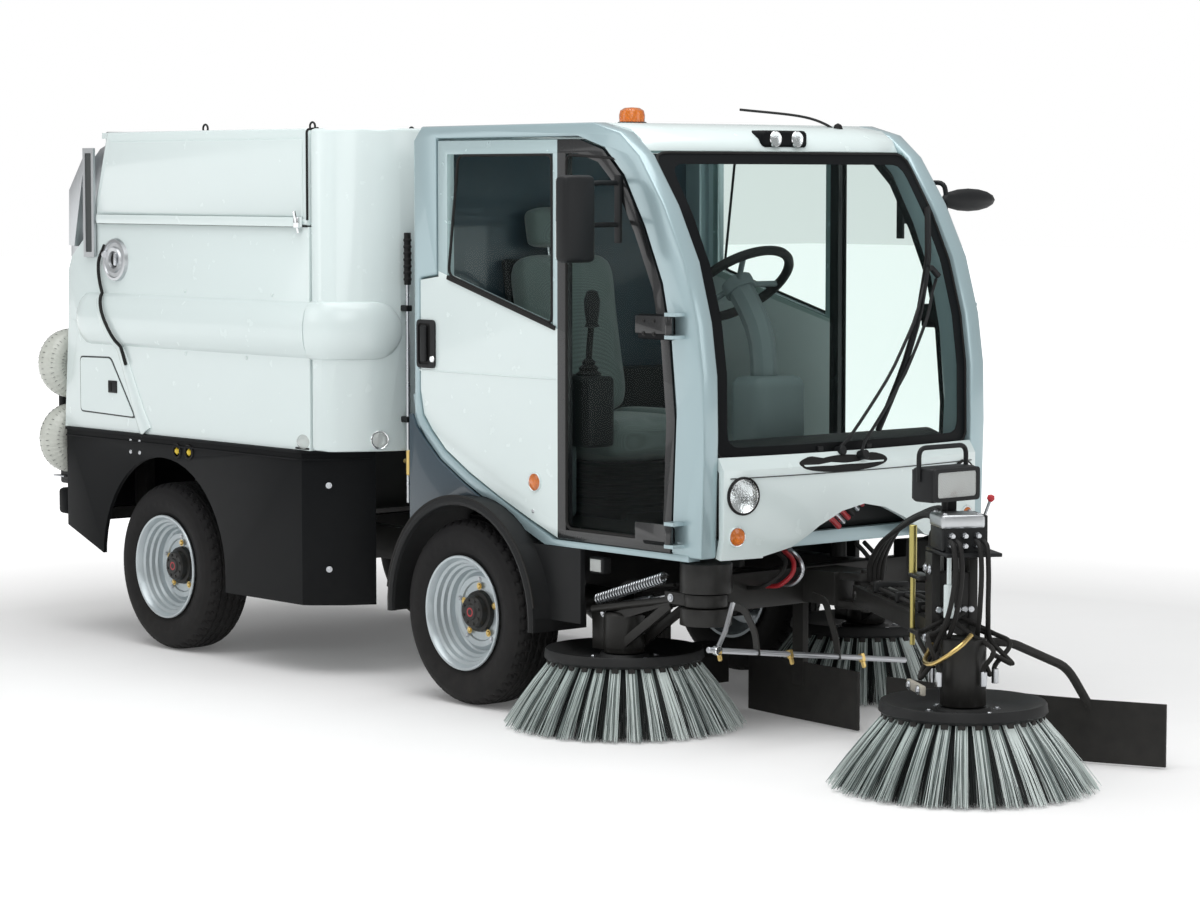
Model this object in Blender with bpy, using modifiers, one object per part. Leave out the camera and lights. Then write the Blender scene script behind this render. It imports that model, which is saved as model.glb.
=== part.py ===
"""Compact articulated street sweeper: two chassis halves joined by an upright pivot.

+X points forward, +Y to the left and +Z up. Lengths along X are stated from the front
axle; the last step moves the whole vehicle so that its length is centred on the origin.
"""

import math

import bmesh
import bpy
from mathutils import Matrix, Vector

# Driving dimensions, in metres

WHEELBASE = 1.828
TYRE_RADIUS = 0.321
TYRE_WIDTH = 0.200
TYRE_OUTER_Y = 0.725
RIM_RADIUS = 0.196

BODY_HALF_WIDTH = 0.730
SKIRT_OUTSTAND = 0.005
ROOF_Z = 1.988
HOPPER_TOP_DEPTH = 0.351
SKIRT_TOP_Z = 0.826
REAR_OVERHANG = 0.652
BODY_SEAM_X = -0.858
PANEL_THICKNESS = 0.022
BULGE_SHARE = 0.5364
BULGE_RADIUS = 0.105
BULGE_DEPTH = 0.034

PIVOT_X = -0.600
FRAME_LOW_Z = 0.400
FRAME_HIGH_Z = 0.520
PIVOT_PIN_RADIUS = 0.026

CAB_HALF_WIDTH = 0.655
CAB_REAR_X = -0.345
CAB_FLOOR_Z = 0.600
HOOP_WIDTH = 0.070
NOSE_X = 1.140
NOSE_BOW = 0.050
SCREEN_DEPTH = 1.083
BELT_DEPTH = 0.608
DOOR_THICKNESS = 0.030
GLASS_THICKNESS = 0.005

SIDE_BRUSH_X = 0.670
SIDE_BRUSH_Y = 0.567
SIDE_ARM_PIVOT_X = 1.060
SIDE_ARM_PIVOT_Y = 0.560
POST_RADIUS = 0.085
BRUSH_DISC_Z = 0.205
SIDE_DISC_RADIUS = 0.257
SIDE_BRUSH_RADIUS = 0.403
FRONT_BRUSH_X = 2.180
FRONT_BRUSH_Y = -0.555
FRONT_DISC_RADIUS = 0.243
FRONT_BRUSH_RADIUS = 0.408
BRISTLE_GROUND_GAP = 0.003

BOOM_PIVOT_X = 1.230
BOOM_LIFT_X = 1.330
BOOM_Z = 0.455

HOSE_RADIUS = 0.066
HOSE_BEND = 0.075
HOSE_OUTSTAND = 0.120
HOSE_END_Y = 0.650

GAP = 0.0003
ROUND_STEPS = 16
WHEEL_STEPS = 24

# Values worked out from the driving dimensions

CAB_DRAWN_HEIGHT = 1.388


def down(depth):
    """The height of a point that lies this far below the roof on a cab of the drawn height."""
    return ROOF_Z - depth * (ROOF_Z - CAB_FLOOR_Z) / CAB_DRAWN_HEIGHT


REAR_AXLE_X = -WHEELBASE
BODY_REAR_X = REAR_AXLE_X - REAR_OVERHANG
HOSE_X = BODY_REAR_X - HOSE_OUTSTAND
LEDGE_Z = ROOF_Z - HOPPER_TOP_DEPTH
BULGE_Z = SKIRT_TOP_Z + BULGE_SHARE * (LEDGE_Z - SKIRT_TOP_Z)
SCREEN_LOW_Z = down(SCREEN_DEPTH)
BELT_Z = down(BELT_DEPTH)
TYRE_MID_Y = TYRE_OUTER_Y - TYRE_WIDTH / 2
SKIRT_HALF_WIDTH = BODY_HALF_WIDTH + SKIRT_OUTSTAND
NOSE_END_X = FRONT_BRUSH_X + FRONT_BRUSH_RADIUS
TAIL_END_X = HOSE_X - HOSE_RADIUS
LENGTH_CENTRE_X = (NOSE_END_X + TAIL_END_X) / 2

WHITE = (0.86, 0.88, 0.87, 1.0)
SILVER_BLUE = (0.55, 0.62, 0.66, 1.0)
SLATE = (0.04, 0.06, 0.08, 1.0)
BLACK = (0.015, 0.015, 0.016, 1.0)
RUBBER_BLACK = (0.02, 0.02, 0.02, 1.0)
RIM_SILVER = (0.62, 0.64, 0.66, 1.0)
GLASS_GREEN = (0.75, 0.85, 0.83, 0.3)
SEAT_GREY = (0.30, 0.34, 0.33, 1.0)
STEEL = (0.60, 0.61, 0.62, 1.0)
BRISTLE = (0.42, 0.47, 0.45, 1.0)
HOSE_WHITE = (0.80, 0.80, 0.74, 1.0)

PLANES = {
    "XY": Matrix(((1, 0, 0), (0, 1, 0), (0, 0, 1))),
    "XZ": Matrix(((1, 0, 0), (0, 0, -1), (0, 1, 0))),
    "YZ": Matrix(((0, 0, 1), (1, 0, 0), (0, 1, 0))),
}


def clear_scene():
    for thing in list(bpy.data.objects):
        bpy.data.objects.remove(thing, do_unlink=True)


def new_collection(name):
    collection = bpy.data.collections.new(name)
    bpy.context.scene.collection.children.link(collection)
    return collection


clear_scene()
PARTS = new_collection("compact_street_sweeper")
TOOLS = new_collection("cutters_and_joined_shapes")
MATERIALS = {}


def material(name, colour, roughness=0.5, metallic=0.0):
    if name not in MATERIALS:
        made = bpy.data.materials.new(name)
        made.use_nodes = True
        shader = made.node_tree.nodes["Principled BSDF"]
        shader.inputs["Base Color"].default_value = colour
        shader.inputs["Roughness"].default_value = roughness
        shader.inputs["Metallic"].default_value = metallic
        made.diffuse_color = colour
        MATERIALS[name] = made
    return MATERIALS[name]


def paint(name):
    finishes = {
        "white_paint": (WHITE, 0.3, 0.0),
        "silver_blue_paint": (SILVER_BLUE, 0.3, 0.4),
        "slate_paint": (SLATE, 0.35, 0.0),
        "black_plastic": (BLACK, 0.5, 0.0),
        "chassis_black": (BLACK, 0.45, 0.0),
        "tyre": (RUBBER_BLACK, 0.85, 0.0),
        "rubber": (RUBBER_BLACK, 0.8, 0.0),
        "rim_paint": (RIM_SILVER, 0.35, 0.6),
        "glass": (GLASS_GREEN, 0.05, 0.0),
        "seat_fabric": (SEAT_GREY, 0.9, 0.0),
        "steel": (STEEL, 0.35, 1.0),
        "bristle": (BRISTLE, 0.7, 0.0),
        "hose": (HOSE_WHITE, 0.4, 0.0),
    }
    return material(name, *finishes[name])


# Shapes


def object_of(name, mesh, collection=None):
    made = bpy.data.objects.new(name, mesh)
    (collection or TOOLS).objects.link(made)
    return made


def mesh_of(carrier):
    """The evaluated mesh of a curve or of an object with modifiers, with its seams welded."""
    graph = bpy.context.evaluated_depsgraph_get()
    mesh = bpy.data.meshes.new_from_object(carrier.evaluated_get(graph))
    shape = bmesh.new()
    shape.from_mesh(mesh)
    bmesh.ops.remove_doubles(shape, verts=shape.verts, dist=1e-5)
    shape.to_mesh(mesh)
    shape.free()
    return mesh


def from_curve(name, curve, matrix):
    carrier = bpy.data.objects.new(name + "_curve", curve)
    TOOLS.objects.link(carrier)
    bpy.context.view_layer.update()
    mesh = mesh_of(carrier)
    bpy.data.objects.remove(carrier, do_unlink=True)
    mesh.transform(matrix)
    return object_of(name, mesh)


def prism(name, plane, outline, low, high, holes=()):
    """A flat outline, with holes, made solid between two planes across its third axis."""
    curve = bpy.data.curves.new(name, "CURVE")
    curve.dimensions = "2D"
    curve.fill_mode = "BOTH"
    curve.extrude = (high - low) / 2
    for ring in (outline, *holes):
        spline = curve.splines.new("POLY")
        spline.points.add(len(ring) - 1)
        for point, (across, up) in zip(spline.points, ring):
            point.co = (across, up, 0, 1)
        spline.use_cyclic_u = True
    middle = (low + high) / 2
    shift = {"XY": (0, 0, middle), "XZ": (0, middle, 0), "YZ": (middle, 0, 0)}[plane]
    return from_curve(name, curve, Matrix.Translation(shift) @ PLANES[plane].to_4x4())


def box(name, low, high, bevel=0.0):
    shape = bmesh.new()
    bmesh.ops.create_cube(shape, size=1)
    size = [b - a for a, b in zip(low, high)]
    middle = [(a + b) / 2 for a, b in zip(low, high)]
    bmesh.ops.scale(shape, vec=size, verts=shape.verts)
    bmesh.ops.translate(shape, vec=middle, verts=shape.verts)
    mesh = bpy.data.meshes.new(name)
    shape.to_mesh(mesh)
    shape.free()
    made = object_of(name, mesh)
    if bevel:
        soften(made, bevel)
    return made


def soften(made, width, segments=2, angle=30):
    edge = made.modifiers.new("edge", "BEVEL")
    edge.width = width
    edge.segments = segments
    edge.limit_method = "ANGLE"
    edge.angle_limit = math.radians(angle)


def rod(name, start, end, radius, steps=ROUND_STEPS, end_radius=None):
    """A round bar, or a cone, from one point to another."""
    start, end = Vector(start), Vector(end)
    shape = bmesh.new()
    bmesh.ops.create_cone(
        shape, cap_ends=True, segments=steps, radius1=radius,
        radius2=radius if end_radius is None else end_radius, depth=(end - start).length,
    )
    turn = Vector((0, 0, 1)).rotation_difference((end - start).normalized())
    matrix = Matrix.Translation((start + end) / 2) @ turn.to_matrix().to_4x4()
    bmesh.ops.transform(shape, matrix=matrix, verts=shape.verts)
    mesh = bpy.data.meshes.new(name)
    shape.to_mesh(mesh)
    shape.free()
    return object_of(name, mesh)


def ball(name, centre, radii, across=20, up=12):
    shape = bmesh.new()
    bmesh.ops.create_uvsphere(shape, u_segments=across, v_segments=up, radius=1)
    bmesh.ops.scale(shape, vec=radii, verts=shape.verts)
    bmesh.ops.translate(shape, vec=centre, verts=shape.verts)
    mesh = bpy.data.meshes.new(name)
    shape.to_mesh(mesh)
    shape.free()
    return object_of(name, mesh)


def filleted(points, radius, steps=5):
    """The same path with each inner corner turned into a short curve."""
    points = [Vector(point) for point in points]
    path = [points[0]]
    for before, corner, after in zip(points, points[1:], points[2:]):
        reach = min(radius, (corner - before).length / 2, (after - corner).length / 2)
        start = corner + (before - corner).normalized() * reach
        end = corner + (after - corner).normalized() * reach
        for step in range(steps + 1):
            t = step / steps
            path.append(start * (1 - t) ** 2 + corner * 2 * t * (1 - t) + end * t * t)
    path.append(points[-1])
    return path


def tube(name, points, radius, resolution=3, closed=False):
    curve = bpy.data.curves.new(name, "CURVE")
    curve.dimensions = "3D"
    curve.bevel_depth = radius
    curve.bevel_resolution = resolution
    curve.use_fill_caps = not closed
    spline = curve.splines.new("POLY")
    spline.points.add(len(points) - 1)
    for point, place in zip(spline.points, points):
        point.co = (*place, 1)
    spline.use_cyclic_u = closed
    return from_curve(name, curve, Matrix.Identity(4))


def turned(name, profile, matrix, steps=32, ring=False):
    """A profile of (radius, height) turned about its own Z axis, then placed by a matrix."""
    mesh = bpy.data.meshes.new(name + "_profile")
    edges = [(i, i + 1) for i in range(len(profile) - 1)]
    if ring:
        edges.append((len(profile) - 1, 0))
    mesh.from_pydata([(r, 0, z) for r, z in profile], edges, [])
    carrier = object_of(name + "_profile", mesh)
    screw = carrier.modifiers.new("turn", "SCREW")
    screw.steps = steps
    screw.render_steps = steps
    screw.use_merge_vertices = True
    screw.merge_threshold = 1e-4
    bpy.context.view_layer.update()
    made = mesh_of(carrier)
    bpy.data.objects.remove(carrier, do_unlink=True)
    shape = bmesh.new()
    shape.from_mesh(made)
    bmesh.ops.recalc_face_normals(shape, faces=shape.faces)
    shape.to_mesh(made)
    shape.free()
    made.transform(matrix)
    return object_of(name, made)


def upright(x, y, z=0.0):
    return Matrix.Translation((x, y, z))


def sideways(x, y, z, side):
    """Turns a profile's height axis outwards, to the left with side 1 and to the right with -1."""
    return Matrix.Translation((x, y, z)) @ Matrix.Rotation(math.radians(-90 * side), 4, "X")


def loft(name, rings):
    """A closed skin through rings that hold the same number of points each."""
    count = len(rings[0])
    points = [point for ring in rings for point in ring]
    faces = []
    for level in range(len(rings) - 1):
        for i in range(count):
            j = (i + 1) % count
            a, b = level * count + i, level * count + j
            faces.append((a, b, b + count, a + count))
    faces.append(tuple(range(count - 1, -1, -1)))
    faces.append(tuple((len(rings) - 1) * count + i for i in range(count)))
    mesh = bpy.data.meshes.new(name)
    mesh.from_pydata(points, [], faces)
    shape = bmesh.new()
    shape.from_mesh(mesh)
    bmesh.ops.recalc_face_normals(shape, faces=shape.faces)
    shape.to_mesh(mesh)
    shape.free()
    return object_of(name, mesh)


def thick_path(path, thickness):
    """The outline of a wall of even thickness that lies to the left of an open path."""
    path = [Vector(point) for point in path]
    normals = []
    for start, end in zip(path, path[1:]):
        along = (end - start).normalized()
        normals.append(Vector((-along.y, along.x)))
    inner = []
    for i, point in enumerate(path):
        before = normals[max(i - 1, 0)]
        after = normals[min(i, len(normals) - 1)]
        middle = (before + after).normalized()
        inner.append(point + middle * thickness / middle.dot(before))
    return [tuple(p) for p in path] + [tuple(p) for p in reversed(inner)]


def arc(centre, radius, first, last, steps):
    return [
        (
            centre[0] + radius * math.cos(math.radians(first + (last - first) * i / steps)),
            centre[1] + radius * math.sin(math.radians(first + (last - first) * i / steps)),
        )
        for i in range(steps + 1)
    ]


def mirrored(outline):
    """A plan or front outline given for one side, closed by its mirror image across Y = 0."""
    return list(outline) + [(x, -y) for x, y in reversed(outline)]


def join(target, *shapes):
    for shape in shapes:
        modifier = target.modifiers.new("join", "BOOLEAN")
        modifier.operation = "UNION"
        modifier.solver = "EXACT"
        modifier.object = shape
    return target


def cut(target, *shapes):
    for shape in shapes:
        modifier = target.modifiers.new("cut", "BOOLEAN")
        modifier.operation = "DIFFERENCE"
        modifier.solver = "EXACT"
        modifier.object = shape
    return target


# Bodies: each moving one is an empty on its joint axis

BODIES = {}


def body(name, place, parent=None):
    empty = bpy.data.objects.new(name + "_axis", None)
    PARTS.objects.link(empty)
    if parent:
        empty.parent = BODIES[parent]["empty"]
        empty.location = Vector(place) - BODIES[parent]["place"]
    else:
        empty.location = place
    BODIES[name] = {"empty": empty, "place": Vector(place)}


def part(shape, name, body_name, finish):
    """Makes a shape a named piece of the vehicle that rides on a body."""
    shape.name = name
    shape.data.name = name
    TOOLS.objects.unlink(shape)
    PARTS.objects.link(shape)
    shape.data.materials.clear()
    shape.data.materials.append(paint(finish))
    holder = BODIES[body_name]
    shape.data.transform(Matrix.Translation(-holder["place"]))
    shape.parent = holder["empty"]
    return shape


BOOM_HEAD_X = FRONT_BRUSH_X
BOOM_HEAD_Y = FRONT_BRUSH_Y
TIP_HINGE_X = BODY_REAR_X + 0.060
TIP_HINGE_Z = LEDGE_Z - 0.307
GATE_HINGE_X = BODY_REAR_X + 0.265
GATE_HINGE_Z = ROOF_Z - 0.016
GATE_AXIS_X = GATE_HINGE_X - 0.022
DOOR_HINGE_X = NOSE_X - 0.110
DOOR_HINGE_Y = CAB_HALF_WIDTH + 0.040
BOOM_DIRECTION = Vector((BOOM_HEAD_X - BOOM_PIVOT_X, BOOM_HEAD_Y, 0)).normalized()
BOOM_LIFT_Y = BOOM_DIRECTION.y / BOOM_DIRECTION.x * (BOOM_LIFT_X - BOOM_PIVOT_X)

body("rear_chassis", (0, 0, 0))
body("hopper", (TIP_HINGE_X, 0, TIP_HINGE_Z), "rear_chassis")
body("tailgate", (GATE_AXIS_X, 0, GATE_HINGE_Z), "hopper")
body("front_chassis", (PIVOT_X, 0, FRAME_LOW_Z), "rear_chassis")
for side, label in ((-1, "right"), (1, "left")):
    hub_y = side * TYRE_MID_Y
    body("rear_wheel_" + label, (REAR_AXLE_X, hub_y, TYRE_RADIUS), "rear_chassis")
    body("front_wheel_" + label, (0, hub_y, TYRE_RADIUS), "front_chassis")
    body("door_" + label, (DOOR_HINGE_X, side * DOOR_HINGE_Y, CAB_FLOOR_Z), "front_chassis")
    arm_y = side * SIDE_ARM_PIVOT_Y
    body("side_arm_" + label, (SIDE_ARM_PIVOT_X, arm_y, BOOM_Z), "front_chassis")
    brush_y = side * SIDE_BRUSH_Y
    body("side_brush_" + label, (SIDE_BRUSH_X, brush_y, BRUSH_DISC_Z), "side_arm_" + label)
body("boom_base", (BOOM_PIVOT_X, 0, BOOM_Z), "front_chassis")
body("boom", (BOOM_LIFT_X, BOOM_LIFT_Y, BOOM_Z), "boom_base")
body("front_brush", (FRONT_BRUSH_X, FRONT_BRUSH_Y, BRUSH_DISC_Z), "boom")


# Wheels and axles

HUB_BACK = TYRE_WIDTH * 0.20
HUB_FACE = TYRE_WIDTH * 0.28
HUB_RADIUS = RIM_RADIUS * 0.33
BEAD_RADIUS = RIM_RADIUS - 0.016
FLANGE_OUT = TYRE_WIDTH / 2 - 0.001


def wheel(axle_x, side, body_name, label):
    half = TYRE_WIDTH / 2
    tread = [
        (TYRE_RADIUS, half * 0.55), (TYRE_RADIUS - 0.008, half * 0.80),
        (RIM_RADIUS + (TYRE_RADIUS - RIM_RADIUS) * 0.70, half * 0.97),
        (RIM_RADIUS + (TYRE_RADIUS - RIM_RADIUS) * 0.35, half),
        (RIM_RADIUS + 0.004, half * 0.92), (BEAD_RADIUS + 0.0005, half * 0.84),
    ]
    profile = [(r, -s) for r, s in tread]
    outer = list(reversed(tread))
    place = sideways(axle_x, side * TYRE_MID_Y, TYRE_RADIUS, side)
    tyre = turned("tyre", outer + profile, place, steps=WHEEL_STEPS, ring=True)
    part(tyre, label + "_tyre", body_name, "tyre")
    rim_profile = [
        (0, HUB_FACE), (HUB_RADIUS * 0.85, HUB_FACE), (HUB_RADIUS, HUB_FACE * 0.75),
        (HUB_RADIUS, 0.004), (RIM_RADIUS * 0.74, 0.012), (RIM_RADIUS * 0.86, half * 0.60),
        (RIM_RADIUS * 0.91, FLANGE_OUT), (RIM_RADIUS, FLANGE_OUT),
        (BEAD_RADIUS, half * 0.86), (BEAD_RADIUS, -half * 0.86),
        (RIM_RADIUS, -FLANGE_OUT), (RIM_RADIUS * 0.88, -FLANGE_OUT), (RIM_RADIUS * 0.80, -0.004),
        (HUB_RADIUS * 1.05, -0.010), (HUB_RADIUS * 1.05, -HUB_BACK), (0, -HUB_BACK),
    ]
    rim = turned("rim", rim_profile, place, steps=WHEEL_STEPS)
    part(rim, label + "_rim", body_name, "rim_paint")


def axle(name, x, body_name, rail_y):
    """A beam with a round casing in the middle, brake drums at its ends and spring seats."""
    end = TYRE_MID_Y - HUB_BACK - GAP
    drum = RIM_RADIUS * 0.62
    half = [
        (0, end), (drum, end), (drum, end - 0.070), (BEAM_RADIUS, end - 0.076),
        (BEAM_RADIUS, CASING_RADIUS * 1.6), (CASING_RADIUS * 0.85, CASING_RADIUS),
        (CASING_RADIUS, CASING_RADIUS * 0.5),
    ]
    profile = half + [(r, -s) for r, s in reversed(half)]
    beam = turned("beam", profile, sideways(x, 0, TYRE_RADIUS, 1), 16)
    for side in (-1, 1):
        seat_y = side * rail_y
        join(beam, box("spring_seat", (x - 0.05, seat_y - 0.035, TYRE_RADIUS),
                       (x + 0.05, seat_y + 0.035, FRAME_LOW_Z - GAP)))
    part(beam, name, body_name, "chassis_black")


BEAM_RADIUS = 0.042
CASING_RADIUS = 0.100
REAR_RAIL_Y = 0.300
FRONT_RAIL_Y = 0.240
axle("rear_axle", REAR_AXLE_X, "rear_chassis", REAR_RAIL_Y)
axle("front_axle", 0.0, "front_chassis", FRONT_RAIL_Y)
for side, label in ((-1, "right"), (1, "left")):
    wheel(REAR_AXLE_X, side, "rear_wheel_" + label, "rear_wheel_" + label)
    wheel(0.0, side, "front_wheel_" + label, "front_wheel_" + label)


# Chassis frames and their pivot

RAIL_HALF = 0.030
YOKE_Z = FRAME_LOW_Z + 0.010
KNUCKLE_HALF = 0.085
LUG_THICKNESS = 0.030
YOKE_REAR_X = PIVOT_X - 0.200
YOKE_FRONT_X = PIVOT_X + 0.170


def rail_pair(rail_y, rear_x, front_x):
    rails = [
        box("rail", (rear_x, side * rail_y - RAIL_HALF, FRAME_LOW_Z),
            (front_x, side * rail_y + RAIL_HALF, FRAME_HIGH_Z))
        for side in (-1, 1)
    ]
    return rails


def cross_member(x, rail_y, depth=0.06):
    return box("cross", (x - depth / 2, -rail_y, FRAME_LOW_Z + 0.01),
               (x + depth / 2, rail_y, FRAME_HIGH_Z - 0.01))


def rear_frame():
    frame, other = rail_pair(REAR_RAIL_Y, BODY_REAR_X + 0.03, YOKE_REAR_X)
    join(frame, other)
    for x in (BODY_REAR_X + 0.06, REAR_AXLE_X + 0.42, YOKE_REAR_X - 0.03):
        join(frame, cross_member(x, REAR_RAIL_Y + RAIL_HALF))
    for low in (YOKE_Z - KNUCKLE_HALF - LUG_THICKNESS - GAP, YOKE_Z + KNUCKLE_HALF + GAP):
        outline = [(YOKE_REAR_X - 0.05, 0.20), (YOKE_REAR_X - 0.05, -0.20)]
        outline += arc((PIVOT_X, 0), 0.075, -70, 70, 10)
        join(frame, prism("lug", "XY", outline, low, low + LUG_THICKNESS))
    web = box("web", (YOKE_REAR_X - 0.05, -0.19, YOKE_Z - KNUCKLE_HALF - LUG_THICKNESS / 2),
              (YOKE_REAR_X + 0.02, 0.19, YOKE_Z + KNUCKLE_HALF + LUG_THICKNESS / 2))
    pin = rod("pin", (PIVOT_X, 0, YOKE_Z - KNUCKLE_HALF - LUG_THICKNESS - 0.02),
              (PIVOT_X, 0, YOKE_Z + KNUCKLE_HALF + LUG_THICKNESS + 0.02), PIVOT_PIN_RADIUS)
    join(frame, web, pin)
    for side in (-1, 1):
        post_y = side * TIP_POST_Y
        outline = [(TIP_HINGE_X + 0.045, FRAME_LOW_Z + 0.01)]
        outline += arc((TIP_HINGE_X, TIP_HINGE_Z), 0.032, 0, 180, 8)
        outline += [(TIP_HINGE_X - 0.045, FRAME_LOW_Z + 0.01)]
        post = prism("post", "XZ", outline, post_y - 0.02, post_y + 0.02)
        tie = box("tie", (TIP_HINGE_X - 0.03, min(0, post_y), FRAME_LOW_Z + 0.02),
                  (TIP_HINGE_X + 0.03, max(0, post_y), FRAME_HIGH_Z - 0.02))
        tip_pin = rod("tip_pin", (TIP_HINGE_X, post_y, TIP_HINGE_Z),
                      (TIP_HINGE_X, post_y + side * 0.060, TIP_HINGE_Z), 0.014, 16)
        join(frame, post, tie, tip_pin)
    for side in (-1, 1):
        for x in (REAR_AXLE_X - 0.50, REAR_AXLE_X + 0.60):
            join(frame, box("outrigger", (x - 0.025, min(side * REAR_RAIL_Y, side * SKIRT_WALL_IN_Y),
                                          FRAME_HIGH_Z - 0.05),
                            (x + 0.025, max(side * REAR_RAIL_Y, side * SKIRT_WALL_IN_Y),
                             FRAME_HIGH_Z - 0.01)))
    part(frame, "rear_frame", "rear_chassis", "chassis_black")


TIP_POST_Y = 0.42
SKIRT_WALL = 0.016
SKIRT_WALL_IN_Y = SKIRT_HALF_WIDTH - SKIRT_WALL - GAP
FRONT_CROSS_X = SIDE_ARM_PIVOT_X - 0.075
CROSS_END_Y = SIDE_ARM_PIVOT_Y - 0.090
CAB_MOUNT_X = (CAB_REAR_X + 0.115, FRONT_CROSS_X - 0.125)


def front_frame():
    frame, other = rail_pair(FRONT_RAIL_Y, YOKE_FRONT_X - 0.03, FRONT_CROSS_X)
    join(frame, other)
    join(frame, cross_member(0.36, FRONT_RAIL_Y + RAIL_HALF))
    join(frame, box("low_cross", (YOKE_FRONT_X - 0.03, -FRONT_RAIL_Y - RAIL_HALF, YOKE_Z - 0.05),
                    (YOKE_FRONT_X + 0.03, FRONT_RAIL_Y + RAIL_HALF, YOKE_Z + 0.025)))
    join(frame, box("front_cross", (FRONT_CROSS_X - 0.03, -CROSS_END_Y, FRAME_LOW_Z),
                    (FRONT_CROSS_X + 0.03, CROSS_END_Y, FRAME_HIGH_Z)))
    neck = box("neck", (PIVOT_X, -0.055, YOKE_Z - 0.05), (YOKE_FRONT_X, 0.055, YOKE_Z + 0.025))
    knuckle = rod("knuckle", (PIVOT_X, 0, YOKE_Z - KNUCKLE_HALF),
                  (PIVOT_X, 0, YOKE_Z + KNUCKLE_HALF), 0.070)
    bore_radius = (PIVOT_PIN_RADIUS + GAP) / math.cos(math.pi / ROUND_STEPS)
    bore = rod("bore", (PIVOT_X, 0, 0), (PIVOT_X, 0, 1), bore_radius)
    join(frame, neck, knuckle)
    for side in (-1, 1):
        for low, high in ((BOOM_Z - 0.080, BOOM_Z - 0.025), (BOOM_Z + 0.025, BOOM_Z + 0.120)):
            ear = [(FRONT_CROSS_X - 0.03, CROSS_END_Y - 0.06),
                   (FRONT_CROSS_X + 0.03, CROSS_END_Y - 0.06)]
            ear += arc((SIDE_ARM_PIVOT_X, SIDE_ARM_PIVOT_Y), POST_RADIUS, -70, 160, 16)
            ear = [(x, side * y) for x, y in ear]
            join(frame, prism("ear", "XY", ear, low, high))
        join(frame, rod("arm_pin", (SIDE_ARM_PIVOT_X, side * SIDE_ARM_PIVOT_Y, BOOM_Z - 0.06),
                        (SIDE_ARM_PIVOT_X, side * SIDE_ARM_PIVOT_Y, BOOM_Z + 0.06), 0.014, 16))
    for side in (-1, 1):
        for x in CAB_MOUNT_X:
            join(frame, rod("cab_mount", (x, side * FRONT_RAIL_Y, FRAME_HIGH_Z - 0.03),
                            (x, side * FRONT_RAIL_Y, CAB_FLOOR_Z + 0.002 - GAP), 0.028, 12))
    tongue = box("tongue", (FRONT_CROSS_X, -0.08, FRAME_LOW_Z + 0.005),
                 (BOOM_PIVOT_X - 0.07, 0.08, FRAME_HIGH_Z - 0.005))
    join(frame, tongue)
    for z in (BOOM_Z - 0.060, BOOM_Z + 0.035):
        ear = [(BOOM_PIVOT_X - 0.09, -0.06)] + arc((BOOM_PIVOT_X, 0), 0.050, -80, 80, 8)
        ear += [(BOOM_PIVOT_X - 0.09, 0.06)]
        join(frame, prism("boom_ear", "XY", ear, z, z + 0.025))
    join(frame, rod("boom_pin", (BOOM_PIVOT_X, 0, BOOM_Z - 0.07),
                    (BOOM_PIVOT_X, 0, BOOM_Z + 0.07), 0.018, 16))
    cut(frame, bore)
    part(frame, "front_frame", "front_chassis", "chassis_black")


rear_frame()
front_frame()


# Rear body: skirt, panels, front module, rear hood, engine and hose

CORNER = [
    (BODY_SEAM_X + 0.003, BODY_HALF_WIDTH), (BODY_SEAM_X + 0.058, BODY_HALF_WIDTH - 0.008),
    (BODY_SEAM_X + 0.108, BODY_HALF_WIDTH - 0.045), (BODY_SEAM_X + 0.158, BODY_HALF_WIDTH - 0.125),
    (BODY_SEAM_X + 0.193, BODY_HALF_WIDTH - 0.200), (BODY_SEAM_X + 0.213, BODY_HALF_WIDTH - 0.250),
]
RECESS_HALF = 0.250
RECESS_X = BODY_SEAM_X + 0.050
SKIRT_REAR_X = BODY_REAR_X - 0.045
ARCH_RADIUS = 0.420
ARCH_X = REAR_AXLE_X + 0.010
ARCH_Z = TYRE_RADIUS + 0.002
SKIRT_LOW_Z = 0.262
BUFFER_Z = 0.523


def skirt():
    corner = [(BODY_SEAM_X + 0.110, 0.520), (BODY_SEAM_X + 0.055, 0.625),
              (BODY_SEAM_X - 0.020, 0.715), (BODY_SEAM_X - 0.050, SKIRT_HALF_WIDTH),
              (SKIRT_REAR_X + 0.030, SKIRT_HALF_WIDTH), (SKIRT_REAR_X, SKIRT_HALF_WIDTH - 0.030)]
    path = corner + [(x, -y) for x, y in reversed(corner)]
    wall = prism("wall", "XY", thick_path(path, SKIRT_WALL), SKIRT_LOW_Z, SKIRT_TOP_Z)
    below = [
        (SKIRT_REAR_X - 0.1, 0), (SKIRT_REAR_X - 0.1, 0.441), (SKIRT_REAR_X + 0.010, 0.441),
        (REAR_AXLE_X - 0.370, 0.328), (REAR_AXLE_X - 0.242, 0.339), (REAR_AXLE_X - 0.20, 0),
    ]
    arch = [(ARCH_X + ARCH_RADIUS, 0)] + arc((ARCH_X, ARCH_Z), ARCH_RADIUS, 0, 180, 24)
    arch += [(ARCH_X - ARCH_RADIUS, 0)]
    cut(wall, prism("below", "XZ", below, -1, 1), prism("arch", "XZ", arch, -1, 1))
    for side in (-1, 1):
        edge_y = sorted((side * (SKIRT_HALF_WIDTH - 0.120), side * (SKIRT_HALF_WIDTH - 0.010)))
        buffer = box("buffer", (SKIRT_REAR_X - 0.062, edge_y[0], BUFFER_Z - 0.052),
                     (SKIRT_REAR_X + 0.006, edge_y[1], BUFFER_Z + 0.052))
        soften(buffer, 0.016, 2)
        join(wall, buffer)
    part(wall, "lower_skirt", "rear_chassis", "black_plastic")


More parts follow.
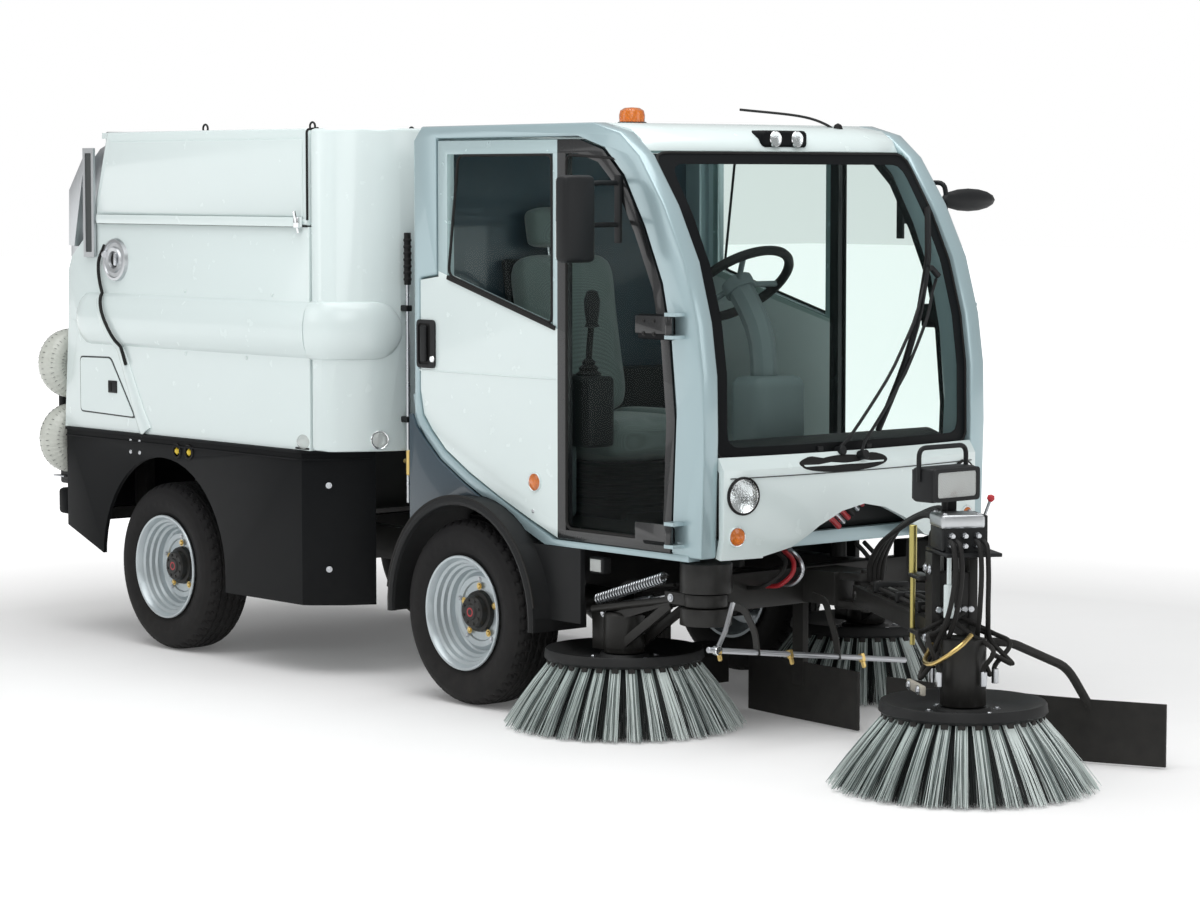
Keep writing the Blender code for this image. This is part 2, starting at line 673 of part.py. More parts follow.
def bulge(name, low_x, high_x, side):
    """A lengthwise pressing with round ends, flattened towards the panel that it stands on."""
    half = (high_x - low_x) / 2
    profile = [(BULGE_RADIUS * math.sin(a), half + BULGE_RADIUS * math.cos(a))
               for a in [math.radians(18 * i) for i in range(6)]]
    profile += [(r, -z) for r, z in reversed(profile)]
    flat = Matrix.Diagonal((1, (BULGE_DEPTH + 0.012) / BULGE_RADIUS, 1, 1))
    place = Matrix.Translation(((low_x + high_x) / 2, side * (BODY_HALF_WIDTH - 0.012), BULGE_Z))
    return turned(name, profile, place @ flat @ Matrix.Rotation(math.radians(90), 4, "Y"), 20)


def side_panel(side, label):
    outline = [
        (BODY_SEAM_X - 0.003, SKIRT_TOP_Z + GAP), (BODY_SEAM_X - 0.003, LEDGE_Z - 0.005),
        (BODY_REAR_X + 0.199, LEDGE_Z - 0.005), (BODY_REAR_X + 0.030, LEDGE_Z - 0.135),
        (BODY_REAR_X + 0.004, LEDGE_Z - 0.190), (BODY_REAR_X, BULGE_Z),
        (BODY_REAR_X - 0.035, SKIRT_TOP_Z + GAP),
    ]
    outer, inner = side * BODY_HALF_WIDTH, side * (BODY_HALF_WIDTH - PANEL_THICKNESS)
    panel = prism("panel", "XZ", outline, min(outer, inner), max(outer, inner))
    press = bulge("press", BODY_REAR_X + 0.165, BODY_SEAM_X + 0.050, side)
    keep = box("keep", (BODY_SEAM_X - 0.003, -1, 0), (1, 1, 3))
    hollow = box("hollow", (-4, -BODY_HALF_WIDTH + PANEL_THICKNESS, 0),
                 (1, BODY_HALF_WIDTH - PANEL_THICKNESS, 3))
    join(panel, press)
    cut(panel, keep, hollow)
    part(panel, "side_panel_" + label, "rear_chassis", "white_paint")


def corner_bulge(side):
    """The lengthwise pressing carried round the body's front corner, where it dies away."""
    path = [Vector((BODY_SEAM_X - 0.060, BODY_HALF_WIDTH))] + [Vector(p) for p in CORNER]
    reaches = [0.0]
    for before, after in zip(path, path[1:]):
        reaches.append(reaches[-1] + (after - before).length)
    whole = reaches[-1]
    rings = []
    for share in (0.0, 0.15, 0.30, 0.42, 0.54, 0.65, 0.75, 0.84, 0.91, 0.96, 0.99, 1.0):
        reach = share * whole
        i = max(k for k in range(len(path) - 1) if reaches[k] <= reach)
        along = (path[i + 1] - path[i]).normalized()
        point = path[i] + along * (reach - reaches[i])
        before, after = path[max(i - 1, 0)], path[min(i + 2, len(path) - 1)]
        smooth = (after - before).normalized()
        outward = Vector((-smooth.y, smooth.x))
        left = whole + 0.004 - reach
        fullness = math.sqrt(1 - max(0.0, 1 - left / BULGE_RADIUS) ** 2)
        stand = (BULGE_DEPTH - CORNER_BULGE_LOSS * share) * fullness
        ring = []
        for step in range(11):
            turn = math.pi * step / 10
            ring.append((stand * math.sin(turn), BULGE_RADIUS * fullness * math.cos(turn)))
        ring += [(-0.020, -0.95 * BULGE_RADIUS * fullness), (-0.020, 0.95 * BULGE_RADIUS * fullness)]
        rings.append([(point.x + outward.x * out, side * (point.y + outward.y * out), BULGE_Z + up)
                      for out, up in ring])
    return loft("corner_bulge", rings)


CORNER_BULGE_LOSS = 0.008


def front_module():
    outline = [(BODY_SEAM_X + 0.003, 0.0)] + CORNER
    outline += [(BODY_SEAM_X + 0.218, RECESS_HALF + 0.02), (RECESS_X, RECESS_HALF)]
    shape = prism("module", "XY", mirrored(outline[1:]), SKIRT_TOP_Z + GAP, ROOF_Z - 0.003)
    soften(shape, 0.020, 2, 60)
    for side in (-1, 1):
        join(shape, corner_bulge(side))
    cut(shape, box("seam", (-4, -2, 0), (BODY_SEAM_X + 0.003, 2, 3)))
    part(shape, "front_module", "rear_chassis", "white_paint")


def rear_hood():
    low, high = SKIRT_TOP_Z + GAP, TIP_HINGE_Z - 0.045
    half = BODY_HALF_WIDTH - PANEL_THICKNESS - GAP
    hood = box("hood", (BODY_REAR_X - 0.022, -half, low), (BODY_REAR_X, half, high))
    for side in (-1, 1):
        bracket = box("bracket", (HOSE_X + HOSE_RADIUS * 0.2, side * 0.50 - 0.02, low + 0.02),
                      (BODY_REAR_X, side * 0.50 + 0.02, high - 0.02))
        join(hood, bracket)
    for z in hose_levels():
        groove = tube("groove", [(HOSE_X, -1, z), (HOSE_X, 1, z)], HOSE_RADIUS + GAP * 2, 3)
        cut(hood, groove)
    part(hood, "rear_hood", "rear_chassis", "white_paint")


def hose_levels():
    top = BULGE_Z - 0.116
    return [top - 2 * HOSE_BEND * i for i in range(4)]


def wander_hose():
    levels = hose_levels()
    path = [(HOSE_X, HOSE_END_Y - 0.15, levels[0])]
    for i, z in enumerate(levels[:-1]):
        side = -1 if i % 2 == 0 else 1
        for point in arc((side * HOSE_END_Y, z - HOSE_BEND), HOSE_BEND, 90, 90 + 180, 8):
            across = abs(point[0] - side * HOSE_END_Y) * side + side * HOSE_END_Y
            path.append((HOSE_X, across, point[1]))
    path.append((HOSE_X, HOSE_END_Y - 0.15, levels[-1]))
    part(tube("hose", path, HOSE_RADIUS, 3), "wander_hose", "rear_chassis", "hose")


ENGINE_TOP_Z = SKIRT_TOP_Z + 0.159


def engine():
    block = box("engine", (REAR_AXLE_X - 0.42, -REAR_RAIL_Y, FRAME_HIGH_Z + GAP),
                (REAR_AXLE_X + 0.36, REAR_RAIL_Y, ENGINE_TOP_Z))
    part(block, "engine_block", "rear_chassis", "chassis_black")


SWIVEL_Z = 0.780
SWIVEL_DEPTH = 0.180
SWIVEL_RADIUS = 0.110
PIPE_RADIUS = 0.075


def suction_riser():
    top = SWIVEL_Z + 0.380
    path = filleted([(PIVOT_X, 0, SWIVEL_Z + GAP), (PIVOT_X, 0, top),
                     (RECESS_X + GAP, 0, top)], 0.16, 8)
    riser = tube("riser", path, PIPE_RADIUS, 4)
    foot = rod("foot", (PIVOT_X, 0, SWIVEL_Z + GAP), (PIVOT_X, 0, SWIVEL_Z + 0.05),
               PIPE_RADIUS + 0.012)
    join(riser, foot)
    part(riser, "suction_riser", "rear_chassis", "rubber")


skirt()
side_panel(-1, "right")
side_panel(1, "left")
front_module()
rear_hood()
wander_hose()
engine()
suction_riser()


# Hopper and tailgate

HOPPER_WALL = 0.014
TUB_HALF = BODY_HALF_WIDTH - PANEL_THICKNESS - 0.012
TUB_FLOOR_Z = SKIRT_TOP_Z + 0.224
GATE_FOOT_X = BODY_REAR_X + 0.020
GATE_FOOT_Z = LEDGE_Z - 0.220


def gate_line(z):
    """X on the sloping rear mouth of the hopper at a height."""
    slope = (GATE_HINGE_X - GATE_FOOT_X) / (GATE_HINGE_Z - GATE_FOOT_Z)
    return GATE_FOOT_X + slope * (z - GATE_FOOT_Z)


def hopper():
    front_x = BODY_SEAM_X - 0.006
    upper = [
        (front_x, LEDGE_Z), (front_x, ROOF_Z - 0.003), (gate_line(ROOF_Z) + 0.016, ROOF_Z - 0.003),
        (gate_line(LEDGE_Z) + 0.06, LEDGE_Z),
    ]
    shell = prism("upper", "XZ", upper, -BODY_HALF_WIDTH, BODY_HALF_WIDTH)
    soften(shell, 0.012, 2, 60)
    lower = [
        (front_x - 0.045, TUB_FLOOR_Z), (front_x - 0.045, LEDGE_Z + 0.10),
        (gate_line(LEDGE_Z + 0.10), LEDGE_Z + 0.10), (GATE_FOOT_X, GATE_FOOT_Z),
        (GATE_FOOT_X, GATE_FOOT_Z - 0.02), (REAR_AXLE_X + 0.30, TUB_FLOOR_Z),
    ]
    tub = prism("tub", "XZ", lower, -TUB_HALF, TUB_HALF)
    join(shell, tub)
    rear_top = [(gate_line(LEDGE_Z + 0.02), LEDGE_Z + 0.02), (gate_line(ROOF_Z - 0.003) + 0.001,
                ROOF_Z - 0.003), (gate_line(ROOF_Z) + 0.10, ROOF_Z - 0.003),
                (gate_line(LEDGE_Z) + 0.10, LEDGE_Z + 0.02)]
    join(shell, prism("rear_top", "XZ", rear_top, -TUB_HALF, TUB_HALF))
    inside = [
        (front_x - 0.045 - HOPPER_WALL, TUB_FLOOR_Z + HOPPER_WALL),
        (front_x - 0.045 - HOPPER_WALL, ROOF_Z - 0.003 - HOPPER_WALL),
        (gate_line(ROOF_Z) - 0.40, ROOF_Z - 0.003 - HOPPER_WALL),
        (GATE_FOOT_X - 0.40, GATE_FOOT_Z + HOPPER_WALL), (GATE_FOOT_X, GATE_FOOT_Z + HOPPER_WALL),
        (REAR_AXLE_X + 0.30, TUB_FLOOR_Z + HOPPER_WALL),
    ]
    cut(shell, prism("inside", "XZ", inside, -TUB_HALF + HOPPER_WALL, TUB_HALF - HOPPER_WALL))
    for side in (-1, 1):
        lug_y = side * (TIP_POST_Y + 0.035)
        lug = box("lug", (TIP_HINGE_X - 0.030, lug_y - 0.010, TIP_HINGE_Z - 0.030),
                  (TIP_HINGE_X + 0.030, lug_y + 0.010, GATE_FOOT_Z + 0.005))
        join(shell, lug)
        ear = box("ear", (GATE_AXIS_X - 0.012, min(side * TUB_HALF, side * (TUB_HALF + 0.016)),
                          GATE_HINGE_Z - 0.012),
                  (GATE_HINGE_X + 0.05, max(side * TUB_HALF, side * (TUB_HALF + 0.016)),
                   GATE_HINGE_Z + 0.011))
        gate_pin = rod("gate_pin", (GATE_AXIS_X, side * (TUB_HALF + 0.010), GATE_HINGE_Z),
                       (GATE_AXIS_X, side * (TUB_HALF - 0.030), GATE_HINGE_Z), 0.008, 12)
        join(shell, ear, gate_pin)
        raised = [(front_x - 0.030, LEDGE_Z + 0.030), (front_x - 0.030, ROOF_Z - 0.040),
                  (gate_line(ROOF_Z) + 0.050, ROOF_Z - 0.040),
                  (gate_line(LEDGE_Z) + 0.100, LEDGE_Z + 0.030)]
        plate_y = sorted((side * (BODY_HALF_WIDTH - 0.010), side * (BODY_HALF_WIDTH + 0.006)))
        plate = prism("plate", "XZ", raised, *plate_y)
        soften(plate, 0.004, 1)
        ledge = rod("ledge", (front_x - 0.002, side * (BODY_HALF_WIDTH - 0.006), LEDGE_Z + 0.012),
                    (gate_line(LEDGE_Z) + 0.068, side * (BODY_HALF_WIDTH - 0.006), LEDGE_Z + 0.012),
                    0.012, 12)
        join(shell, plate, ledge)
    cut(shell, rod("tip_bore", (TIP_HINGE_X, -1, TIP_HINGE_Z), (TIP_HINGE_X, 1, TIP_HINGE_Z),
                   0.0146, 16))
    part(shell, "hopper_shell", "hopper", "white_paint")


def tailgate():
    gap = 0.002
    front = [(gate_line(z) - gap, z) for z in (GATE_FOOT_Z + 0.004, GATE_HINGE_Z - 0.030)]
    rear = [(GATE_HINGE_X - 0.075, GATE_HINGE_Z - 0.050), (GATE_FOOT_X - 0.045, LEDGE_Z + 0.12),
            (GATE_FOOT_X - 0.050, GATE_FOOT_Z + 0.060), (GATE_FOOT_X - 0.020, GATE_FOOT_Z + 0.004)]
    half = TUB_HALF - 0.001
    gate = prism("gate", "XZ", front + rear, -half, half)
    hinge = rod("hinge", (GATE_AXIS_X, -half, GATE_HINGE_Z), (GATE_AXIS_X, half, GATE_HINGE_Z),
                0.016, 12)
    leaf = box("leaf", (GATE_AXIS_X - 0.012, -half, GATE_HINGE_Z - 0.045),
               (GATE_AXIS_X - 0.004, half, GATE_HINGE_Z))
    join(gate, hinge, leaf)
    cheek = [(BODY_REAR_X + 0.135, ROOF_Z - 0.078), (BODY_REAR_X + 0.015, ROOF_Z - 0.226),
             (BODY_REAR_X + 0.009, LEDGE_Z - 0.092), (BODY_REAR_X + 0.048, LEDGE_Z - 0.097)]
    for side, label in ((-1, "right"), (1, "left")):
        cheek_y = sorted((side * (half + GAP), side * BODY_HALF_WIDTH))
        plate = prism("tailgate_cheek", "XZ", cheek, *cheek_y)
        part(plate, "tailgate_cheek_" + label, "tailgate", "steel")
        cut(gate, rod("gate_bore", (GATE_AXIS_X, side * (half - 0.036), GATE_HINGE_Z),
                      (GATE_AXIS_X, side * (half + 0.01), GATE_HINGE_Z), 0.0084, 12))
    part(gate, "tailgate_shell", "tailgate", "steel")


hopper()
tailgate()


# Cab

HOOP_OUTER = [
    (CAB_REAR_X, CAB_FLOOR_Z), (CAB_REAR_X, down(0.050)), (CAB_REAR_X + 0.045, down(0.003)),
    (NOSE_X - 0.530, ROOF_Z), (NOSE_X - 0.395, down(0.033)), (NOSE_X - 0.297, down(0.108)),
    (NOSE_X - 0.179, down(0.268)), (NOSE_X - 0.082, down(0.447)),
    (NOSE_X - 0.023, down(0.640)), (NOSE_X + 0.003, down(0.810)),
    (NOSE_X + 0.008, SCREEN_LOW_Z + 0.080), (NOSE_X - 0.002, CAB_FLOOR_Z - 0.005),
]
HOOP_INNER = [
    (NOSE_X - 0.142, CAB_FLOOR_Z), (NOSE_X - 0.122, SCREEN_LOW_Z + 0.130),
    (NOSE_X - 0.148, down(0.698)), (NOSE_X - 0.190, down(0.518)),
    (NOSE_X - 0.276, down(0.336)), (NOSE_X - 0.376, down(0.173)),
    (NOSE_X - 0.477, down(0.080)), (NOSE_X - 0.600, down(0.046)),
    (CAB_REAR_X + 0.127, down(0.046)), (CAB_REAR_X + 0.127, down(0.515)),
    (CAB_REAR_X + 0.030, down(0.528)), (CAB_REAR_X + 0.030, CAB_FLOOR_Z + 0.075),
]
INNER_HALF = CAB_HALF_WIDTH - HOOP_WIDTH
BAND_END_X = 0.430
BOW_START_X = NOSE_X - 0.640
BOW_RAMP = 0.200


DOOR_HINGE_Z = (CAB_FLOOR_Z + 0.070, down(0.650))
EYE_HALF = 0.030


def cab_frame():
    sides = []
    for side in (-1, 1):
        outer, inner = side * CAB_HALF_WIDTH, side * INNER_HALF
        hoop = prism("hoop", "XZ", HOOP_OUTER + HOOP_INNER, min(outer, inner), max(outer, inner))
        soften(hoop, 0.010, 2, 50)
        sides.append(hoop)
    frame = join(sides[0], sides[1])
    reach = INNER_HALF + HOOP_WIDTH / 2
    bars = [
        ((CAB_REAR_X + 0.005, CAB_FLOOR_Z + 0.005), (CAB_REAR_X + 0.055, CAB_FLOOR_Z + 0.070)),
        ((CAB_REAR_X + 0.030, down(0.090)), (CAB_REAR_X + 0.100, down(0.040))),
        ((NOSE_X - 0.510, down(0.085)), (NOSE_X - 0.430, down(0.045))),
        ((NOSE_X - 0.120, CAB_FLOOR_Z + 0.002), (NOSE_X - 0.060, CAB_FLOOR_Z + 0.045)),
    ]
    for (low_x, low_z), (high_x, high_z) in bars:
        join(frame, box("bar", (low_x, -reach, low_z), (high_x, reach, high_z)))
    for side in (-1, 1):
        for z in DOOR_HINGE_Z:
            join(frame, rod("hinge_pin", (DOOR_HINGE_X, side * DOOR_HINGE_Y, z - 0.042),
                            (DOOR_HINGE_X, side * DOOR_HINGE_Y, z + 0.042), 0.006, 12))
            lug_y = sorted((side * (CAB_HALF_WIDTH - 0.010), side * (DOOR_HINGE_Y + 0.010)))
            for low in (z - 0.042, z + EYE_HALF + GAP):
                join(frame, box("lug", (DOOR_HINGE_X - 0.012, lug_y[0], low),
                                (DOOR_HINGE_X + 0.030, lug_y[1], low + 0.0117)))
    band = [
        (CAB_REAR_X + 0.030, down(0.928)), (CAB_REAR_X + 0.047, down(1.008)),
        (CAB_REAR_X + 0.093, down(1.060)), (CAB_REAR_X + 0.171, down(1.125)),
        (CAB_REAR_X + 0.303, down(1.195)), (BAND_END_X - 0.200, down(1.314)),
        (BAND_END_X, CAB_FLOOR_Z - 0.004),
    ]
    sill = [(BAND_END_X - 0.060, CAB_FLOOR_Z - 0.016), (BAND_END_X - 0.060, CAB_FLOOR_Z + 0.004),
            (NOSE_X - 0.060, CAB_FLOOR_Z + 0.004), (NOSE_X - 0.060, CAB_FLOOR_Z - 0.016)]
    for side in (-1, 1):
        band_y = sorted((side * (CAB_HALF_WIDTH - 0.050), side * CAB_HALF_WIDTH))
        strip = prism("band", "XZ", thick_path(band, -0.034), *band_y)
        cut(strip, rod("wheel_room", (0, -1, TYRE_RADIUS), (0, 1, TYRE_RADIUS),
                       FENDER_OUTER + 0.002, 48),
            box("below", (CAB_REAR_X, -1, 0), (NOSE_X, 1, CAB_FLOOR_Z - 0.016)))
        join(frame, strip, prism("sill", "XZ", sill, *band_y))
    part(frame, "cab_frame", "front_chassis", "silver_blue_paint")


def bowed(points, bow, half, columns=8):
    """Rings across Y of a (x, z) section whose front is pushed forward in the middle by a bow."""
    rings = []
    for i in range(columns + 1):
        y = -half + 2 * half * i / columns
        push = bow * (1 - (y / half) ** 2)
        rings.append([(x + push * min(1, max(0, (x - BOW_START_X) / BOW_RAMP)), y, z)
                      for x, z in points])
    return rings


def cab_roof():
    section = [
        (CAB_REAR_X + 0.015, down(0.038)), (CAB_REAR_X + 0.015, down(0.012)),
        (CAB_REAR_X + 0.060, down(0.003)), (NOSE_X - 0.540, ROOF_Z), (NOSE_X - 0.420, down(0.020)),
        (NOSE_X - 0.370, down(0.052)), (NOSE_X - 0.345, down(0.094)),
        (NOSE_X - 0.400, down(0.094)), (NOSE_X - 0.425, down(0.044)),
        (NOSE_X - 0.600, down(0.038)),
    ]
    half = INNER_HALF - GAP
    roof = loft("roof", bowed(section, NOSE_BOW, half))
    part(roof, "cab_roof", "front_chassis", "white_paint")


def windscreen():
    path = [
        (NOSE_X - 0.330, down(0.096)), (NOSE_X - 0.275, down(0.175)),
        (NOSE_X - 0.195, down(0.295)), (NOSE_X - 0.110, down(0.460)),
        (NOSE_X - 0.055, down(0.640)), (NOSE_X - 0.030, down(0.810)),
        (NOSE_X - 0.025, SCREEN_LOW_Z + 0.001),
    ]
    section = thick_path(path, GLASS_THICKNESS + 0.002)
    pane = loft("pane", bowed(section, NOSE_BOW, INNER_HALF - GAP))
    part(pane, "windscreen", "front_chassis", "glass")


def nose_panel():
    section = thick_path([
        (NOSE_X - 0.018, SCREEN_LOW_Z - GAP), (NOSE_X + 0.005, SCREEN_LOW_Z - 0.035),
        (NOSE_X + 0.006, 0.66), (NOSE_X - 0.010, CAB_FLOOR_Z - 0.005)], 0.024)
    panel = loft("panel", bowed(section, NOSE_BOW, INNER_HALF - GAP))
    arch = [(-0.42, CAB_FLOOR_Z - 0.1), (-0.42, CAB_FLOOR_Z - 0.006), (-0.31, 0.618), (-0.20, 0.682),
            (-0.10, 0.724), (0, 0.742), (0.10, 0.724), (0.20, 0.682), (0.31, 0.618),
            (0.42, CAB_FLOOR_Z - 0.006), (0.42, CAB_FLOOR_Z - 0.1)]
    cut(panel, prism("arch", "YZ", arch, NOSE_X - 0.2, NOSE_X + 0.2))
    part(panel, "nose_panel", "front_chassis", "white_paint")


DOOR_REAR_X = CAB_REAR_X + 0.135
DOOR_SKIN_REAR_X = CAB_REAR_X + 0.034
DOOR_OUTLINE = [
    (DOOR_SKIN_REAR_X, down(0.920)), (DOOR_SKIN_REAR_X, down(0.534)),
    (DOOR_REAR_X, down(0.521)), (DOOR_REAR_X, down(0.054)),
    (NOSE_X - 0.604, down(0.054)), (NOSE_X - 0.482, down(0.089)),
    (NOSE_X - 0.385, down(0.178)), (NOSE_X - 0.285, down(0.341)),
    (NOSE_X - 0.199, down(0.521)), (NOSE_X - 0.157, down(0.700)),
    (NOSE_X - 0.131, SCREEN_LOW_Z + 0.130), (NOSE_X - 0.151, CAB_FLOOR_Z + 0.006),
    (BAND_END_X + 0.006, CAB_FLOOR_Z + 0.008), (CAB_REAR_X + 0.627, CAB_FLOOR_Z + 0.064),
    (CAB_REAR_X + 0.468, CAB_FLOOR_Z + 0.127), (CAB_REAR_X + 0.305, CAB_FLOOR_Z + 0.200),
    (CAB_REAR_X + 0.175, down(1.118)), (CAB_REAR_X + 0.098, down(1.052)),
    (CAB_REAR_X + 0.052, down(1.000)),
]
REAR_WINDOW = [
    (DOOR_REAR_X + 0.050, BELT_Z + 0.092), (DOOR_REAR_X + 0.050, down(0.100)),
    (0.405, down(0.100)), (0.405, BELT_Z - 0.062),
]
FRONT_WINDOW = [
    (0.470, CAB_FLOOR_Z + 0.040), (0.470, down(0.100)), (NOSE_X - 0.610, down(0.100)),
    (NOSE_X - 0.505, down(0.130)), (NOSE_X - 0.420, down(0.205)),
    (NOSE_X - 0.325, down(0.360)), (NOSE_X - 0.240, down(0.535)),
    (NOSE_X - 0.198, down(0.705)), (NOSE_X - 0.172, SCREEN_LOW_Z + 0.130),
    (NOSE_X - 0.188, CAB_FLOOR_Z + 0.040),
]


def door(side, label):
    name = "door_" + label
    outer, inner = side * (CAB_HALF_WIDTH - 0.004), side * (CAB_HALF_WIDTH - 0.004 - DOOR_THICKNESS)
    low, high = min(outer, inner), max(outer, inner)
    frame = prism("door", "XZ", DOOR_OUTLINE, low, high, (REAR_WINDOW, FRONT_WINDOW))
    for z in DOOR_HINGE_Z:
        start = (DOOR_HINGE_X, side * DOOR_HINGE_Y)
        eye = rod("eye", (*start, z - EYE_HALF), (*start, z + EYE_HALF), 0.014, 12)
        strap_y = (side * (CAB_HALF_WIDTH + 0.006), side * (CAB_HALF_WIDTH + 0.016))
        strap = box("strap", (DOOR_HINGE_X - 0.190, min(strap_y), z - 0.028),
                    (DOOR_HINGE_X - 0.030, max(strap_y), z + 0.028))
        block_y = (side * (CAB_HALF_WIDTH + 0.010), side * (CAB_HALF_WIDTH - 0.010))
        block = box("block", (DOOR_HINGE_X - 0.185, min(block_y), z - 0.026),
                    (DOOR_HINGE_X - 0.068, max(block_y), z + 0.026))
        link = prism("link", "XY", [
            (DOOR_HINGE_X - 0.045, side * (CAB_HALF_WIDTH + 0.0065)),
            (DOOR_HINGE_X - 0.045, side * (CAB_HALF_WIDTH + 0.0155)),
            (DOOR_HINGE_X - 0.004, side * (DOOR_HINGE_Y + 0.006)),
            (DOOR_HINGE_X + 0.002, side * (DOOR_HINGE_Y - 0.006)),
            (DOOR_HINGE_X - 0.025, side * (CAB_HALF_WIDTH + 0.0065)),
        ], z - 0.027, z + 0.027)
        join(frame, strap, block, link, eye)
        cut(frame, rod("eye_bore", (*start, z - 0.05), (*start, z + 0.05), 0.0064, 12))
    part(frame, name + "_panel", name, "white_paint")
    pane_out = side * (CAB_HALF_WIDTH - 0.004 - DOOR_THICKNESS - GAP)
    pane_in = pane_out - side * GLASS_THICKNESS
    pane_outline = [
        (DOOR_REAR_X + 0.030, BELT_Z + 0.072), (DOOR_REAR_X + 0.030, down(0.080)),
        (NOSE_X - 0.608, down(0.080)), (NOSE_X - 0.492, down(0.110)),
        (NOSE_X - 0.402, down(0.192)), (NOSE_X - 0.305, down(0.350)),
        (NOSE_X - 0.220, down(0.528)), (NOSE_X - 0.178, down(0.702)),
        (NOSE_X - 0.152, SCREEN_LOW_Z + 0.130), (NOSE_X - 0.168, CAB_FLOOR_Z + 0.022),
        (0.450, CAB_FLOOR_Z + 0.022), (0.450, BELT_Z - 0.090),
    ]
    pane = prism("pane", "XZ", pane_outline, min(pane_out, pane_in), max(pane_out, pane_in))
    part(pane, name + "_glass", name, "glass")


MIRROR_HALF_HEIGHT = 0.140


def mirror(side, label):
    """An upright head on the right and a flat leaf-shaped wide-angle head on the left."""
    x, y, z = NOSE_X - 0.387, side * (CAB_HALF_WIDTH + 0.195), down(0.312)
    root_x, root_y = NOSE_X - 0.400, side * (CAB_HALF_WIDTH - 0.004 + GAP)
    if side < 0:
        head = box("head", (x - 0.030, y - 0.066, z - MIRROR_HALF_HEIGHT),
                   (x + 0.030, y + 0.066, z + MIRROR_HALF_HEIGHT))
        soften(head, 0.018, 2)
        ends = [(x, y, z - 0.04), (x, y, z + 0.06)]
    else:
        x, y = x + 0.140, y - 0.075
        head = ball("head", (x, y + 0.060, z + 0.055), (0.034, 0.135, 0.040), 16, 8)
        ends = [(x, y - 0.050, z + 0.052), (x, y - 0.050, z + 0.062)]
    for end, root_z in zip(ends, (z - 0.02, z + 0.115)):
        arm = tube("arm", filleted([end, (x, y - side * 0.060, root_z),
                                    (root_x, root_y + side * 0.030, root_z),
                                    (root_x, root_y + side * 0.006, root_z)], 0.04, 4),
                   0.009, 2)
        join(head, arm)
    shoe = box("shoe", (root_x - 0.015, min(root_y, root_y + side * 0.010), z - 0.08),
               (root_x + 0.015, max(root_y, root_y + side * 0.010), z + 0.14))
    join(head, shoe)
    part(head, "mirror_" + label, "door_" + label, "black_plastic")


def cab_tub():
    inner_x = 0.42
    wheel_y = TYRE_OUTER_Y - TYRE_WIDTH - 0.025 - GAP
    plan = [(CAB_REAR_X + 0.055 + GAP, wheel_y), (inner_x, wheel_y), (inner_x, INNER_HALF - GAP),
            (NOSE_X - 0.120 - GAP, INNER_HALF - GAP)]
    floor = prism("floor", "XY", mirrored(plan), CAB_FLOOR_Z + 0.002, CAB_FLOOR_Z + 0.030)
    part(floor, "cab_floor", "front_chassis", "black_plastic")


def rear_wall():
    wall = box("wall", (CAB_REAR_X + 0.031, -INNER_HALF + GAP, CAB_FLOOR_Z + 0.071),
               (CAB_REAR_X + 0.050, INNER_HALF - GAP, down(0.091)))
    low, high, thick = CAB_FLOOR_Z + 0.085, down(1.043), 0.0117
    back_x = CAB_REAR_X - GAP
    outline = [(back_x - thick, CAB_FLOOR_Z + 0.008), (back_x - thick, down(1.003)),
               (CAB_REAR_X, down(1.003)), (CAB_REAR_X + 0.023, down(1.043)),
               (CAB_REAR_X + 0.067, down(1.086)), (CAB_REAR_X + 0.150, down(1.155)),
               (CAB_REAR_X + 0.287, down(1.228)), (CAB_REAR_X + 0.360, down(1.2625))]
    arch = arc((0, TYRE_RADIUS), FENDER_OUTER + GAP, 86, 134.3, 12)
    for side in (-1, 1):
        core_y = sorted((side * (INNER_HALF - 0.180), side * (INNER_HALF - GAP)))
        wing_y = sorted((side * (INNER_HALF - 0.180), side * (CAB_HALF_WIDTH + thick)))
        skin_y = sorted((side * (CAB_HALF_WIDTH + GAP), side * (CAB_HALF_WIDTH + thick)))
        core = box("core", (back_x - thick, core_y[0], low), (CAB_REAR_X + 0.040, core_y[1], high))
        wing = box("wing", (back_x - thick, wing_y[0], low), (back_x, wing_y[1], high))
        skin = prism("skin", "XZ", outline + arch, *skin_y)
        join(wall, core, wing, skin)
    part(wall, "cab_rear_wall", "front_chassis", "slate_paint")


FENDER_INNER = TYRE_RADIUS + 0.052
FENDER_OUTER = FENDER_INNER + 0.028
WING_END_X = 0.550
FENDER_IN_Y = TYRE_OUTER_Y - TYRE_WIDTH - 0.025


def fender(side, label):
    outline = arc((0, TYRE_RADIUS), FENDER_OUTER, -4, 184, 28)
    outline += arc((0, TYRE_RADIUS), FENDER_INNER, 184, -4, 28)
    low, high = side * FENDER_IN_Y, side * SKIRT_HALF_WIDTH
    guard = prism("guard", "XZ", outline, min(low, high), max(low, high))
    wing_y = sorted((side * (CAB_HALF_WIDTH - 0.020), side * CAB_HALF_WIDTH))
    wing = [(FENDER_INNER + 0.010, TYRE_RADIUS + 0.012), (WING_END_X, TYRE_RADIUS + 0.012),
            (WING_END_X, CAB_FLOOR_Z - 0.018), (BAND_END_X - 0.040, CAB_FLOOR_Z - 0.018),
            (FENDER_OUTER * 0.69, TYRE_RADIUS + FENDER_INNER * 0.70)]
    join(guard, prism("wing", "XZ", wing, *wing_y))
    lip = [((FENDER_INNER + 0.012) * math.cos(a), TYRE_RADIUS + (FENDER_INNER + 0.012) * math.sin(a))
           for a in [math.radians(-4 + 188 * i / 28) for i in range(29)]]
    lip_y = side * (SKIRT_HALF_WIDTH - 0.010)
    join(guard, tube("lip", [(x, lip_y, z) for x, z in lip], 0.016, 2))
    part(guard, "fender_" + label, "front_chassis", "black_plastic")


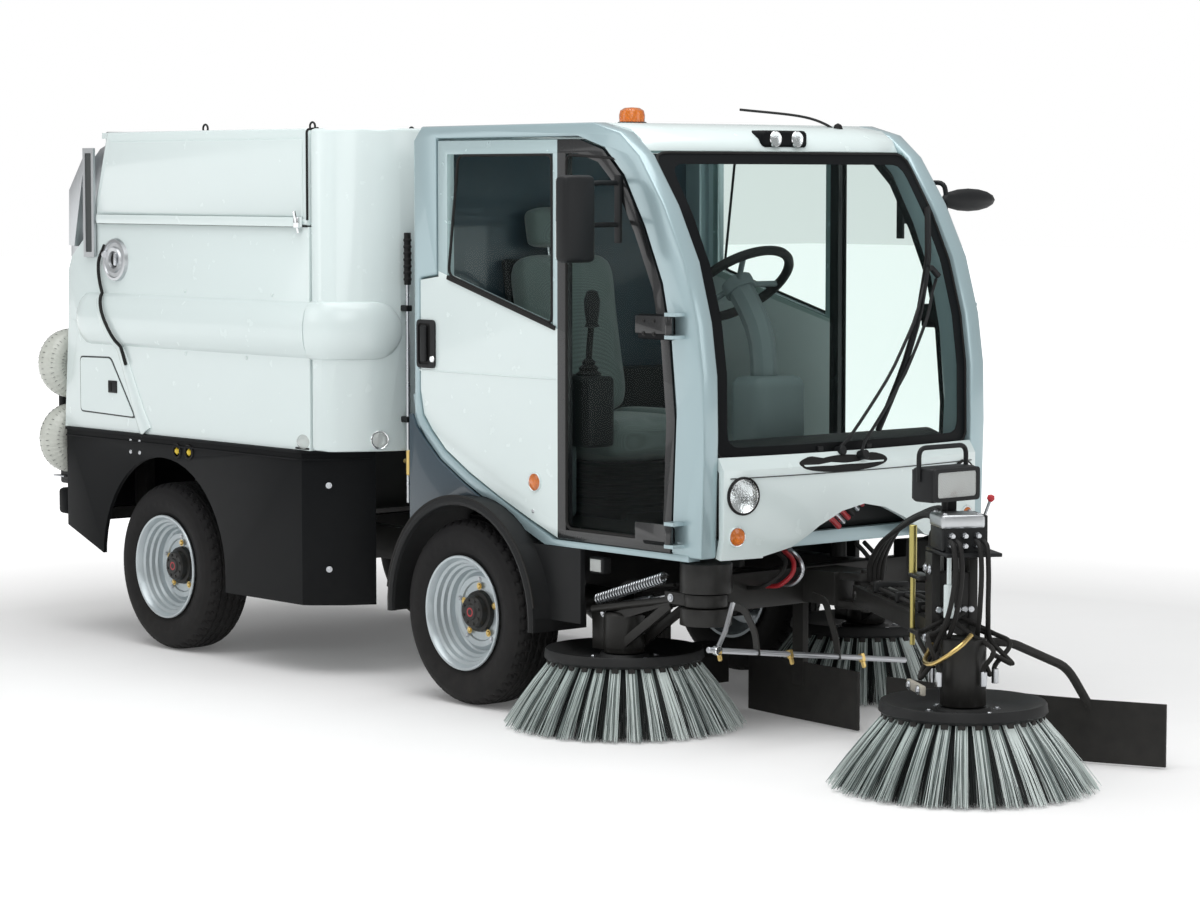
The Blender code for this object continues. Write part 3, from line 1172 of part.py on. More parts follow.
cab_frame()
cab_roof()
windscreen()
nose_panel()
cab_tub()
rear_wall()
for side, label in ((-1, "right"), (1, "left")):
    door(side, label)
    mirror(side, label)
    fender(side, label)


# Inside the cab

SEAT_Y = -0.100
SEAT_X = 0.060


def seat():
    z = CAB_FLOOR_Z + 0.030 + GAP
    base = box("base", (SEAT_X - 0.18, SEAT_Y - 0.18, z), (SEAT_X + 0.20, SEAT_Y + 0.18, z + 0.22))
    cushion = box("cushion", (SEAT_X - 0.24, SEAT_Y - 0.25, z + 0.20),
                  (SEAT_X + 0.28, SEAT_Y + 0.25, z + 0.35))
    soften(cushion, 0.045, 3)
    rings = []
    for rise, push, half, depth in (
        (0.26, 0.00, 0.235, 0.13), (0.60, -0.060, 0.240, 0.12), (0.84, -0.100, 0.200, 0.10),
        (0.90, -0.110, 0.135, 0.09), (0.95, -0.115, 0.130, 0.10), (1.12, -0.120, 0.115, 0.08),
    ):
        x = SEAT_X - 0.155 + push
        rings.append([
            (x, SEAT_Y - half, z + rise), (x + depth * 0.6, SEAT_Y - half, z + rise),
            (x + depth, SEAT_Y - half * 0.7, z + rise), (x + depth, SEAT_Y + half * 0.7, z + rise),
            (x + depth * 0.6, SEAT_Y + half, z + rise), (x, SEAT_Y + half, z + rise),
        ])
    back = loft("back", rings)
    part(join(base, cushion, back), "seat", "front_chassis", "seat_fabric")


WHEEL_CENTRE = Vector((0.715, SEAT_Y, CAB_FLOOR_Z + 0.850))
STEERING_RADIUS = 0.190
STEERING_TILT = math.radians(38)


def steering():
    floor_z = CAB_FLOOR_Z + 0.030 + GAP
    axis = Vector((-math.sin(STEERING_TILT), 0, math.cos(STEERING_TILT)))
    foot = Vector((WHEEL_CENTRE.x + 0.135, SEAT_Y, floor_z))
    knee = WHEEL_CENTRE - axis * 0.20
    column = tube("column", filleted([foot, (foot.x, foot.y, foot.z + 0.30), knee,
                                      WHEEL_CENTRE - axis * 0.01], 0.10, 3), 0.045, 2)
    turn = Matrix.Translation(WHEEL_CENTRE) @ Matrix.Rotation(-STEERING_TILT, 4, "Y")
    rim = turned("rim", [
        (STEERING_RADIUS + 0.013 * math.cos(a), 0.013 * math.sin(a))
        for a in [math.radians(-60 * i) for i in range(6)]], turn, 20, ring=True)
    hub = rod("hub", WHEEL_CENTRE - axis * 0.03, WHEEL_CENTRE + axis * 0.012, 0.055)
    join(column, hub, rim)
    for angle in (90, 210, 330):
        across = turn @ Vector((STEERING_RADIUS * math.cos(math.radians(angle)),
                                STEERING_RADIUS * math.sin(math.radians(angle)), 0))
        join(column, rod("spoke", WHEEL_CENTRE, across, 0.010, 10))
    plinth = box("plinth", (foot.x - 0.11, SEAT_Y - 0.13, floor_z),
                 (foot.x + 0.09, SEAT_Y + 0.13, floor_z + 0.10), 0.02)
    join(column, plinth)
    part(column, "steering_column", "front_chassis", "black_plastic")


seat()
steering()


# Suction mouth between the side brushes and the front wheels

MOUTH_HALF = 0.300
MOUTH_REAR_X = 0.100
MOUTH_FRONT_X = 0.250
MOUTH_TOP_Z = 0.150


def suction_mouth():
    low = 0.012
    section = [(MOUTH_REAR_X, low), (MOUTH_REAR_X, MOUTH_TOP_Z - 0.03),
               (MOUTH_REAR_X + 0.04, MOUTH_TOP_Z), (MOUTH_FRONT_X - 0.04, MOUTH_TOP_Z),
               (MOUTH_FRONT_X, MOUTH_TOP_Z - 0.04), (MOUTH_FRONT_X, low)]
    mouth = prism("mouth", "XZ", section, -MOUTH_HALF, MOUTH_HALF)
    hollow = [(MOUTH_REAR_X + 0.015, low - 0.1), (MOUTH_REAR_X + 0.015, MOUTH_TOP_Z - 0.04),
              (MOUTH_FRONT_X - 0.015, MOUTH_TOP_Z - 0.04), (MOUTH_FRONT_X - 0.015, low - 0.1)]
    cut(mouth, prism("hollow", "XZ", hollow, -MOUTH_HALF + 0.015, MOUTH_HALF - 0.015))
    middle = (MOUTH_REAR_X + MOUTH_FRONT_X) / 2
    pipe_z = FRAME_HIGH_Z - 0.008
    climb_x = CAB_REAR_X - 0.025
    path = filleted([
        (middle, 0, MOUTH_TOP_Z - 0.01), (middle, 0, pipe_z), (climb_x, 0, pipe_z),
        (climb_x - 0.130, 0, SWIVEL_Z - SWIVEL_DEPTH * 0.60),
        (PIVOT_X, 0, SWIVEL_Z - SWIVEL_DEPTH * 0.45)], 0.12, 5)
    pipe = tube("pipe", path, PIPE_RADIUS - 0.008, 3)
    collar = rod("collar", (PIVOT_X, 0, SWIVEL_Z - SWIVEL_DEPTH), (PIVOT_X, 0, SWIVEL_Z),
                 SWIVEL_RADIUS, 20)
    join(mouth, pipe, collar)
    part(mouth, "suction_mouth", "front_chassis", "rubber")


def guide_flap():
    path = [(0.707, -0.038), (0.90, -0.062), (FRONT_CROSS_X + 0.30, -0.095)]
    flap = prism("flap", "XY", thick_path(path, 0.012), 0.006, 0.200)
    hanger = box("hanger", (FRONT_CROSS_X - 0.025, -0.075, 0.12),
                 (FRONT_CROSS_X + 0.025, -0.050, FRAME_LOW_Z - GAP))
    join(flap, hanger)
    part(flap, "guide_flap", "front_chassis", "rubber")


suction_mouth()
guide_flap()


# Brushes and their arms

MOTOR_RADIUS = 0.068
DISC_THICKNESS = 0.030
MOTOR_LOW_Z = BRUSH_DISC_Z + DISC_THICKNESS + 0.012 + GAP


def brush(name, body_name, x, y, disc_radius, ground_radius):
    top = BRUSH_DISC_Z + DISC_THICKNESS
    profile = [
        (0, top + 0.012), (0.080, top + 0.012), (0.085, top), (disc_radius * 0.72, top - 0.004),
        (disc_radius - 0.008, top + 0.022), (disc_radius + 0.004, top + 0.020),
        (disc_radius + 0.012, BRUSH_DISC_Z - 0.010),
        (ground_radius, BRISTLE_GROUND_GAP + 0.010), (ground_radius - 0.015, BRISTLE_GROUND_GAP),
        (ground_radius - 0.085, BRISTLE_GROUND_GAP), (disc_radius - 0.060, BRUSH_DISC_Z - 0.010),
        (0, BRUSH_DISC_Z - 0.010),
    ]
    shape = turned("brush", profile, upright(x, y), 32)
    part(shape, name, body_name, "bristle")


def side_arm(side, label):
    x, y = SIDE_ARM_PIVOT_X, side * SIDE_ARM_PIVOT_Y
    name = "side_arm_" + label
    eye = rod("eye", (x, y, BOOM_Z - 0.020), (x, y, BOOM_Z + 0.020), POST_RADIUS * 0.85)
    outer_x, plate_x = x - 0.140, SIDE_BRUSH_X + 0.010
    half = (side * (SIDE_BRUSH_Y - 0.046), side * (SIDE_BRUSH_Y + 0.046))
    root = box("root", (outer_x, min(half), BOOM_Z - 0.019), (x - 0.020, max(half), BOOM_Z + 0.019))
    links = []
    for start_z, end in ((BOOM_Z + 0.006, (plate_x - 0.045, BOOM_Z - 0.085)),
                         (BOOM_Z - 0.010, (plate_x + 0.010, BOOM_Z - 0.172))):
        line = [(outer_x + 0.012, start_z), end]
        for link_y in half:
            low = min(link_y, link_y - math.copysign(0.012, link_y * side) * side)
            links.append(prism("link", "XZ", thick_path(line, 0.030), low, low + 0.012))
    cheek = [(plate_x - 0.120, BOOM_Z - 0.075), (plate_x - 0.060, BOOM_Z - 0.055),
             (plate_x - 0.010, BOOM_Z - 0.110), (plate_x + 0.045, BOOM_Z - 0.175),
             (plate_x + 0.040, MOTOR_LOW_Z + 0.004), (plate_x - 0.118, MOTOR_LOW_Z + 0.004)]
    plate = prism("cheek", "XZ", cheek, min(half), max(half))
    motor = rod("motor", (SIDE_BRUSH_X, side * SIDE_BRUSH_Y, MOTOR_LOW_Z),
                (SIDE_BRUSH_X, side * SIDE_BRUSH_Y, BOOM_Z - 0.110), MOTOR_RADIUS)
    cylinder = rod("cylinder", (x - 0.060, side * (SIDE_BRUSH_Y + 0.030), BOOM_Z + 0.002),
                   (plate_x - 0.095, side * (SIDE_BRUSH_Y + 0.062), BOOM_Z - 0.070), 0.013, 12)
    bore = rod("bore", (x, y, 0), (x, y, 1), 0.0146, 16)
    join(eye, root, *links, plate, motor, cylinder)
    cut(eye, bore)
    part(eye, name, name, "chassis_black")
    brush("side_brush_" + label, "side_brush_" + label, SIDE_BRUSH_X, side * SIDE_BRUSH_Y,
          SIDE_DISC_RADIUS, SIDE_BRUSH_RADIUS)


for side, label in ((-1, "right"), (1, "left")):
    side_arm(side, label)


# Front boom

HEAD_TOP_Z = 0.690
LAMP_Z = HEAD_TOP_Z + 0.205


def along_boom(distance, aside, z):
    """A point at a distance along the boom from its swing axis, and to the left of it."""
    across = Vector((-BOOM_DIRECTION.y, BOOM_DIRECTION.x, 0))
    point = Vector((BOOM_PIVOT_X, 0, 0)) + BOOM_DIRECTION * distance + across * aside
    return (point.x, point.y, z)


BAR_REACH = 0.080
TIE_Z = BOOM_Z - 0.041
BOOM_LENGTH = math.hypot(BOOM_HEAD_X - BOOM_PIVOT_X, BOOM_HEAD_Y)
LIFT_DISTANCE = math.hypot(BOOM_LIFT_X - BOOM_PIVOT_X, BOOM_LIFT_Y)


def boom_base():
    x, y, z = BOOM_PIVOT_X, 0, BOOM_Z
    eye = rod("eye", (x, y, z - 0.034), (x, y, z + 0.034), 0.040)
    neck = rod("neck", along_boom(0.0, 0, z), along_boom(LIFT_DISTANCE - 0.012, 0, z), 0.024, 12)
    barrel = rod("barrel", along_boom(LIFT_DISTANCE, -0.035, z), along_boom(LIFT_DISTANCE, 0.035, z),
                 0.030)
    join(eye, neck, barrel)
    cut(eye, rod("swing_bore", (x, y, 0), (x, y, 1), 0.0186, 16))
    cut(eye, rod("lift_bore", along_boom(LIFT_DISTANCE, -1, z), along_boom(LIFT_DISTANCE, 1, z),
                 0.0146, 16))
    part(eye, "boom_base", "boom_base", "chassis_black")


def along_box(name, start, end, aside, half_width, low, high):
    """A straight bar along the boom between two distances, with upright sides."""
    corners = [along_boom(start, aside - half_width, 0), along_boom(end, aside - half_width, 0),
               along_boom(end, aside + half_width, 0), along_boom(start, aside + half_width, 0)]
    return prism(name, "XY", [(x, y) for x, y, _ in corners], low, high)


def boom():
    z = BOOM_Z
    pin = rod("pin", along_boom(LIFT_DISTANCE, -0.075, z), along_boom(LIFT_DISTANCE, 0.075, z),
              0.0142, 16)
    tower = BOOM_LENGTH - 0.130
    for aside in (-0.058, 0.058):
        join(pin, along_box("arm", LIFT_DISTANCE - 0.030, tower, aside, 0.011, z - 0.030, z + 0.030))
        join(pin, along_box("post", tower - 0.035, tower + 0.035, aside, 0.013, z - 0.070, HEAD_TOP_Z))
    join(pin, along_box("web", tower - 0.030, tower + 0.030, 0, 0.060, z + 0.020, HEAD_TOP_Z - 0.060))
    join(pin, along_box("head", tower - 0.030, BOOM_LENGTH + 0.020, 0, 0.052, z - 0.062, z - 0.020))
    motor = rod("motor", (FRONT_BRUSH_X, FRONT_BRUSH_Y, MOTOR_LOW_Z),
                (FRONT_BRUSH_X, FRONT_BRUSH_Y, z - 0.010), MOTOR_RADIUS)
    tie = rod("tie", along_boom(tower, 0, TIE_Z), along_boom(tower, BAR_REACH, TIE_Z), 0.018, 12)
    join(pin, motor, tie)
    part(pin, "boom", "boom", "chassis_black")
    brush("front_brush", "front_brush", FRONT_BRUSH_X, FRONT_BRUSH_Y,
          FRONT_DISC_RADIUS, FRONT_BRUSH_RADIUS)


def head_boxes():
    """The valve box on its shelf at the top of the tower, and the work lamp above it."""
    tower = BOOM_LENGTH - 0.130
    shelf = along_box("shelf", tower - 0.060, tower + 0.170, 0.020, 0.085,
                      HEAD_TOP_Z + GAP, HEAD_TOP_Z + 0.012)
    valve = along_box("valve", tower - 0.010, tower + 0.120, 0.010, 0.065,
                      HEAD_TOP_Z + 0.010, HEAD_TOP_Z + 0.120)
    stem = along_box("stem", tower - 0.045, tower - 0.020, 0, 0.020,
                     HEAD_TOP_Z + 0.010, HEAD_TOP_Z + 0.180)
    x, y, _ = along_boom(tower - 0.010, -0.020, 0)
    lamp = box("lamp", (x - 0.045, y - 0.100, LAMP_Z - 0.052), (x + 0.045, y + 0.100, LAMP_Z + 0.052))
    soften(lamp, 0.012, 2)
    part(join(shelf, valve, stem, lamp), "work_lamp", "boom", "black_plastic")


def deflector():
    path = [(1.42, -0.100), (1.75, -0.070), (2.00, -0.020), (2.17, 0.036), (2.385, 0.131)]
    plate = prism("plate", "XY", thick_path(path, 0.012), 0.006, 0.200)
    bar = tube("bar", filleted([
        (FRONT_BRUSH_X - 0.02, 0.045, 0.170), (FRONT_BRUSH_X - 0.06, -0.02, 0.30),
        along_boom(BOOM_LENGTH - 0.130, BAR_REACH + 0.10, TIE_Z),
        along_boom(BOOM_LENGTH - 0.130, BAR_REACH + GAP, TIE_Z)], 0.05, 4), 0.014, 2)
    join(plate, bar)
    part(plate, "deflector_plate", "boom", "rubber")


boom_base()
boom()
head_boxes()
deflector()


# The vehicle is centred along its length

ROOT = BODIES["rear_chassis"]["empty"]
ROOT.location.x = -LENGTH_CENTRE_X
for tool in TOOLS.objects:
    tool.hide_render = True
    tool.display_type = "WIRE"
    if tool.parent is None:
        tool.parent = ROOT
TOOLS.hide_render = True
bpy.context.view_layer.update()
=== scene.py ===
"""Looks of a compact articulated street sweeper, dressed over its fixed frame.

Lengths along X are written from the front axle, and each piece is moved to the frame's
own origin when its mesh is made. +X points forward, +Y to the left and +Z up, in metres.
"""

from __future__ import annotations

import logging
import math
from collections.abc import Sequence
from dataclasses import dataclass
from enum import Enum

import bmesh
import bpy
import numpy as np
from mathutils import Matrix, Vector
from mathutils.bvhtree import BVHTree
from mathutils.geometry import tessellate_polygon


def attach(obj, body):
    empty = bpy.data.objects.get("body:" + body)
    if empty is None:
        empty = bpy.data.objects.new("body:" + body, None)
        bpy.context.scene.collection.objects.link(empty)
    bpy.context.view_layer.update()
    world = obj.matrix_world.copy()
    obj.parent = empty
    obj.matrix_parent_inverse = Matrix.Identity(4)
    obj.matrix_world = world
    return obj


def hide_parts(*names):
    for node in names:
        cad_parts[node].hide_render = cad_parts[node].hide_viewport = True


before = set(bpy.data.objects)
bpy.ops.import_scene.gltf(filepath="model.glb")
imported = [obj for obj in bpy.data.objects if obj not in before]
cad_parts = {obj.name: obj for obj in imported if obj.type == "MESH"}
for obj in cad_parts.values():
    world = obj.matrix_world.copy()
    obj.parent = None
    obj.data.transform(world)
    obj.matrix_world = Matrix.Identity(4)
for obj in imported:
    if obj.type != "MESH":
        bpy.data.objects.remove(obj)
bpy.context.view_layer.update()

LOG = logging.getLogger("sweeper")
AXLE_X = 0.039
WHEELBASE = 1.828
WELD_REACH = 0.00005
EVEN_ANGLE = math.radians(30)
BEVEL_ANGLE = math.radians(40)


class Side(Enum):
    """The two sides of the vehicle."""

    RIGHT = -1
    LEFT = 1

    @property
    def label(self) -> str:
        """The word used in body and node names."""
        return self.name.lower()


class Plane(Enum):
    """The plane that a flat outline is drawn in, by its two axes."""

    XY = (0, 1, 2)
    XZ = (0, 2, 1)
    YZ = (1, 2, 0)


# Surfaces worked out on grids


@dataclass(frozen=True)
class Patch:
    """A surface as points with four-cornered and three-cornered faces."""

    points: np.ndarray
    quads: np.ndarray
    tris: np.ndarray

    def moved(self, offset: Sequence[float]) -> Patch:
        """The same surface shifted by an offset."""
        return Patch(self.points + np.asarray(offset, float), self.quads, self.tris)

    def mirrored(self) -> Patch:
        """The same surface on the vehicle's other side, by turning the sign of Y."""
        return Patch(self.points * (1, -1, 1), self.quads, self.tris)


def unit(vectors: np.ndarray) -> np.ndarray:
    """Vectors brought to a length of one.

    Args:
        vectors: one vector, or rows of them.

    Returns:
        The same directions with length one.
    """
    vectors = np.asarray(vectors, float)
    return vectors / np.maximum(np.linalg.norm(vectors, axis=-1, keepdims=True), 1e-12)


def together(patches: Sequence[Patch]) -> Patch:
    """Several surfaces as one.

    Args:
        patches: the surfaces.

    Returns:
        One surface whose face numbers are counted on from patch to patch.
    """
    starts = np.cumsum([0] + [len(patch.points) for patch in patches[:-1]])
    return Patch(
        np.vstack([patch.points for patch in patches]),
        np.vstack([patch.quads + start for patch, start in zip(patches, starts)]),
        np.vstack([patch.tris + start for patch, start in zip(patches, starts)]),
    )


def net(
    points: np.ndarray, wrap_rows: bool = False, wrap_columns: bool = False,
    close_start: bool = False, close_end: bool = False,
) -> Patch:
    """Faces laid over a grid of points.

    Args:
        points: an array of rows by columns by three.
        wrap_rows: joins the last row to the first.
        wrap_columns: joins the last column to the first.
        close_start: fans the first row to its middle.
        close_end: fans the last row to its middle.

    Returns:
        The surface.
    """
    rows, columns = points.shape[:2]
    index = np.arange(rows * columns).reshape(rows, columns)
    if wrap_rows:
        index = np.vstack([index, index[:1]])
    if wrap_columns:
        index = np.hstack([index, index[:, :1]])
    quads = np.stack([index[:-1, :-1], index[:-1, 1:], index[1:, 1:], index[1:, :-1]], axis=-1)
    flat = points.reshape(-1, 3)
    tris = np.empty((0, 3), int)
    for row, wanted in ((0, close_start), (-1, close_end)):
        if not wanted:
            continue
        ring = index[row]
        hub = np.full(len(ring) - 1, len(flat))
        flat = np.vstack([flat, points[row].mean(axis=0)])
        tris = np.vstack([tris, np.stack([ring[:-1], ring[1:], hub], axis=-1)])
    return Patch(flat, quads.reshape(-1, 4), tris)


def ring_section(radius: float, sides: int = 12) -> np.ndarray:
    """The points (r cos a, r sin a) of a round section.

    Args:
        radius: r.
        sides: how many points a full turn has.

    Returns:
        An array of points by two.
    """
    turn = np.linspace(0, 2 * np.pi, sides, endpoint=False)
    return radius * np.stack([np.cos(turn), np.sin(turn)], axis=-1)


def bar_section(width: float, height: float) -> np.ndarray:
    """The four corners of an upright rectangle about the origin."""
    return np.array([(-1, -1), (1, -1), (1, 1), (-1, 1)]) * (width / 2, height / 2)


def swept(
    path: Sequence, section: np.ndarray, closed: bool = False, scale: np.ndarray | None = None,
) -> Patch:
    """A section carried along a path.

    Point (i, j) is path i + s_i (section j across * side i + section j up * rise i). The
    side is square to the path and to the direction in which the path varies least, and the
    rise is square to both, so that the section doesn't twist.

    Args:
        path: points along the middle.
        section: the flat ring that is carried, as points by two.
        closed: whether the path's end meets its start.
        scale: s, one number for each point of the path.

    Returns:
        The surface, capped unless the path is closed.
    """
    path = np.asarray(path, float)
    if closed:
        ahead = np.roll(path, -1, axis=0) - np.roll(path, 1, axis=0)
    else:
        ahead = np.gradient(path, axis=0)
    tangent = unit(ahead)
    still = np.linalg.svd(path - path.mean(axis=0), full_matrices=True)[2][-1]
    side = unit(np.cross(still, tangent))
    rise = np.cross(tangent, side)
    sizes = np.ones(len(path)) if scale is None else np.asarray(scale, float)
    spread = section[None, :, :1] * side[:, None] + section[None, :, 1:] * rise[:, None]
    points = path[:, None] + sizes[:, None, None] * spread
    return net(points, closed, True, not closed, not closed)


def pipe(path: Sequence, radius: float, sides: int = 12, closed: bool = False) -> Patch:
    """A round bar or hose along a path."""
    return swept(path, ring_section(radius, sides), closed)


def bent(corners: Sequence, radius: float, steps: int = 6) -> np.ndarray:
    """A path of straight runs whose corners are short curves.

    At a corner c the curve is a (1-t)^2 + 2 c t (1-t) + b t^2, where a and b lie on its two
    runs at the radius from it, or halfway along a short run.

    Args:
        corners: the path's ends and corners.
        radius: how far from a corner its curve begins.
        steps: how many pieces a curve has.

    Returns:
        The points of the path.
    """
    corners = np.asarray(corners, float)
    before, at, after = corners[:-2], corners[1:-1], corners[2:]
    back, on = before - at, after - at
    back_reach = np.minimum(radius, np.linalg.norm(back, axis=1, keepdims=True) / 2)
    on_reach = np.minimum(radius, np.linalg.norm(on, axis=1, keepdims=True) / 2)
    start, end = at + unit(back) * back_reach, at + unit(on) * on_reach
    t = np.linspace(0, 1, steps + 1)[None, :, None]
    curves = start[:, None] * (1 - t) ** 2 + at[:, None] * 2 * t * (1 - t) + end[:, None] * t * t
    return np.vstack([corners[:1], curves.reshape(-1, 3), corners[-1:]])


def smooth(knots: Sequence, per_span: int = 8, closed: bool = False) -> np.ndarray:
    """A Catmull-Rom curve: each span bends so that its ends run along their neighbours' line.

    Args:
        knots: the points that the curve passes through.
        per_span: how many points lie between two knots.
        closed: whether the curve comes back to its start.

    Returns:
        The points of the curve.
    """
    knots = np.asarray(knots, float)
    if closed:
        held = np.vstack([knots[-1:], knots, knots[:2]])
    else:
        held = np.vstack([2 * knots[:1] - knots[1:2], knots, 2 * knots[-1:] - knots[-2:-1]])
    a, b, c, d = (held[i:len(held) - 3 + i][:, None] for i in range(4))
    t = np.linspace(0, 1, per_span, endpoint=False)[None, :, None]
    spans = 0.5 * (2 * b + (c - a) * t + (2 * a - 5 * b + 4 * c - d) * t**2
                   + (3 * b - a - 3 * c + d) * t**3)
    curve = spans.reshape(-1, knots.shape[1])
    return curve if closed else np.vstack([curve, knots[-1:]])


def block(low: Sequence[float], high: Sequence[float], radius: float = 0.004) -> Patch:
    """A box with round edges.

    It is a ball of the edge radius, cut in eight along its middle planes, whose eighths are
    moved out to the corners of the box that is smaller by the radius.

    Args:
        low: the lowest corner.
        high: the highest corner.
        radius: the edge radius.

    Returns:
        The surface.
    """
    low, high = np.minimum(low, high).astype(float), np.maximum(low, high).astype(float)
    half = (high - low) / 2
    radius = min(radius, half.min() * 0.98)
    steps = 3
    quarter = np.linspace(0, np.pi / 2, steps + 1)
    around = (quarter + np.arange(4)[:, None] * np.pi / 2).ravel()
    upward = np.concatenate([quarter - np.pi / 2, quarter])
    turn, rise = np.meshgrid(around, upward)
    ball = np.stack([np.cos(rise) * np.cos(turn), np.cos(rise) * np.sin(turn), np.sin(rise)], -1)
    corner = np.repeat(np.arange(4) * np.pi / 2 + np.pi / 4, steps + 1)
    signs = np.empty_like(ball)
    signs[..., 0] = np.sign(np.cos(corner))[None]
    signs[..., 1] = np.sign(np.sin(corner))[None]
    signs[..., 2] = np.repeat([-1, 1], steps + 1)[:, None]
    points = (low + high) / 2 + signs * (half - radius) + ball * radius
    return net(points, False, True, True, True)


def turned(
    profile: Sequence, centre: Sequence[float] = (0, 0, 0), axis: Sequence[float] = (0, 0, 1),
    sides: int = 32, ring: bool = False,
) -> Patch:
    """A profile turned about an axis: point (i, j) = centre + h_i axis + r_i around_j.

    Args:
        profile: rows of (r, h).
        centre: the axis's own zero.
        axis: its direction.
        sides: how many steps a full turn has.
        ring: whether the profile is closed on itself.

    Returns:
        The surface.
    """
    rows, axis = np.asarray(profile, float), unit(np.asarray(axis, float))
    first = unit(np.cross(axis, (0.31, 0.77, 0.56)))
    second = np.cross(axis, first)
    turn = np.linspace(0, 2 * np.pi, sides, endpoint=False)[:, None]
    around = np.cos(turn) * first + np.sin(turn) * second
    points = np.asarray(centre, float) + rows[:, 1, None, None] * axis + (
        rows[:, 0, None, None] * around[None])
    return net(points, ring, True)


def rod(start: Sequence[float], end: Sequence[float], radius: float, sides: int = 16) -> Patch:
    """A round bar with slightly broken edges from one point to another."""
    start, end = np.asarray(start, float), np.asarray(end, float)
    length = np.linalg.norm(end - start)
    edge = min(radius * 0.15, length * 0.2)
    profile = [(0, 0), (radius - edge, 0), (radius, edge), (radius, length - edge),
               (radius - edge, length), (0, length)]
    return turned(profile, start, end - start, sides)


def plate(
    outline: Sequence, plane: Plane, low: float, high: float, holes: Sequence = (),
) -> Patch:
    """A flat outline, with holes, made solid between two planes across its third axis.

    Args:
        outline: points by two, in the plane's own two axes.
        plane: the plane.
        low: where the solid begins along the third axis.
        high: where it ends.
        holes: further outlines that are left open.

    Returns:
        The closed surface.
    """
    rings = [np.asarray(ring, float) for ring in (outline, *holes)]
    flat = np.vstack(rings)
    triangles = np.array(tessellate_polygon([[Vector((*p, 0)) for p in ring] for ring in rings]))
    across, up, depth = plane.value
    points = np.empty((2, len(flat), 3))
    points[..., across], points[..., up] = flat[None, :, 0], flat[None, :, 1]
    points[0, :, depth], points[1, :, depth] = low, high
    starts = np.cumsum([0] + [len(ring) for ring in rings])
    quads = []
    for start, end in zip(starts, starts[1:]):
        here = np.arange(start, end)
        after = np.roll(here, -1)
        quads.append(np.stack([here, after, after + len(flat), here + len(flat)], axis=-1))
    tris = np.vstack([triangles, triangles[:, ::-1] + len(flat)])
    return Patch(points.reshape(-1, 3), np.vstack(quads), tris)


def rounded(corners: Sequence, radius: float, steps: int = 4) -> np.ndarray:
    """A closed flat outline whose corners are short curves, by the rule of `bent`."""
    corners = np.asarray(corners, float)
    run = np.hstack([np.vstack([corners[-1:], corners, corners[:1]]),
                     np.zeros((len(corners) + 2, 1))])
    return bent(run, radius, steps)[1:-1, :2]


def oblong(
    low: Sequence[float], high: Sequence[float], radius: float, steps: int = 4,
) -> np.ndarray:
    """The rounded outline of a flat rectangle between its lowest and its highest corner."""
    (left, bottom), (right, top) = low, high
    return rounded([(left, bottom), (right, bottom), (right, top), (left, top)], radius, steps)


def lengths(path: np.ndarray) -> np.ndarray:
    """How far along a path each of its points lies."""
    return np.concatenate([[0], np.cumsum(np.linalg.norm(np.diff(path, axis=0), axis=1))])


def points_at(path: np.ndarray, reach: np.ndarray) -> np.ndarray:
    """The points that lie at given lengths along a path."""
    known = lengths(path)
    return np.stack([np.interp(reach, known, part) for part in path.T], axis=-1)


def copies(patch: Patch, matrices: np.ndarray) -> Patch:
    """One surface repeated by placing matrices, as one array product.

    Args:
        patch: the surface.
        matrices: an array of copies by four by four.

    Returns:
        All the copies as one surface.
    """
    matrices = np.asarray(matrices, float)
    points = np.einsum("kij,nj->kni", matrices[:, :3, :3], patch.points)
    points = points + matrices[:, None, :3, 3]
    shift = (np.arange(len(matrices)) * len(patch.points))[:, None, None]
    quads = (patch.quads[None] + shift).reshape(-1, 4)
    tris = (patch.tris[None] + shift).reshape(-1, 3)
    return Patch(points.reshape(-1, 3), quads, tris)


def facing(places: Sequence, direction: Sequence[float]) -> np.ndarray:
    """Placing matrices that turn a surface's own Z to one direction at each place."""
    places = np.atleast_2d(np.asarray(places, float))
    z = unit(np.asarray(direction, float))
    x = unit(np.cross(z, (0.12, 0.35, 0.93) if abs(z[2]) < 0.9 else (0.0, 1.0, 0.1)))
    matrices = np.tile(np.eye(4), (len(places), 1, 1))
    matrices[:, :3, :3] = np.stack([x, np.cross(z, x), z], axis=-1)
    matrices[:, :3, 3] = places
    return matrices


def bolts(
    places: Sequence, direction: Sequence[float], radius: float = 0.008, washer: bool = True,
) -> Patch:
    """Hexagon heads, with a washer under each, that stand on a surface."""
    height = radius * 0.75
    head = turned([(0, height), (radius * 0.8, height), (radius, height * 0.75), (radius, 0)],
                  sides=6)
    shapes = [head]
    if washer:
        shapes.append(turned([(radius * 1.5, 0), (radius * 1.5, height * 0.2), (0, height * 0.2)],
                             sides=14))
    return copies(together(shapes), facing(places, direction))


def domes(places: Sequence, direction: Sequence[float], radius: float) -> Patch:
    """Low round rivet heads."""
    arc = np.linspace(0, np.pi / 2, 5)
    profile = np.stack([radius * np.cos(arc), radius * 0.5 * np.sin(arc)], axis=-1)
    return copies(turned(profile, sides=12), facing(places, direction))


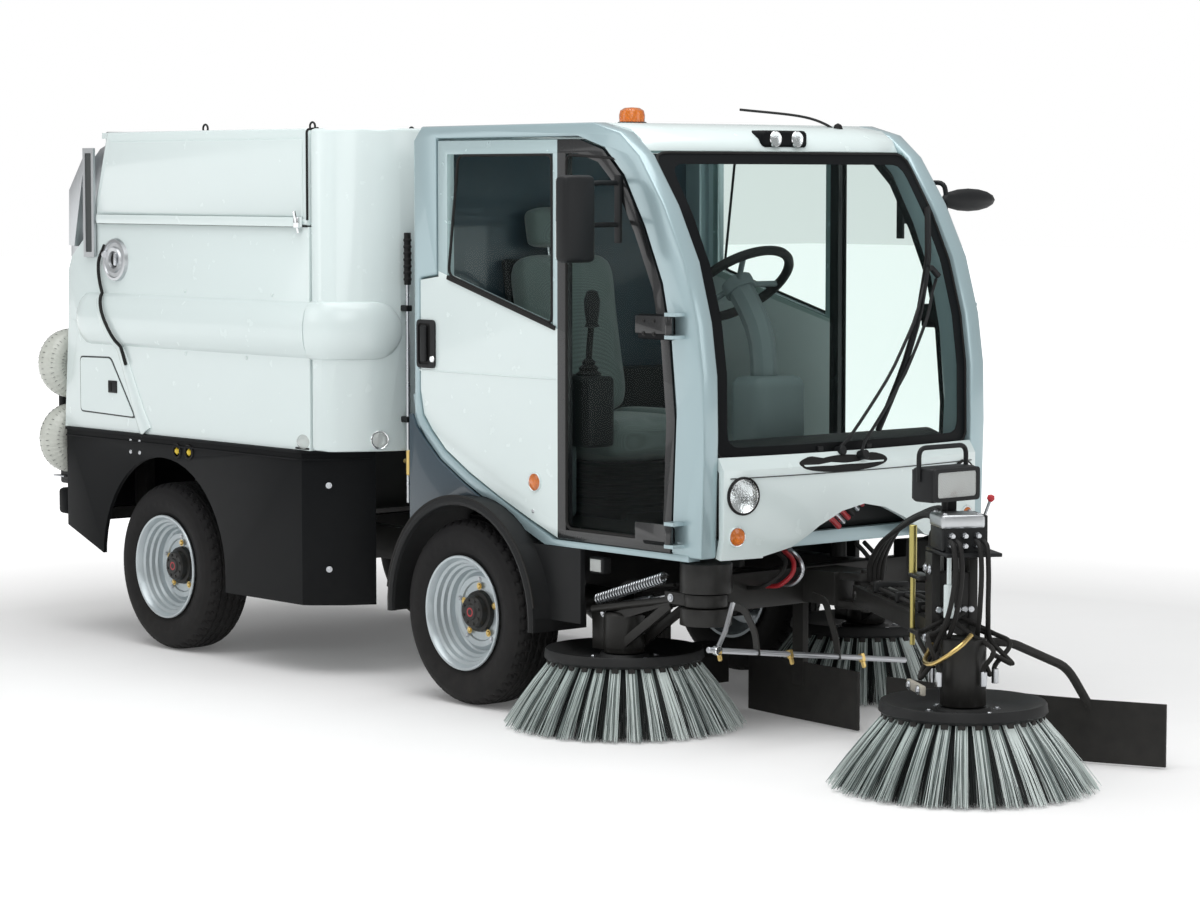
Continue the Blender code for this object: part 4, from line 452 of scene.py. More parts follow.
def coil(
    start: Sequence[float], end: Sequence[float], radius: float, wire: float, turns: int,
) -> Patch:
    """A helical spring from one point to another: the wire's middle is start + t (end - start)
    plus the radius turned about that line once each turn.

    Args:
        start: the middle of one end.
        end: the middle of the other.
        radius: from the spring's middle to the wire's middle.
        wire: the wire's radius.
        turns: how many turns it has.

    Returns:
        The surface.
    """
    start, end = np.asarray(start, float), np.asarray(end, float)
    axis = unit(end - start)
    first = unit(np.cross(axis, (0.0, 0.2, 1.0)))
    second = np.cross(axis, first)
    t = np.linspace(0, 1, turns * 12 + 1)[:, None]
    turn = 2 * np.pi * turns * t
    out = np.cos(turn) * first + np.sin(turn) * second
    middle = start + t * (end - start) + radius * out
    ring = ring_section(wire, 6)
    points = middle[:, None] + ring[None, :, :1] * out[:, None] + ring[None, :, 1:] * axis
    return net(points, False, True, True, True)


# Finishes


class Shading:
    """Short ways to add and link the shader nodes of one tree."""

    def __init__(self, tree: bpy.types.NodeTree) -> None:
        """Keeps the tree."""
        self.tree = tree

    def add(self, kind: str, **settings: object) -> bpy.types.Node:
        """Adds a node and sets its own options.

        Args:
            kind: the node's type name without the prefix ShaderNode.
            settings: option names and values.

        Returns:
            The node.
        """
        node = self.tree.nodes.new("ShaderNode" + kind)
        for name, value in settings.items():
            setattr(node, name, value)
        return node

    def link(self, output: bpy.types.NodeSocket, target: bpy.types.NodeSocket) -> None:
        """Links an output to an input."""
        self.tree.links.new(output, target)

    def value(self, socket: bpy.types.NodeSocket, given: object) -> None:
        """Sets an input to a number, or links it to an output."""
        if isinstance(given, bpy.types.NodeSocket):
            self.link(given, socket)
        else:
            socket.default_value = given

    def math(self, operation: str, a: object, b: object = 0.0, clamp: bool = False):
        """The output of a Math node on two numbers or outputs."""
        node = self.add("Math", operation=operation, use_clamp=clamp)
        self.value(node.inputs[0], a)
        self.value(node.inputs[1], b)
        return node.outputs[0]

    def noise(self, vector: object, scale: float, detail: float = 3.0):
        """The factor of a Noise texture on a vector."""
        node = self.add("TexNoise")
        self.link(vector, node.inputs["Vector"])
        node.inputs["Scale"].default_value = scale
        node.inputs["Detail"].default_value = detail
        return node.outputs["Fac"]

    def mix(self, factor: object, a: object, b: object):
        """The colour that lies between two colours by a factor."""
        node = self.add("Mix", data_type="RGBA")
        self.value(node.inputs[0], factor)
        self.value(node.inputs[6], a)
        self.value(node.inputs[7], b)
        return node.outputs[2]

    def bump(self, height: object, depth: float, strength: float = 1.0):
        """The normal of a surface raised by a height."""
        node = self.add("Bump")
        node.inputs["Strength"].default_value = strength
        node.inputs["Distance"].default_value = depth
        self.link(height, node.inputs["Height"])
        return node.outputs["Normal"]


def rgba(colour: Sequence[float]) -> tuple[float, float, float, float]:
    """A colour with full cover."""
    return (colour[0], colour[1], colour[2], 1.0)


def surface_group() -> bpy.types.NodeTree:
    """The shared effect of all painted and moulded surfaces.

    The colour varies slowly between two tones by a soft noise, road dust lightens what is
    low down (its mask falls with height and is broken up by noise), a fine noise makes the
    grain, and dust and noise together roughen the surface.

    Returns:
        The node group, made once.
    """
    name = "surface with grain and road dust"
    if name in bpy.data.node_groups:
        return bpy.data.node_groups[name]
    group = bpy.data.node_groups.new(name, "ShaderNodeTree")
    colour = group.interface.new_socket("Colour", in_out="INPUT", socket_type="NodeSocketColor")
    second = group.interface.new_socket("Second tone", in_out="INPUT",
                                        socket_type="NodeSocketColor")
    colour.default_value = second.default_value = (0.5, 0.5, 0.5, 1.0)
    for label, start in (("Roughness", 0.4), ("Dust", 0.3), ("Dust top", 0.7),
                         ("Grain scale", 300.0), ("Grain depth", 0.0002)):
        socket = group.interface.new_socket(label, in_out="INPUT", socket_type="NodeSocketFloat")
        socket.default_value = start
    for label, kind in (("Colour", "Color"), ("Roughness", "Float"), ("Normal", "Vector")):
        group.interface.new_socket(label, in_out="OUTPUT", socket_type="NodeSocket" + kind)
    kit = Shading(group)
    given = group.nodes.new("NodeGroupInput")
    result = group.nodes.new("NodeGroupOutput")
    where = kit.add("TexCoord").outputs["Object"]
    height = kit.add("SeparateXYZ")
    kit.link(where, height.inputs[0])
    slow = kit.noise(where, 1.7, 2.0)
    broken = kit.noise(where, 19.0, 6.0)
    fall = kit.math("DIVIDE", kit.math("SUBTRACT", given.outputs["Dust top"], height.outputs[2]),
                    given.outputs["Dust top"], True)
    patchy = kit.math("MULTIPLY", fall, kit.math("ADD", broken, 0.15), True)
    dust = kit.math("MULTIPLY", patchy, given.outputs["Dust"], True)
    tone = kit.mix(slow, given.outputs["Colour"], given.outputs["Second tone"])
    kit.link(kit.mix(dust, tone, (0.30, 0.28, 0.25, 1.0)), result.inputs["Colour"])
    rough = kit.math("ADD", given.outputs["Roughness"], kit.math("MULTIPLY", dust, 0.35))
    wave = kit.math("MULTIPLY", kit.math("SUBTRACT", broken, 0.5), 0.08)
    kit.link(kit.math("ADD", rough, wave, True), result.inputs["Roughness"])
    grain = kit.add("TexNoise")
    kit.link(where, grain.inputs["Vector"])
    kit.link(given.outputs["Grain scale"], grain.inputs["Scale"])
    grain.inputs["Detail"].default_value = 2.0
    raised = kit.add("Bump")
    raised.inputs["Strength"].default_value = 0.6
    kit.link(given.outputs["Grain depth"], raised.inputs["Distance"])
    kit.link(grain.outputs["Fac"], raised.inputs["Height"])
    kit.link(raised.outputs["Normal"], result.inputs["Normal"])
    return group


@dataclass(frozen=True)
class Finish:
    """A painted, plated or moulded surface with grain, slight colour drift and road dust."""

    name: str
    colour: tuple[float, float, float]
    second: tuple[float, float, float] | None = None
    roughness: float = 0.4
    metallic: float = 0.0
    coat: float = 0.0
    specular: float = 0.5
    grain: float = 300.0
    depth: float = 0.00005
    dust: float = 0.2
    dust_top: float = 0.8
    slot: str | None = None

    def material(self) -> bpy.types.Material:
        """The Blender material of this finish, made once."""
        found = bpy.data.materials.get(self.name)
        if found:
            return found
        made = bpy.data.materials.new(self.name)
        made.use_nodes = True
        made.diffuse_color = rgba(self.colour)
        self.dress(Shading(made.node_tree), made.node_tree.nodes["Principled BSDF"])
        return made

    def detail(self, kit: Shading) -> bpy.types.Node:
        """The shared surface group, set to this finish's own numbers."""
        node = kit.add("Group", node_tree=surface_group())
        node.inputs["Colour"].default_value = rgba(self.colour)
        node.inputs["Second tone"].default_value = rgba(
            self.second or tuple(0.93 * part for part in self.colour))
        node.inputs["Roughness"].default_value = self.roughness
        node.inputs["Dust"].default_value = self.dust
        node.inputs["Dust top"].default_value = self.dust_top
        node.inputs["Grain scale"].default_value = self.grain
        node.inputs["Grain depth"].default_value = self.depth
        return node

    def dress(self, kit: Shading, shader: bpy.types.Node) -> None:
        """Links the group to the shader and sets the shader's own constants.

        Args:
            kit: the material's nodes.
            shader: its Principled shader.
        """
        node = self.detail(kit)
        kit.link(node.outputs["Colour"], shader.inputs["Base Color"])
        kit.link(node.outputs["Roughness"], shader.inputs["Roughness"])
        kit.link(node.outputs["Normal"], shader.inputs["Normal"])
        shader.inputs["Metallic"].default_value = self.metallic
        shader.inputs["Coat Weight"].default_value = self.coat
        shader.inputs["Coat Roughness"].default_value = 0.06
        shader.inputs["Specular IOR Level"].default_value = self.specular


@dataclass(frozen=True)
class DoorPaint(Finish):
    """Door paint in three zones: white skin, silver-blue window frame, black front frame."""

    frame_colour: tuple[float, float, float] = (0.44, 0.56, 0.58)
    black: tuple[float, float, float] = (0.012, 0.013, 0.014)
    split_x: float = 0.428
    belt_x: float = -0.180
    belt_z: float = 1.478
    belt_slope: float = -0.2815

    def dress(self, kit: Shading, shader: bpy.types.Node) -> None:
        """As other paint, with the colour chosen by where a point lies along X and Z."""
        super().dress(kit, shader)
        where = kit.add("SeparateXYZ")
        kit.link(kit.add("TexCoord").outputs["Object"], where.inputs[0])
        along = kit.math("SUBTRACT", where.outputs[0], AXLE_X + self.belt_x)
        belt = kit.math("ADD", kit.math("MULTIPLY", along, self.belt_slope), self.belt_z)
        above = kit.math("GREATER_THAN", where.outputs[2], belt)
        ahead = kit.math("GREATER_THAN", where.outputs[0], AXLE_X + self.split_x)
        white = shader.inputs["Base Color"].links[0].from_socket
        framed = kit.mix(above, white, rgba(self.frame_colour))
        kit.link(kit.mix(ahead, framed, rgba(self.black)), shader.inputs["Base Color"])
        kit.link(kit.math("MULTIPLY", above, 0.35), shader.inputs["Metallic"])


@dataclass(frozen=True)
class Glass(Finish):
    """Thin glass: the tinted view through it, with its gloss added by Fresnel."""

    tint: tuple[float, float, float] = (0.93, 0.965, 0.955)

    def dress(self, kit: Shading, shader: bpy.types.Node) -> None:
        """Mixes a see-through shader with the glossy one by the front faces' Fresnel factor."""
        super().dress(kit, shader)
        clear = kit.add("BsdfTransparent")
        clear.inputs[0].default_value = rgba(self.tint)
        gloss = kit.add("Fresnel")
        gloss.inputs["IOR"].default_value = 1.5
        front = kit.math("SUBTRACT", 1.0, kit.add("NewGeometry").outputs["Backfacing"])
        share = kit.math("MULTIPLY", kit.math("ADD", gloss.outputs[0], 0.02), front, True)
        blend = kit.add("MixShader")
        kit.link(share, blend.inputs[0])
        kit.link(clear.outputs[0], blend.inputs[1])
        kit.link(shader.outputs[0], blend.inputs[2])
        output = kit.tree.nodes["Material Output"]
        kit.link(blend.outputs[0], output.inputs["Surface"])


@dataclass(frozen=True)
class Lens(Finish):
    """Moulded lamp plastic: clear depth under a glossy face with fine upright ribs."""

    ribs: float = 260.0
    clear: float = 0.5

    def dress(self, kit: Shading, shader: bpy.types.Node) -> None:
        """Adds light passing through and a ribbed normal."""
        super().dress(kit, shader)
        shader.inputs["Transmission Weight"].default_value = self.clear
        shader.inputs["Coat Weight"].default_value = 0.8
        wave = kit.add("TexWave", wave_type="BANDS", bands_direction="DIAGONAL")
        wave.inputs["Scale"].default_value = self.ribs / 6.283
        kit.link(kit.add("TexCoord").outputs["Object"], wave.inputs["Vector"])
        kit.link(kit.bump(wave.outputs["Fac"], 0.001, 0.5), shader.inputs["Normal"])


@dataclass(frozen=True)
class Cloth(Finish):
    """Woven seat cloth: two crossed fine waves make the weave, with a soft sheen."""

    def dress(self, kit: Shading, shader: bpy.types.Node) -> None:
        """Adds the weave's normal, painted shade in the gaps between its threads, and the sheen."""
        super().dress(kit, shader)
        where = kit.add("TexCoord").outputs["Object"]
        threads = []
        for direction in ("X", "Z"):
            wave = kit.add("TexWave", wave_type="BANDS", bands_direction=direction)
            wave.inputs["Scale"].default_value = 130.0
            wave.inputs["Distortion"].default_value = 0.6
            kit.link(where, wave.inputs["Vector"])
            threads.append(wave.outputs["Fac"])
        weave = kit.math("MULTIPLY", threads[0], threads[1])
        tone = shader.inputs["Base Color"].links[0].from_socket
        # Painted shade: the colour darkens to 0.6 of itself where the weave dips between threads.
        dark = rgba(tuple(0.6 * part for part in self.colour))
        kit.link(kit.mix(weave, dark, tone), shader.inputs["Base Color"])
        kit.link(kit.bump(weave, 0.0008, 0.7), shader.inputs["Normal"])
        shader.inputs["Sheen Weight"].default_value = 0.4


@dataclass(frozen=True)
class Brushed(Finish):
    """Brushed stainless sheet: a noise stretched along the sheet breaks up its gloss."""

    def dress(self, kit: Shading, shader: bpy.types.Node) -> None:
        """Adds the long scratches to the roughness and the normal."""
        super().dress(kit, shader)
        stretch = kit.add("Mapping")
        stretch.inputs["Scale"].default_value = (4.0, 90.0, 260.0)
        kit.link(kit.add("TexCoord").outputs["Object"], stretch.inputs["Vector"])
        lines = kit.noise(stretch.outputs[0], 3.0, 4.0)
        kit.link(kit.math("ADD", kit.math("MULTIPLY", lines, 0.3), self.roughness - 0.15),
                 shader.inputs["Roughness"])
        kit.link(kit.bump(lines, 0.0004, 0.4), shader.inputs["Normal"])


WHITE = Finish("white gloss paint", (0.70, 0.79, 0.785), (0.67, 0.765, 0.76), 0.26, coat=0.5,
               grain=300, depth=0.00001, dust=0.05, slot="white_paint")
DOOR_WHITE = DoorPaint("door paint", (0.70, 0.79, 0.785), (0.67, 0.765, 0.76), 0.26, coat=0.5,
                       grain=300, depth=0.00001, dust=0.05, slot="white_paint")
SILVER_BLUE = Finish("silver blue paint", (0.37, 0.49, 0.52), (0.34, 0.455, 0.485), 0.30, 0.35,
                     0.7, grain=1500, depth=0.00003, dust=0.08, slot="silver_blue_paint")
SLATE = Finish("slate paint", (0.030, 0.055, 0.075), (0.026, 0.048, 0.066), 0.30, coat=0.5,
               grain=420, depth=0.00004, dust=0.12, slot="slate_paint")
SKIRT_BLACK = Finish("satin black skirt", (0.0035, 0.0042, 0.005), (0.005, 0.006, 0.007), 0.46,
                     specular=0.10, grain=260, depth=0.00012, dust=0.03, slot="black_plastic")
MOULDED = Finish("moulded black plastic", (0.009, 0.010, 0.011), (0.012, 0.013, 0.014), 0.48,
                 specular=0.25, grain=900, depth=0.00015, dust=0.05, slot="black_plastic")
CHASSIS = Finish("black chassis paint", (0.008, 0.0085, 0.009), (0.013, 0.013, 0.012), 0.36,
                 specular=0.30, grain=180, depth=0.0002, dust=0.10, slot="chassis_black")
ENGINE_IRON = Finish("cast engine iron", (0.08, 0.08, 0.08), (0.05, 0.05, 0.05), 0.6, 0.3,
                     grain=90, depth=0.0006, dust=0.3, slot="engine_iron")
TYRE = Finish("tyre rubber", (0.006, 0.006, 0.007), (0.009, 0.009, 0.010), 0.62, grain=500,
              specular=0.15, depth=0.0003, dust=0.07, dust_top=0.9, slot="tyre")
RUBBER = Finish("black rubber", (0.009, 0.009, 0.009), (0.013, 0.013, 0.013), 0.58, grain=400,
                specular=0.22, depth=0.0002, dust=0.10, slot="rubber")
RIM = Finish("silver rim paint", (0.52, 0.58, 0.60), (0.47, 0.53, 0.56), 0.30, 0.45, 0.3,
             grain=320, depth=0.0001, dust=0.16, slot="rim_paint")
STEEL = Brushed("brushed stainless steel", (0.55, 0.57, 0.58), (0.50, 0.52, 0.54), 0.34, 0.95,
                dust=0.06, slot="steel")
PLATED = Finish("zinc plated steel", (0.62, 0.64, 0.66), (0.50, 0.52, 0.55), 0.28, 1.0,
                grain=700, depth=0.0001, dust=0.12, slot="steel")
YELLOW_ZINC = Finish("yellow zinc steel", (0.50, 0.45, 0.16), (0.42, 0.34, 0.10), 0.34, 0.8,
                     grain=500, depth=0.0001, dust=0.1, slot="steel")
BRASS = Finish("brass", (0.72, 0.55, 0.22), (0.60, 0.42, 0.15), 0.28, 1.0, dust=0.05,
               slot="steel")
CHROME = Finish("chrome", (0.80, 0.82, 0.83), (0.75, 0.77, 0.78), 0.08, 1.0, dust=0.0,
                slot="steel")
# Painted shade: a dark sheet set in shut lines and slots, where there is only the shade of the gap.
PAINTED_GAP_SHADE = Finish("shadow gap", (0.05, 0.058, 0.058), (0.04, 0.045, 0.045), 0.7, dust=0.1,
              slot="rubber")
GLASS = Glass("window glass", (0.02, 0.03, 0.03), (0.02, 0.03, 0.03), 0.04, specular=0.6,
              dust=0.0, depth=0.0, slot="glass")
LAMP_GLASS = Glass("lamp glass", (0.02, 0.02, 0.02), (0.02, 0.02, 0.02), 0.05, dust=0.0,
                   tint=(0.95, 0.97, 0.97), slot="glass")
MIRROR = Finish("mirror glass", (0.75, 0.82, 0.80), (0.70, 0.78, 0.76), 0.06, 1.0, dust=0.0,
                slot="glass")
SEAT = Cloth("grey seat cloth", (0.25, 0.31, 0.30), (0.20, 0.26, 0.25), 0.85, dust=0.0,
             slot="seat_fabric")
TRIM = Finish("grey cab trim", (0.12, 0.15, 0.155), (0.10, 0.13, 0.135), 0.6, grain=600,
              depth=0.0003, dust=0.05, slot="black_plastic")
AMBER = Lens("amber lens", (0.95, 0.26, 0.02), (0.85, 0.20, 0.01), 0.18, dust=0.0, slot="glass")
CLEAR = Lens("clear ribbed lens", (0.80, 0.84, 0.82), (0.75, 0.80, 0.78), 0.12, dust=0.0,
             ribs=420, slot="glass")
REFLECTOR = Finish("lamp reflector", (0.85, 0.87, 0.88), (0.80, 0.82, 0.83), 0.12, 1.0,
                   grain=160, depth=0.0012, dust=0.0, slot="steel")
BRISTLE = Finish("grey green bristle", (0.80, 0.86, 0.84), (0.52, 0.60, 0.58), 0.55, grain=900,
                 depth=0.0002, dust=0.06, dust_top=0.2, slot="bristle")
# Painted shade: near-black tufts set back between the light ones stand for the shade in the gaps
# between tufts.
BRISTLE_GAP_SHADE = Finish("gap shade bristle", (0.022, 0.026, 0.026), (0.013, 0.016, 0.016), 0.55,
                      specular=0.2, grain=900, depth=0.0002, dust=0.04, dust_top=0.2,
                      slot="bristle")
BRISTLE_DEEP = Finish("deep grey bristle", (0.20, 0.25, 0.24), (0.12, 0.15, 0.145), 0.55,
                      grain=900, depth=0.0002, dust=0.05, dust_top=0.2, slot="bristle")
HOSE_WHITE = Finish("clear ribbed hose", (0.60, 0.62, 0.57), (0.50, 0.52, 0.47), 0.3, coat=0.3,
                    grain=200, depth=0.0003, dust=0.1, slot="hose")
HOSE_WIRE = Finish("hose wire", (0.20, 0.21, 0.20), (0.14, 0.15, 0.14), 0.4, 0.3, dust=0.1,
                   slot="hose")
RED = Finish("red plastic", (0.45, 0.02, 0.03), (0.38, 0.015, 0.02), 0.4, dust=0.05,
             slot="rubber")
YELLOW = Finish("yellow plastic", (0.75, 0.55, 0.03), (0.65, 0.45, 0.02), 0.4, dust=0.05,
                slot="rubber")
REAR_RED = Lens("red lens", (0.60, 0.02, 0.02), (0.50, 0.015, 0.015), 0.18, dust=0.0,
                slot="glass")
VALVE_GREY = Finish("valve grey paint", (0.42, 0.40, 0.34), (0.36, 0.34, 0.29), 0.42, grain=260,
                    depth=0.0002, dust=0.1, slot="steel")

Looks = list[tuple[Patch, Finish]]


# Pieces


def even_shading() -> bpy.types.NodeTree:
    """A geometry node group that shades faces smooth and keeps edges over 30 degrees sharp."""
    name = "even shading"
    if name in bpy.data.node_groups:
        return bpy.data.node_groups[name]
    group = bpy.data.node_groups.new(name, "GeometryNodeTree")
    group.interface.new_socket("Geometry", in_out="INPUT", socket_type="NodeSocketGeometry")
    group.interface.new_socket("Geometry", in_out="OUTPUT", socket_type="NodeSocketGeometry")
    given, result = group.nodes.new("NodeGroupInput"), group.nodes.new("NodeGroupOutput")
    faces = group.nodes.new("GeometryNodeSetShadeSmooth")
    edges = group.nodes.new("GeometryNodeSetShadeSmooth")
    edges.domain = "EDGE"
    edges.inputs["Shade Smooth"].default_value = False
    angle = group.nodes.new("GeometryNodeInputMeshEdgeAngle")
    over = group.nodes.new("FunctionNodeCompare")
    over.operation = "GREATER_THAN"
    over.inputs[1].default_value = EVEN_ANGLE
    links = group.links
    links.new(given.outputs[0], faces.inputs[0])
    links.new(faces.outputs[0], edges.inputs[0])
    links.new(angle.outputs[0], over.inputs[0])
    links.new(over.outputs[0], edges.inputs["Selection"])
    links.new(edges.outputs[0], result.inputs[0])
    return group


def dress_node(name: str, finish: Finish, edge: float = 0.0) -> None:
    """Gives a node of the frame its finish, soft edges and even shading.

    Args:
        name: the node.
        finish: its finish.
        edge: the width of a bevel along its sharp edges, or 0 for none.
    """
    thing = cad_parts[name]
    thing.data.materials.clear()
    thing.data.materials.append(finish.material())
    weld = thing.modifiers.new("welded seams", "WELD")
    weld.merge_threshold = WELD_REACH
    if edge:
        soft = thing.modifiers.new("soft edges", "BEVEL")
        soft.width = edge
        soft.segments = 2
        soft.limit_method = "ANGLE"
        soft.angle_limit = BEVEL_ANGLE
        soft.use_clamp_overlap = True
    even = thing.modifiers.new("even shading", "NODES")
    even.node_group = even_shading()
    LOG.info("dressed %s in %s", name, finish.name)


def piece(
    name: str, body: str, looks: Sequence[tuple[Patch, Finish]],
    stands_for: Sequence[str] = (), sharp: float = 32.0,
) -> bpy.types.Object:
    """Makes one object of surfaces with their finishes, and sets it on its body.

    Args:
        name: the object's name.
        body: the body that it rides on.
        looks: surfaces, each with its finish.
        stands_for: nodes of the frame that it replaces.
        sharp: edges over this angle in degrees stay sharp.

    Returns:
        The object.
    """
    whole = together([patch for patch, _ in looks])
    finishes = list(dict.fromkeys(finish for _, finish in looks))
    quad_owner = np.concatenate([np.full(len(p.quads), finishes.index(f)) for p, f in looks])
    tri_owner = np.concatenate([np.full(len(p.tris), finishes.index(f)) for p, f in looks])
    corners = np.concatenate([whole.quads.ravel(), whole.tris.ravel()]).astype(np.int32)
    totals = np.concatenate([np.full(len(whole.quads), 4), np.full(len(whole.tris), 3)])
    starts = np.concatenate([[0], np.cumsum(totals)[:-1]]).astype(np.int32)
    mesh = bpy.data.meshes.new(name)
    mesh.vertices.add(len(whole.points))
    placed = (whole.points + (AXLE_X, 0, 0)).astype(np.float32)
    mesh.vertices.foreach_set("co", placed.ravel())
    mesh.loops.add(len(corners))
    mesh.loops.foreach_set("vertex_index", corners)
    mesh.polygons.add(len(totals))
    mesh.polygons.foreach_set("loop_start", starts)
    mesh.polygons.foreach_set("material_index",
                              np.concatenate([quad_owner, tri_owner]).astype(np.int32))
    mesh.update(calc_edges=True)
    shape = bmesh.new()
    shape.from_mesh(mesh)
    bmesh.ops.remove_doubles(shape, verts=shape.verts, dist=1e-5)
    bmesh.ops.dissolve_degenerate(shape, edges=shape.edges, dist=1e-6)
    bmesh.ops.recalc_face_normals(shape, faces=shape.faces)
    shape.to_mesh(mesh)
    shape.free()
    mesh.shade_smooth()
    mesh.set_sharp_from_angle(angle=math.radians(sharp))
    for finish in finishes:
        mesh.materials.append(finish.material())
    made = bpy.data.objects.new(name, mesh)
    bpy.context.scene.collection.objects.link(made)
    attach(made, body)
    if stands_for:
        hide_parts(*stands_for)
    LOG.info("made %s with %d faces", name, len(mesh.polygons))
    return made


# Wheels


@dataclass
class Wheel:
    """One wheel: a tyre with ribs and cut shoulders, and a stepped rim with its hub."""

    axle_x: float
    side: Side
    name: str
    radius: float = 0.321
    half_width: float = 0.100
    rim_radius: float = 0.196
    middle_y: float = 0.625
    blocks: int = 46
    rib_grooves: tuple[float, ...] = (-0.46, -0.15, 0.15, 0.46)

    @property
    def centre(self) -> tuple[float, float, float]:
        """The middle of the wheel."""
        return (self.axle_x, self.side.value * self.middle_y, self.radius)

    @property
    def axis(self) -> tuple[float, float, float]:
        """The direction that points away from the vehicle."""
        return (0.0, float(self.side.value), 0.0)

    def section(self) -> np.ndarray:
        """The tyre's section as rows of (radius, across).

        The crown is R - 0.012 |w / 0.8|^5, where w is the share of the half width and runs
        from -0.8 to 0.8. Below it each sidewall runs from the shoulder to the bead and lies
        at 0.82 + 0.17 sin(pi t^0.85) of the half width.

        Returns:
            The rows, from the inner bead over the crown to the outer bead.
        """
        across = np.linspace(-0.80, 0.80, 57)
        crown = np.stack([self.radius - 0.012 * np.abs(across / 0.8) ** 5,
                          across * self.half_width], axis=-1)
        t = np.linspace(0.06, 1, 16)
        shoulder, bead = crown[-1, 0], self.rim_radius - 0.004
        wall = np.stack([shoulder + (bead - shoulder) * t,
                         self.half_width * (0.82 + 0.17 * np.sin(np.pi * t**0.85))], axis=-1)
        return np.vstack([wall[::-1] * (1, -1), crown, wall])

    def tyre(self) -> Patch:
        """The section turned about the axle, less the tread's grooves.

        A rib groove cuts 7 mm where the share of the half width lies within 0.034 of its
        middle, which sways with the block pattern. A shoulder cut takes 6 mm where the sine
        of the block angle, slanted by that share, is over 0.66, and fine cuts take 3 mm
        between the ribs. Two thin rings and a row of short marks stand out of the sidewall.

        Returns:
            The surface.
        """
        rows = self.section()
        turn = np.linspace(0, 2 * np.pi, self.blocks * 5, endpoint=False)
        share = (rows[:, 1] / self.half_width)[:, None]
        phase = self.blocks * turn[None]
        crown = (np.abs(share) < 0.81) & (rows[:, :1] > self.radius - 0.0125)
        cuts = np.zeros((len(rows), len(turn)))
        for middle in self.rib_grooves:
            sway = middle + 0.018 * np.sin(phase)
            cuts = np.maximum(cuts, 0.007 * (np.abs(share - sway) < 0.034))
        slant = np.sin(phase + 9 * share) > 0.66
        cuts = np.maximum(cuts, 0.006 * (slant & (np.abs(share) > 0.56)))
        fine = (np.sin(phase * 2 + 14 * share) > 0.86) & (np.abs(share) < 0.40)
        cuts = np.where(crown, np.maximum(cuts, 0.003 * fine), 0.0)
        radius = rows[:, :1] - cuts
        depth = (self.radius - rows[:, :1]) / (self.radius - self.rim_radius)
        ring = 0.0014 * ((np.abs(depth - 0.30) < 0.03) | (np.abs(depth - 0.86) < 0.03))
        marks = 0.0012 * ((np.abs(depth - 0.62) < 0.05) & (np.sin(36 * turn)[None] > 0.4))
        stand = np.where(crown, 0.0, ring + marks) * np.sign(share)
        across = rows[:, 1:] + stand
        axis = np.array(self.axis)
        first, second = np.array([1.0, 0, 0]), np.array([0, 0, 1.0])
        out = np.cos(turn)[:, None] * first + np.sin(turn)[:, None] * second
        points = np.array(self.centre) + radius[..., None] * out + across[..., None] * axis
        return net(points, True, True)

    def rim(self) -> Looks:
        """The stepped silver rim, its studs, and the black hub with its bolts."""
        edge = self.rim_radius
        profile = [
            (0, 0.010), (0.100, 0.010), (0.104, 0.016), (0.122, 0.018), (0.136, 0.006),
            (0.143, 0.010), (0.147, 0.030), (0.156, 0.036), (0.159, 0.050), (0.168, 0.055),
            (0.171, 0.070), (0.180, 0.075), (0.184, 0.088), (0.190, 0.0975), (edge + 0.001, 0.0985),
            (edge + 0.003, 0.094), (edge - 0.006, 0.084), (edge - 0.018, 0.070),
            (edge - 0.018, -0.080), (edge, -0.096), (edge - 0.010, -0.097), (0.172, -0.060),
            (0.150, -0.010), (0.100, -0.004), (0, -0.004),
        ]
        hub = [(0, 0.060), (0.026, 0.060), (0.030, 0.055), (0.050, 0.055), (0.056, 0.049),
               (0.058, 0.030), (0.070, 0.027), (0.073, 0.012), (0.073, 0.008), (0, 0.008)]
        looks = [(turned(profile, self.centre, self.axis, 64), RIM),
                 (turned(hub, self.centre, self.axis, 36), CHASSIS)]
        out = np.array(self.axis)
        centre = np.array(self.centre)
        for count, reach, lift, size, finish in (
            (5, 0.087, 0.018, 0.0085, BRASS), (8, 0.042, 0.054, 0.0058, CHASSIS),
            (5, 0.112, 0.018, 0.0060, PLATED),
        ):
            turn = np.linspace(0, 2 * np.pi, count, endpoint=False) + 0.3
            around = np.stack([np.cos(turn), np.zeros(count), np.sin(turn)], axis=-1)
            looks.append((bolts(centre + reach * around + lift * out, out, size), finish))
        mark = turned([(0.010, 0.0598), (0.0135, 0.0606), (0.017, 0.0598)], self.centre, self.axis,
                      24)
        looks.append((mark, RED))
        return looks

    def build(self) -> None:
        """Makes the tyre and the rim, each in place of its node."""
        name = self.name
        piece(f"{name}_tread_tyre", name, [(self.tyre(), TYRE)], [f"{name}_tyre"])
        piece(f"{name}_stepped_rim", name, self.rim(), [f"{name}_rim"])


# Brushes


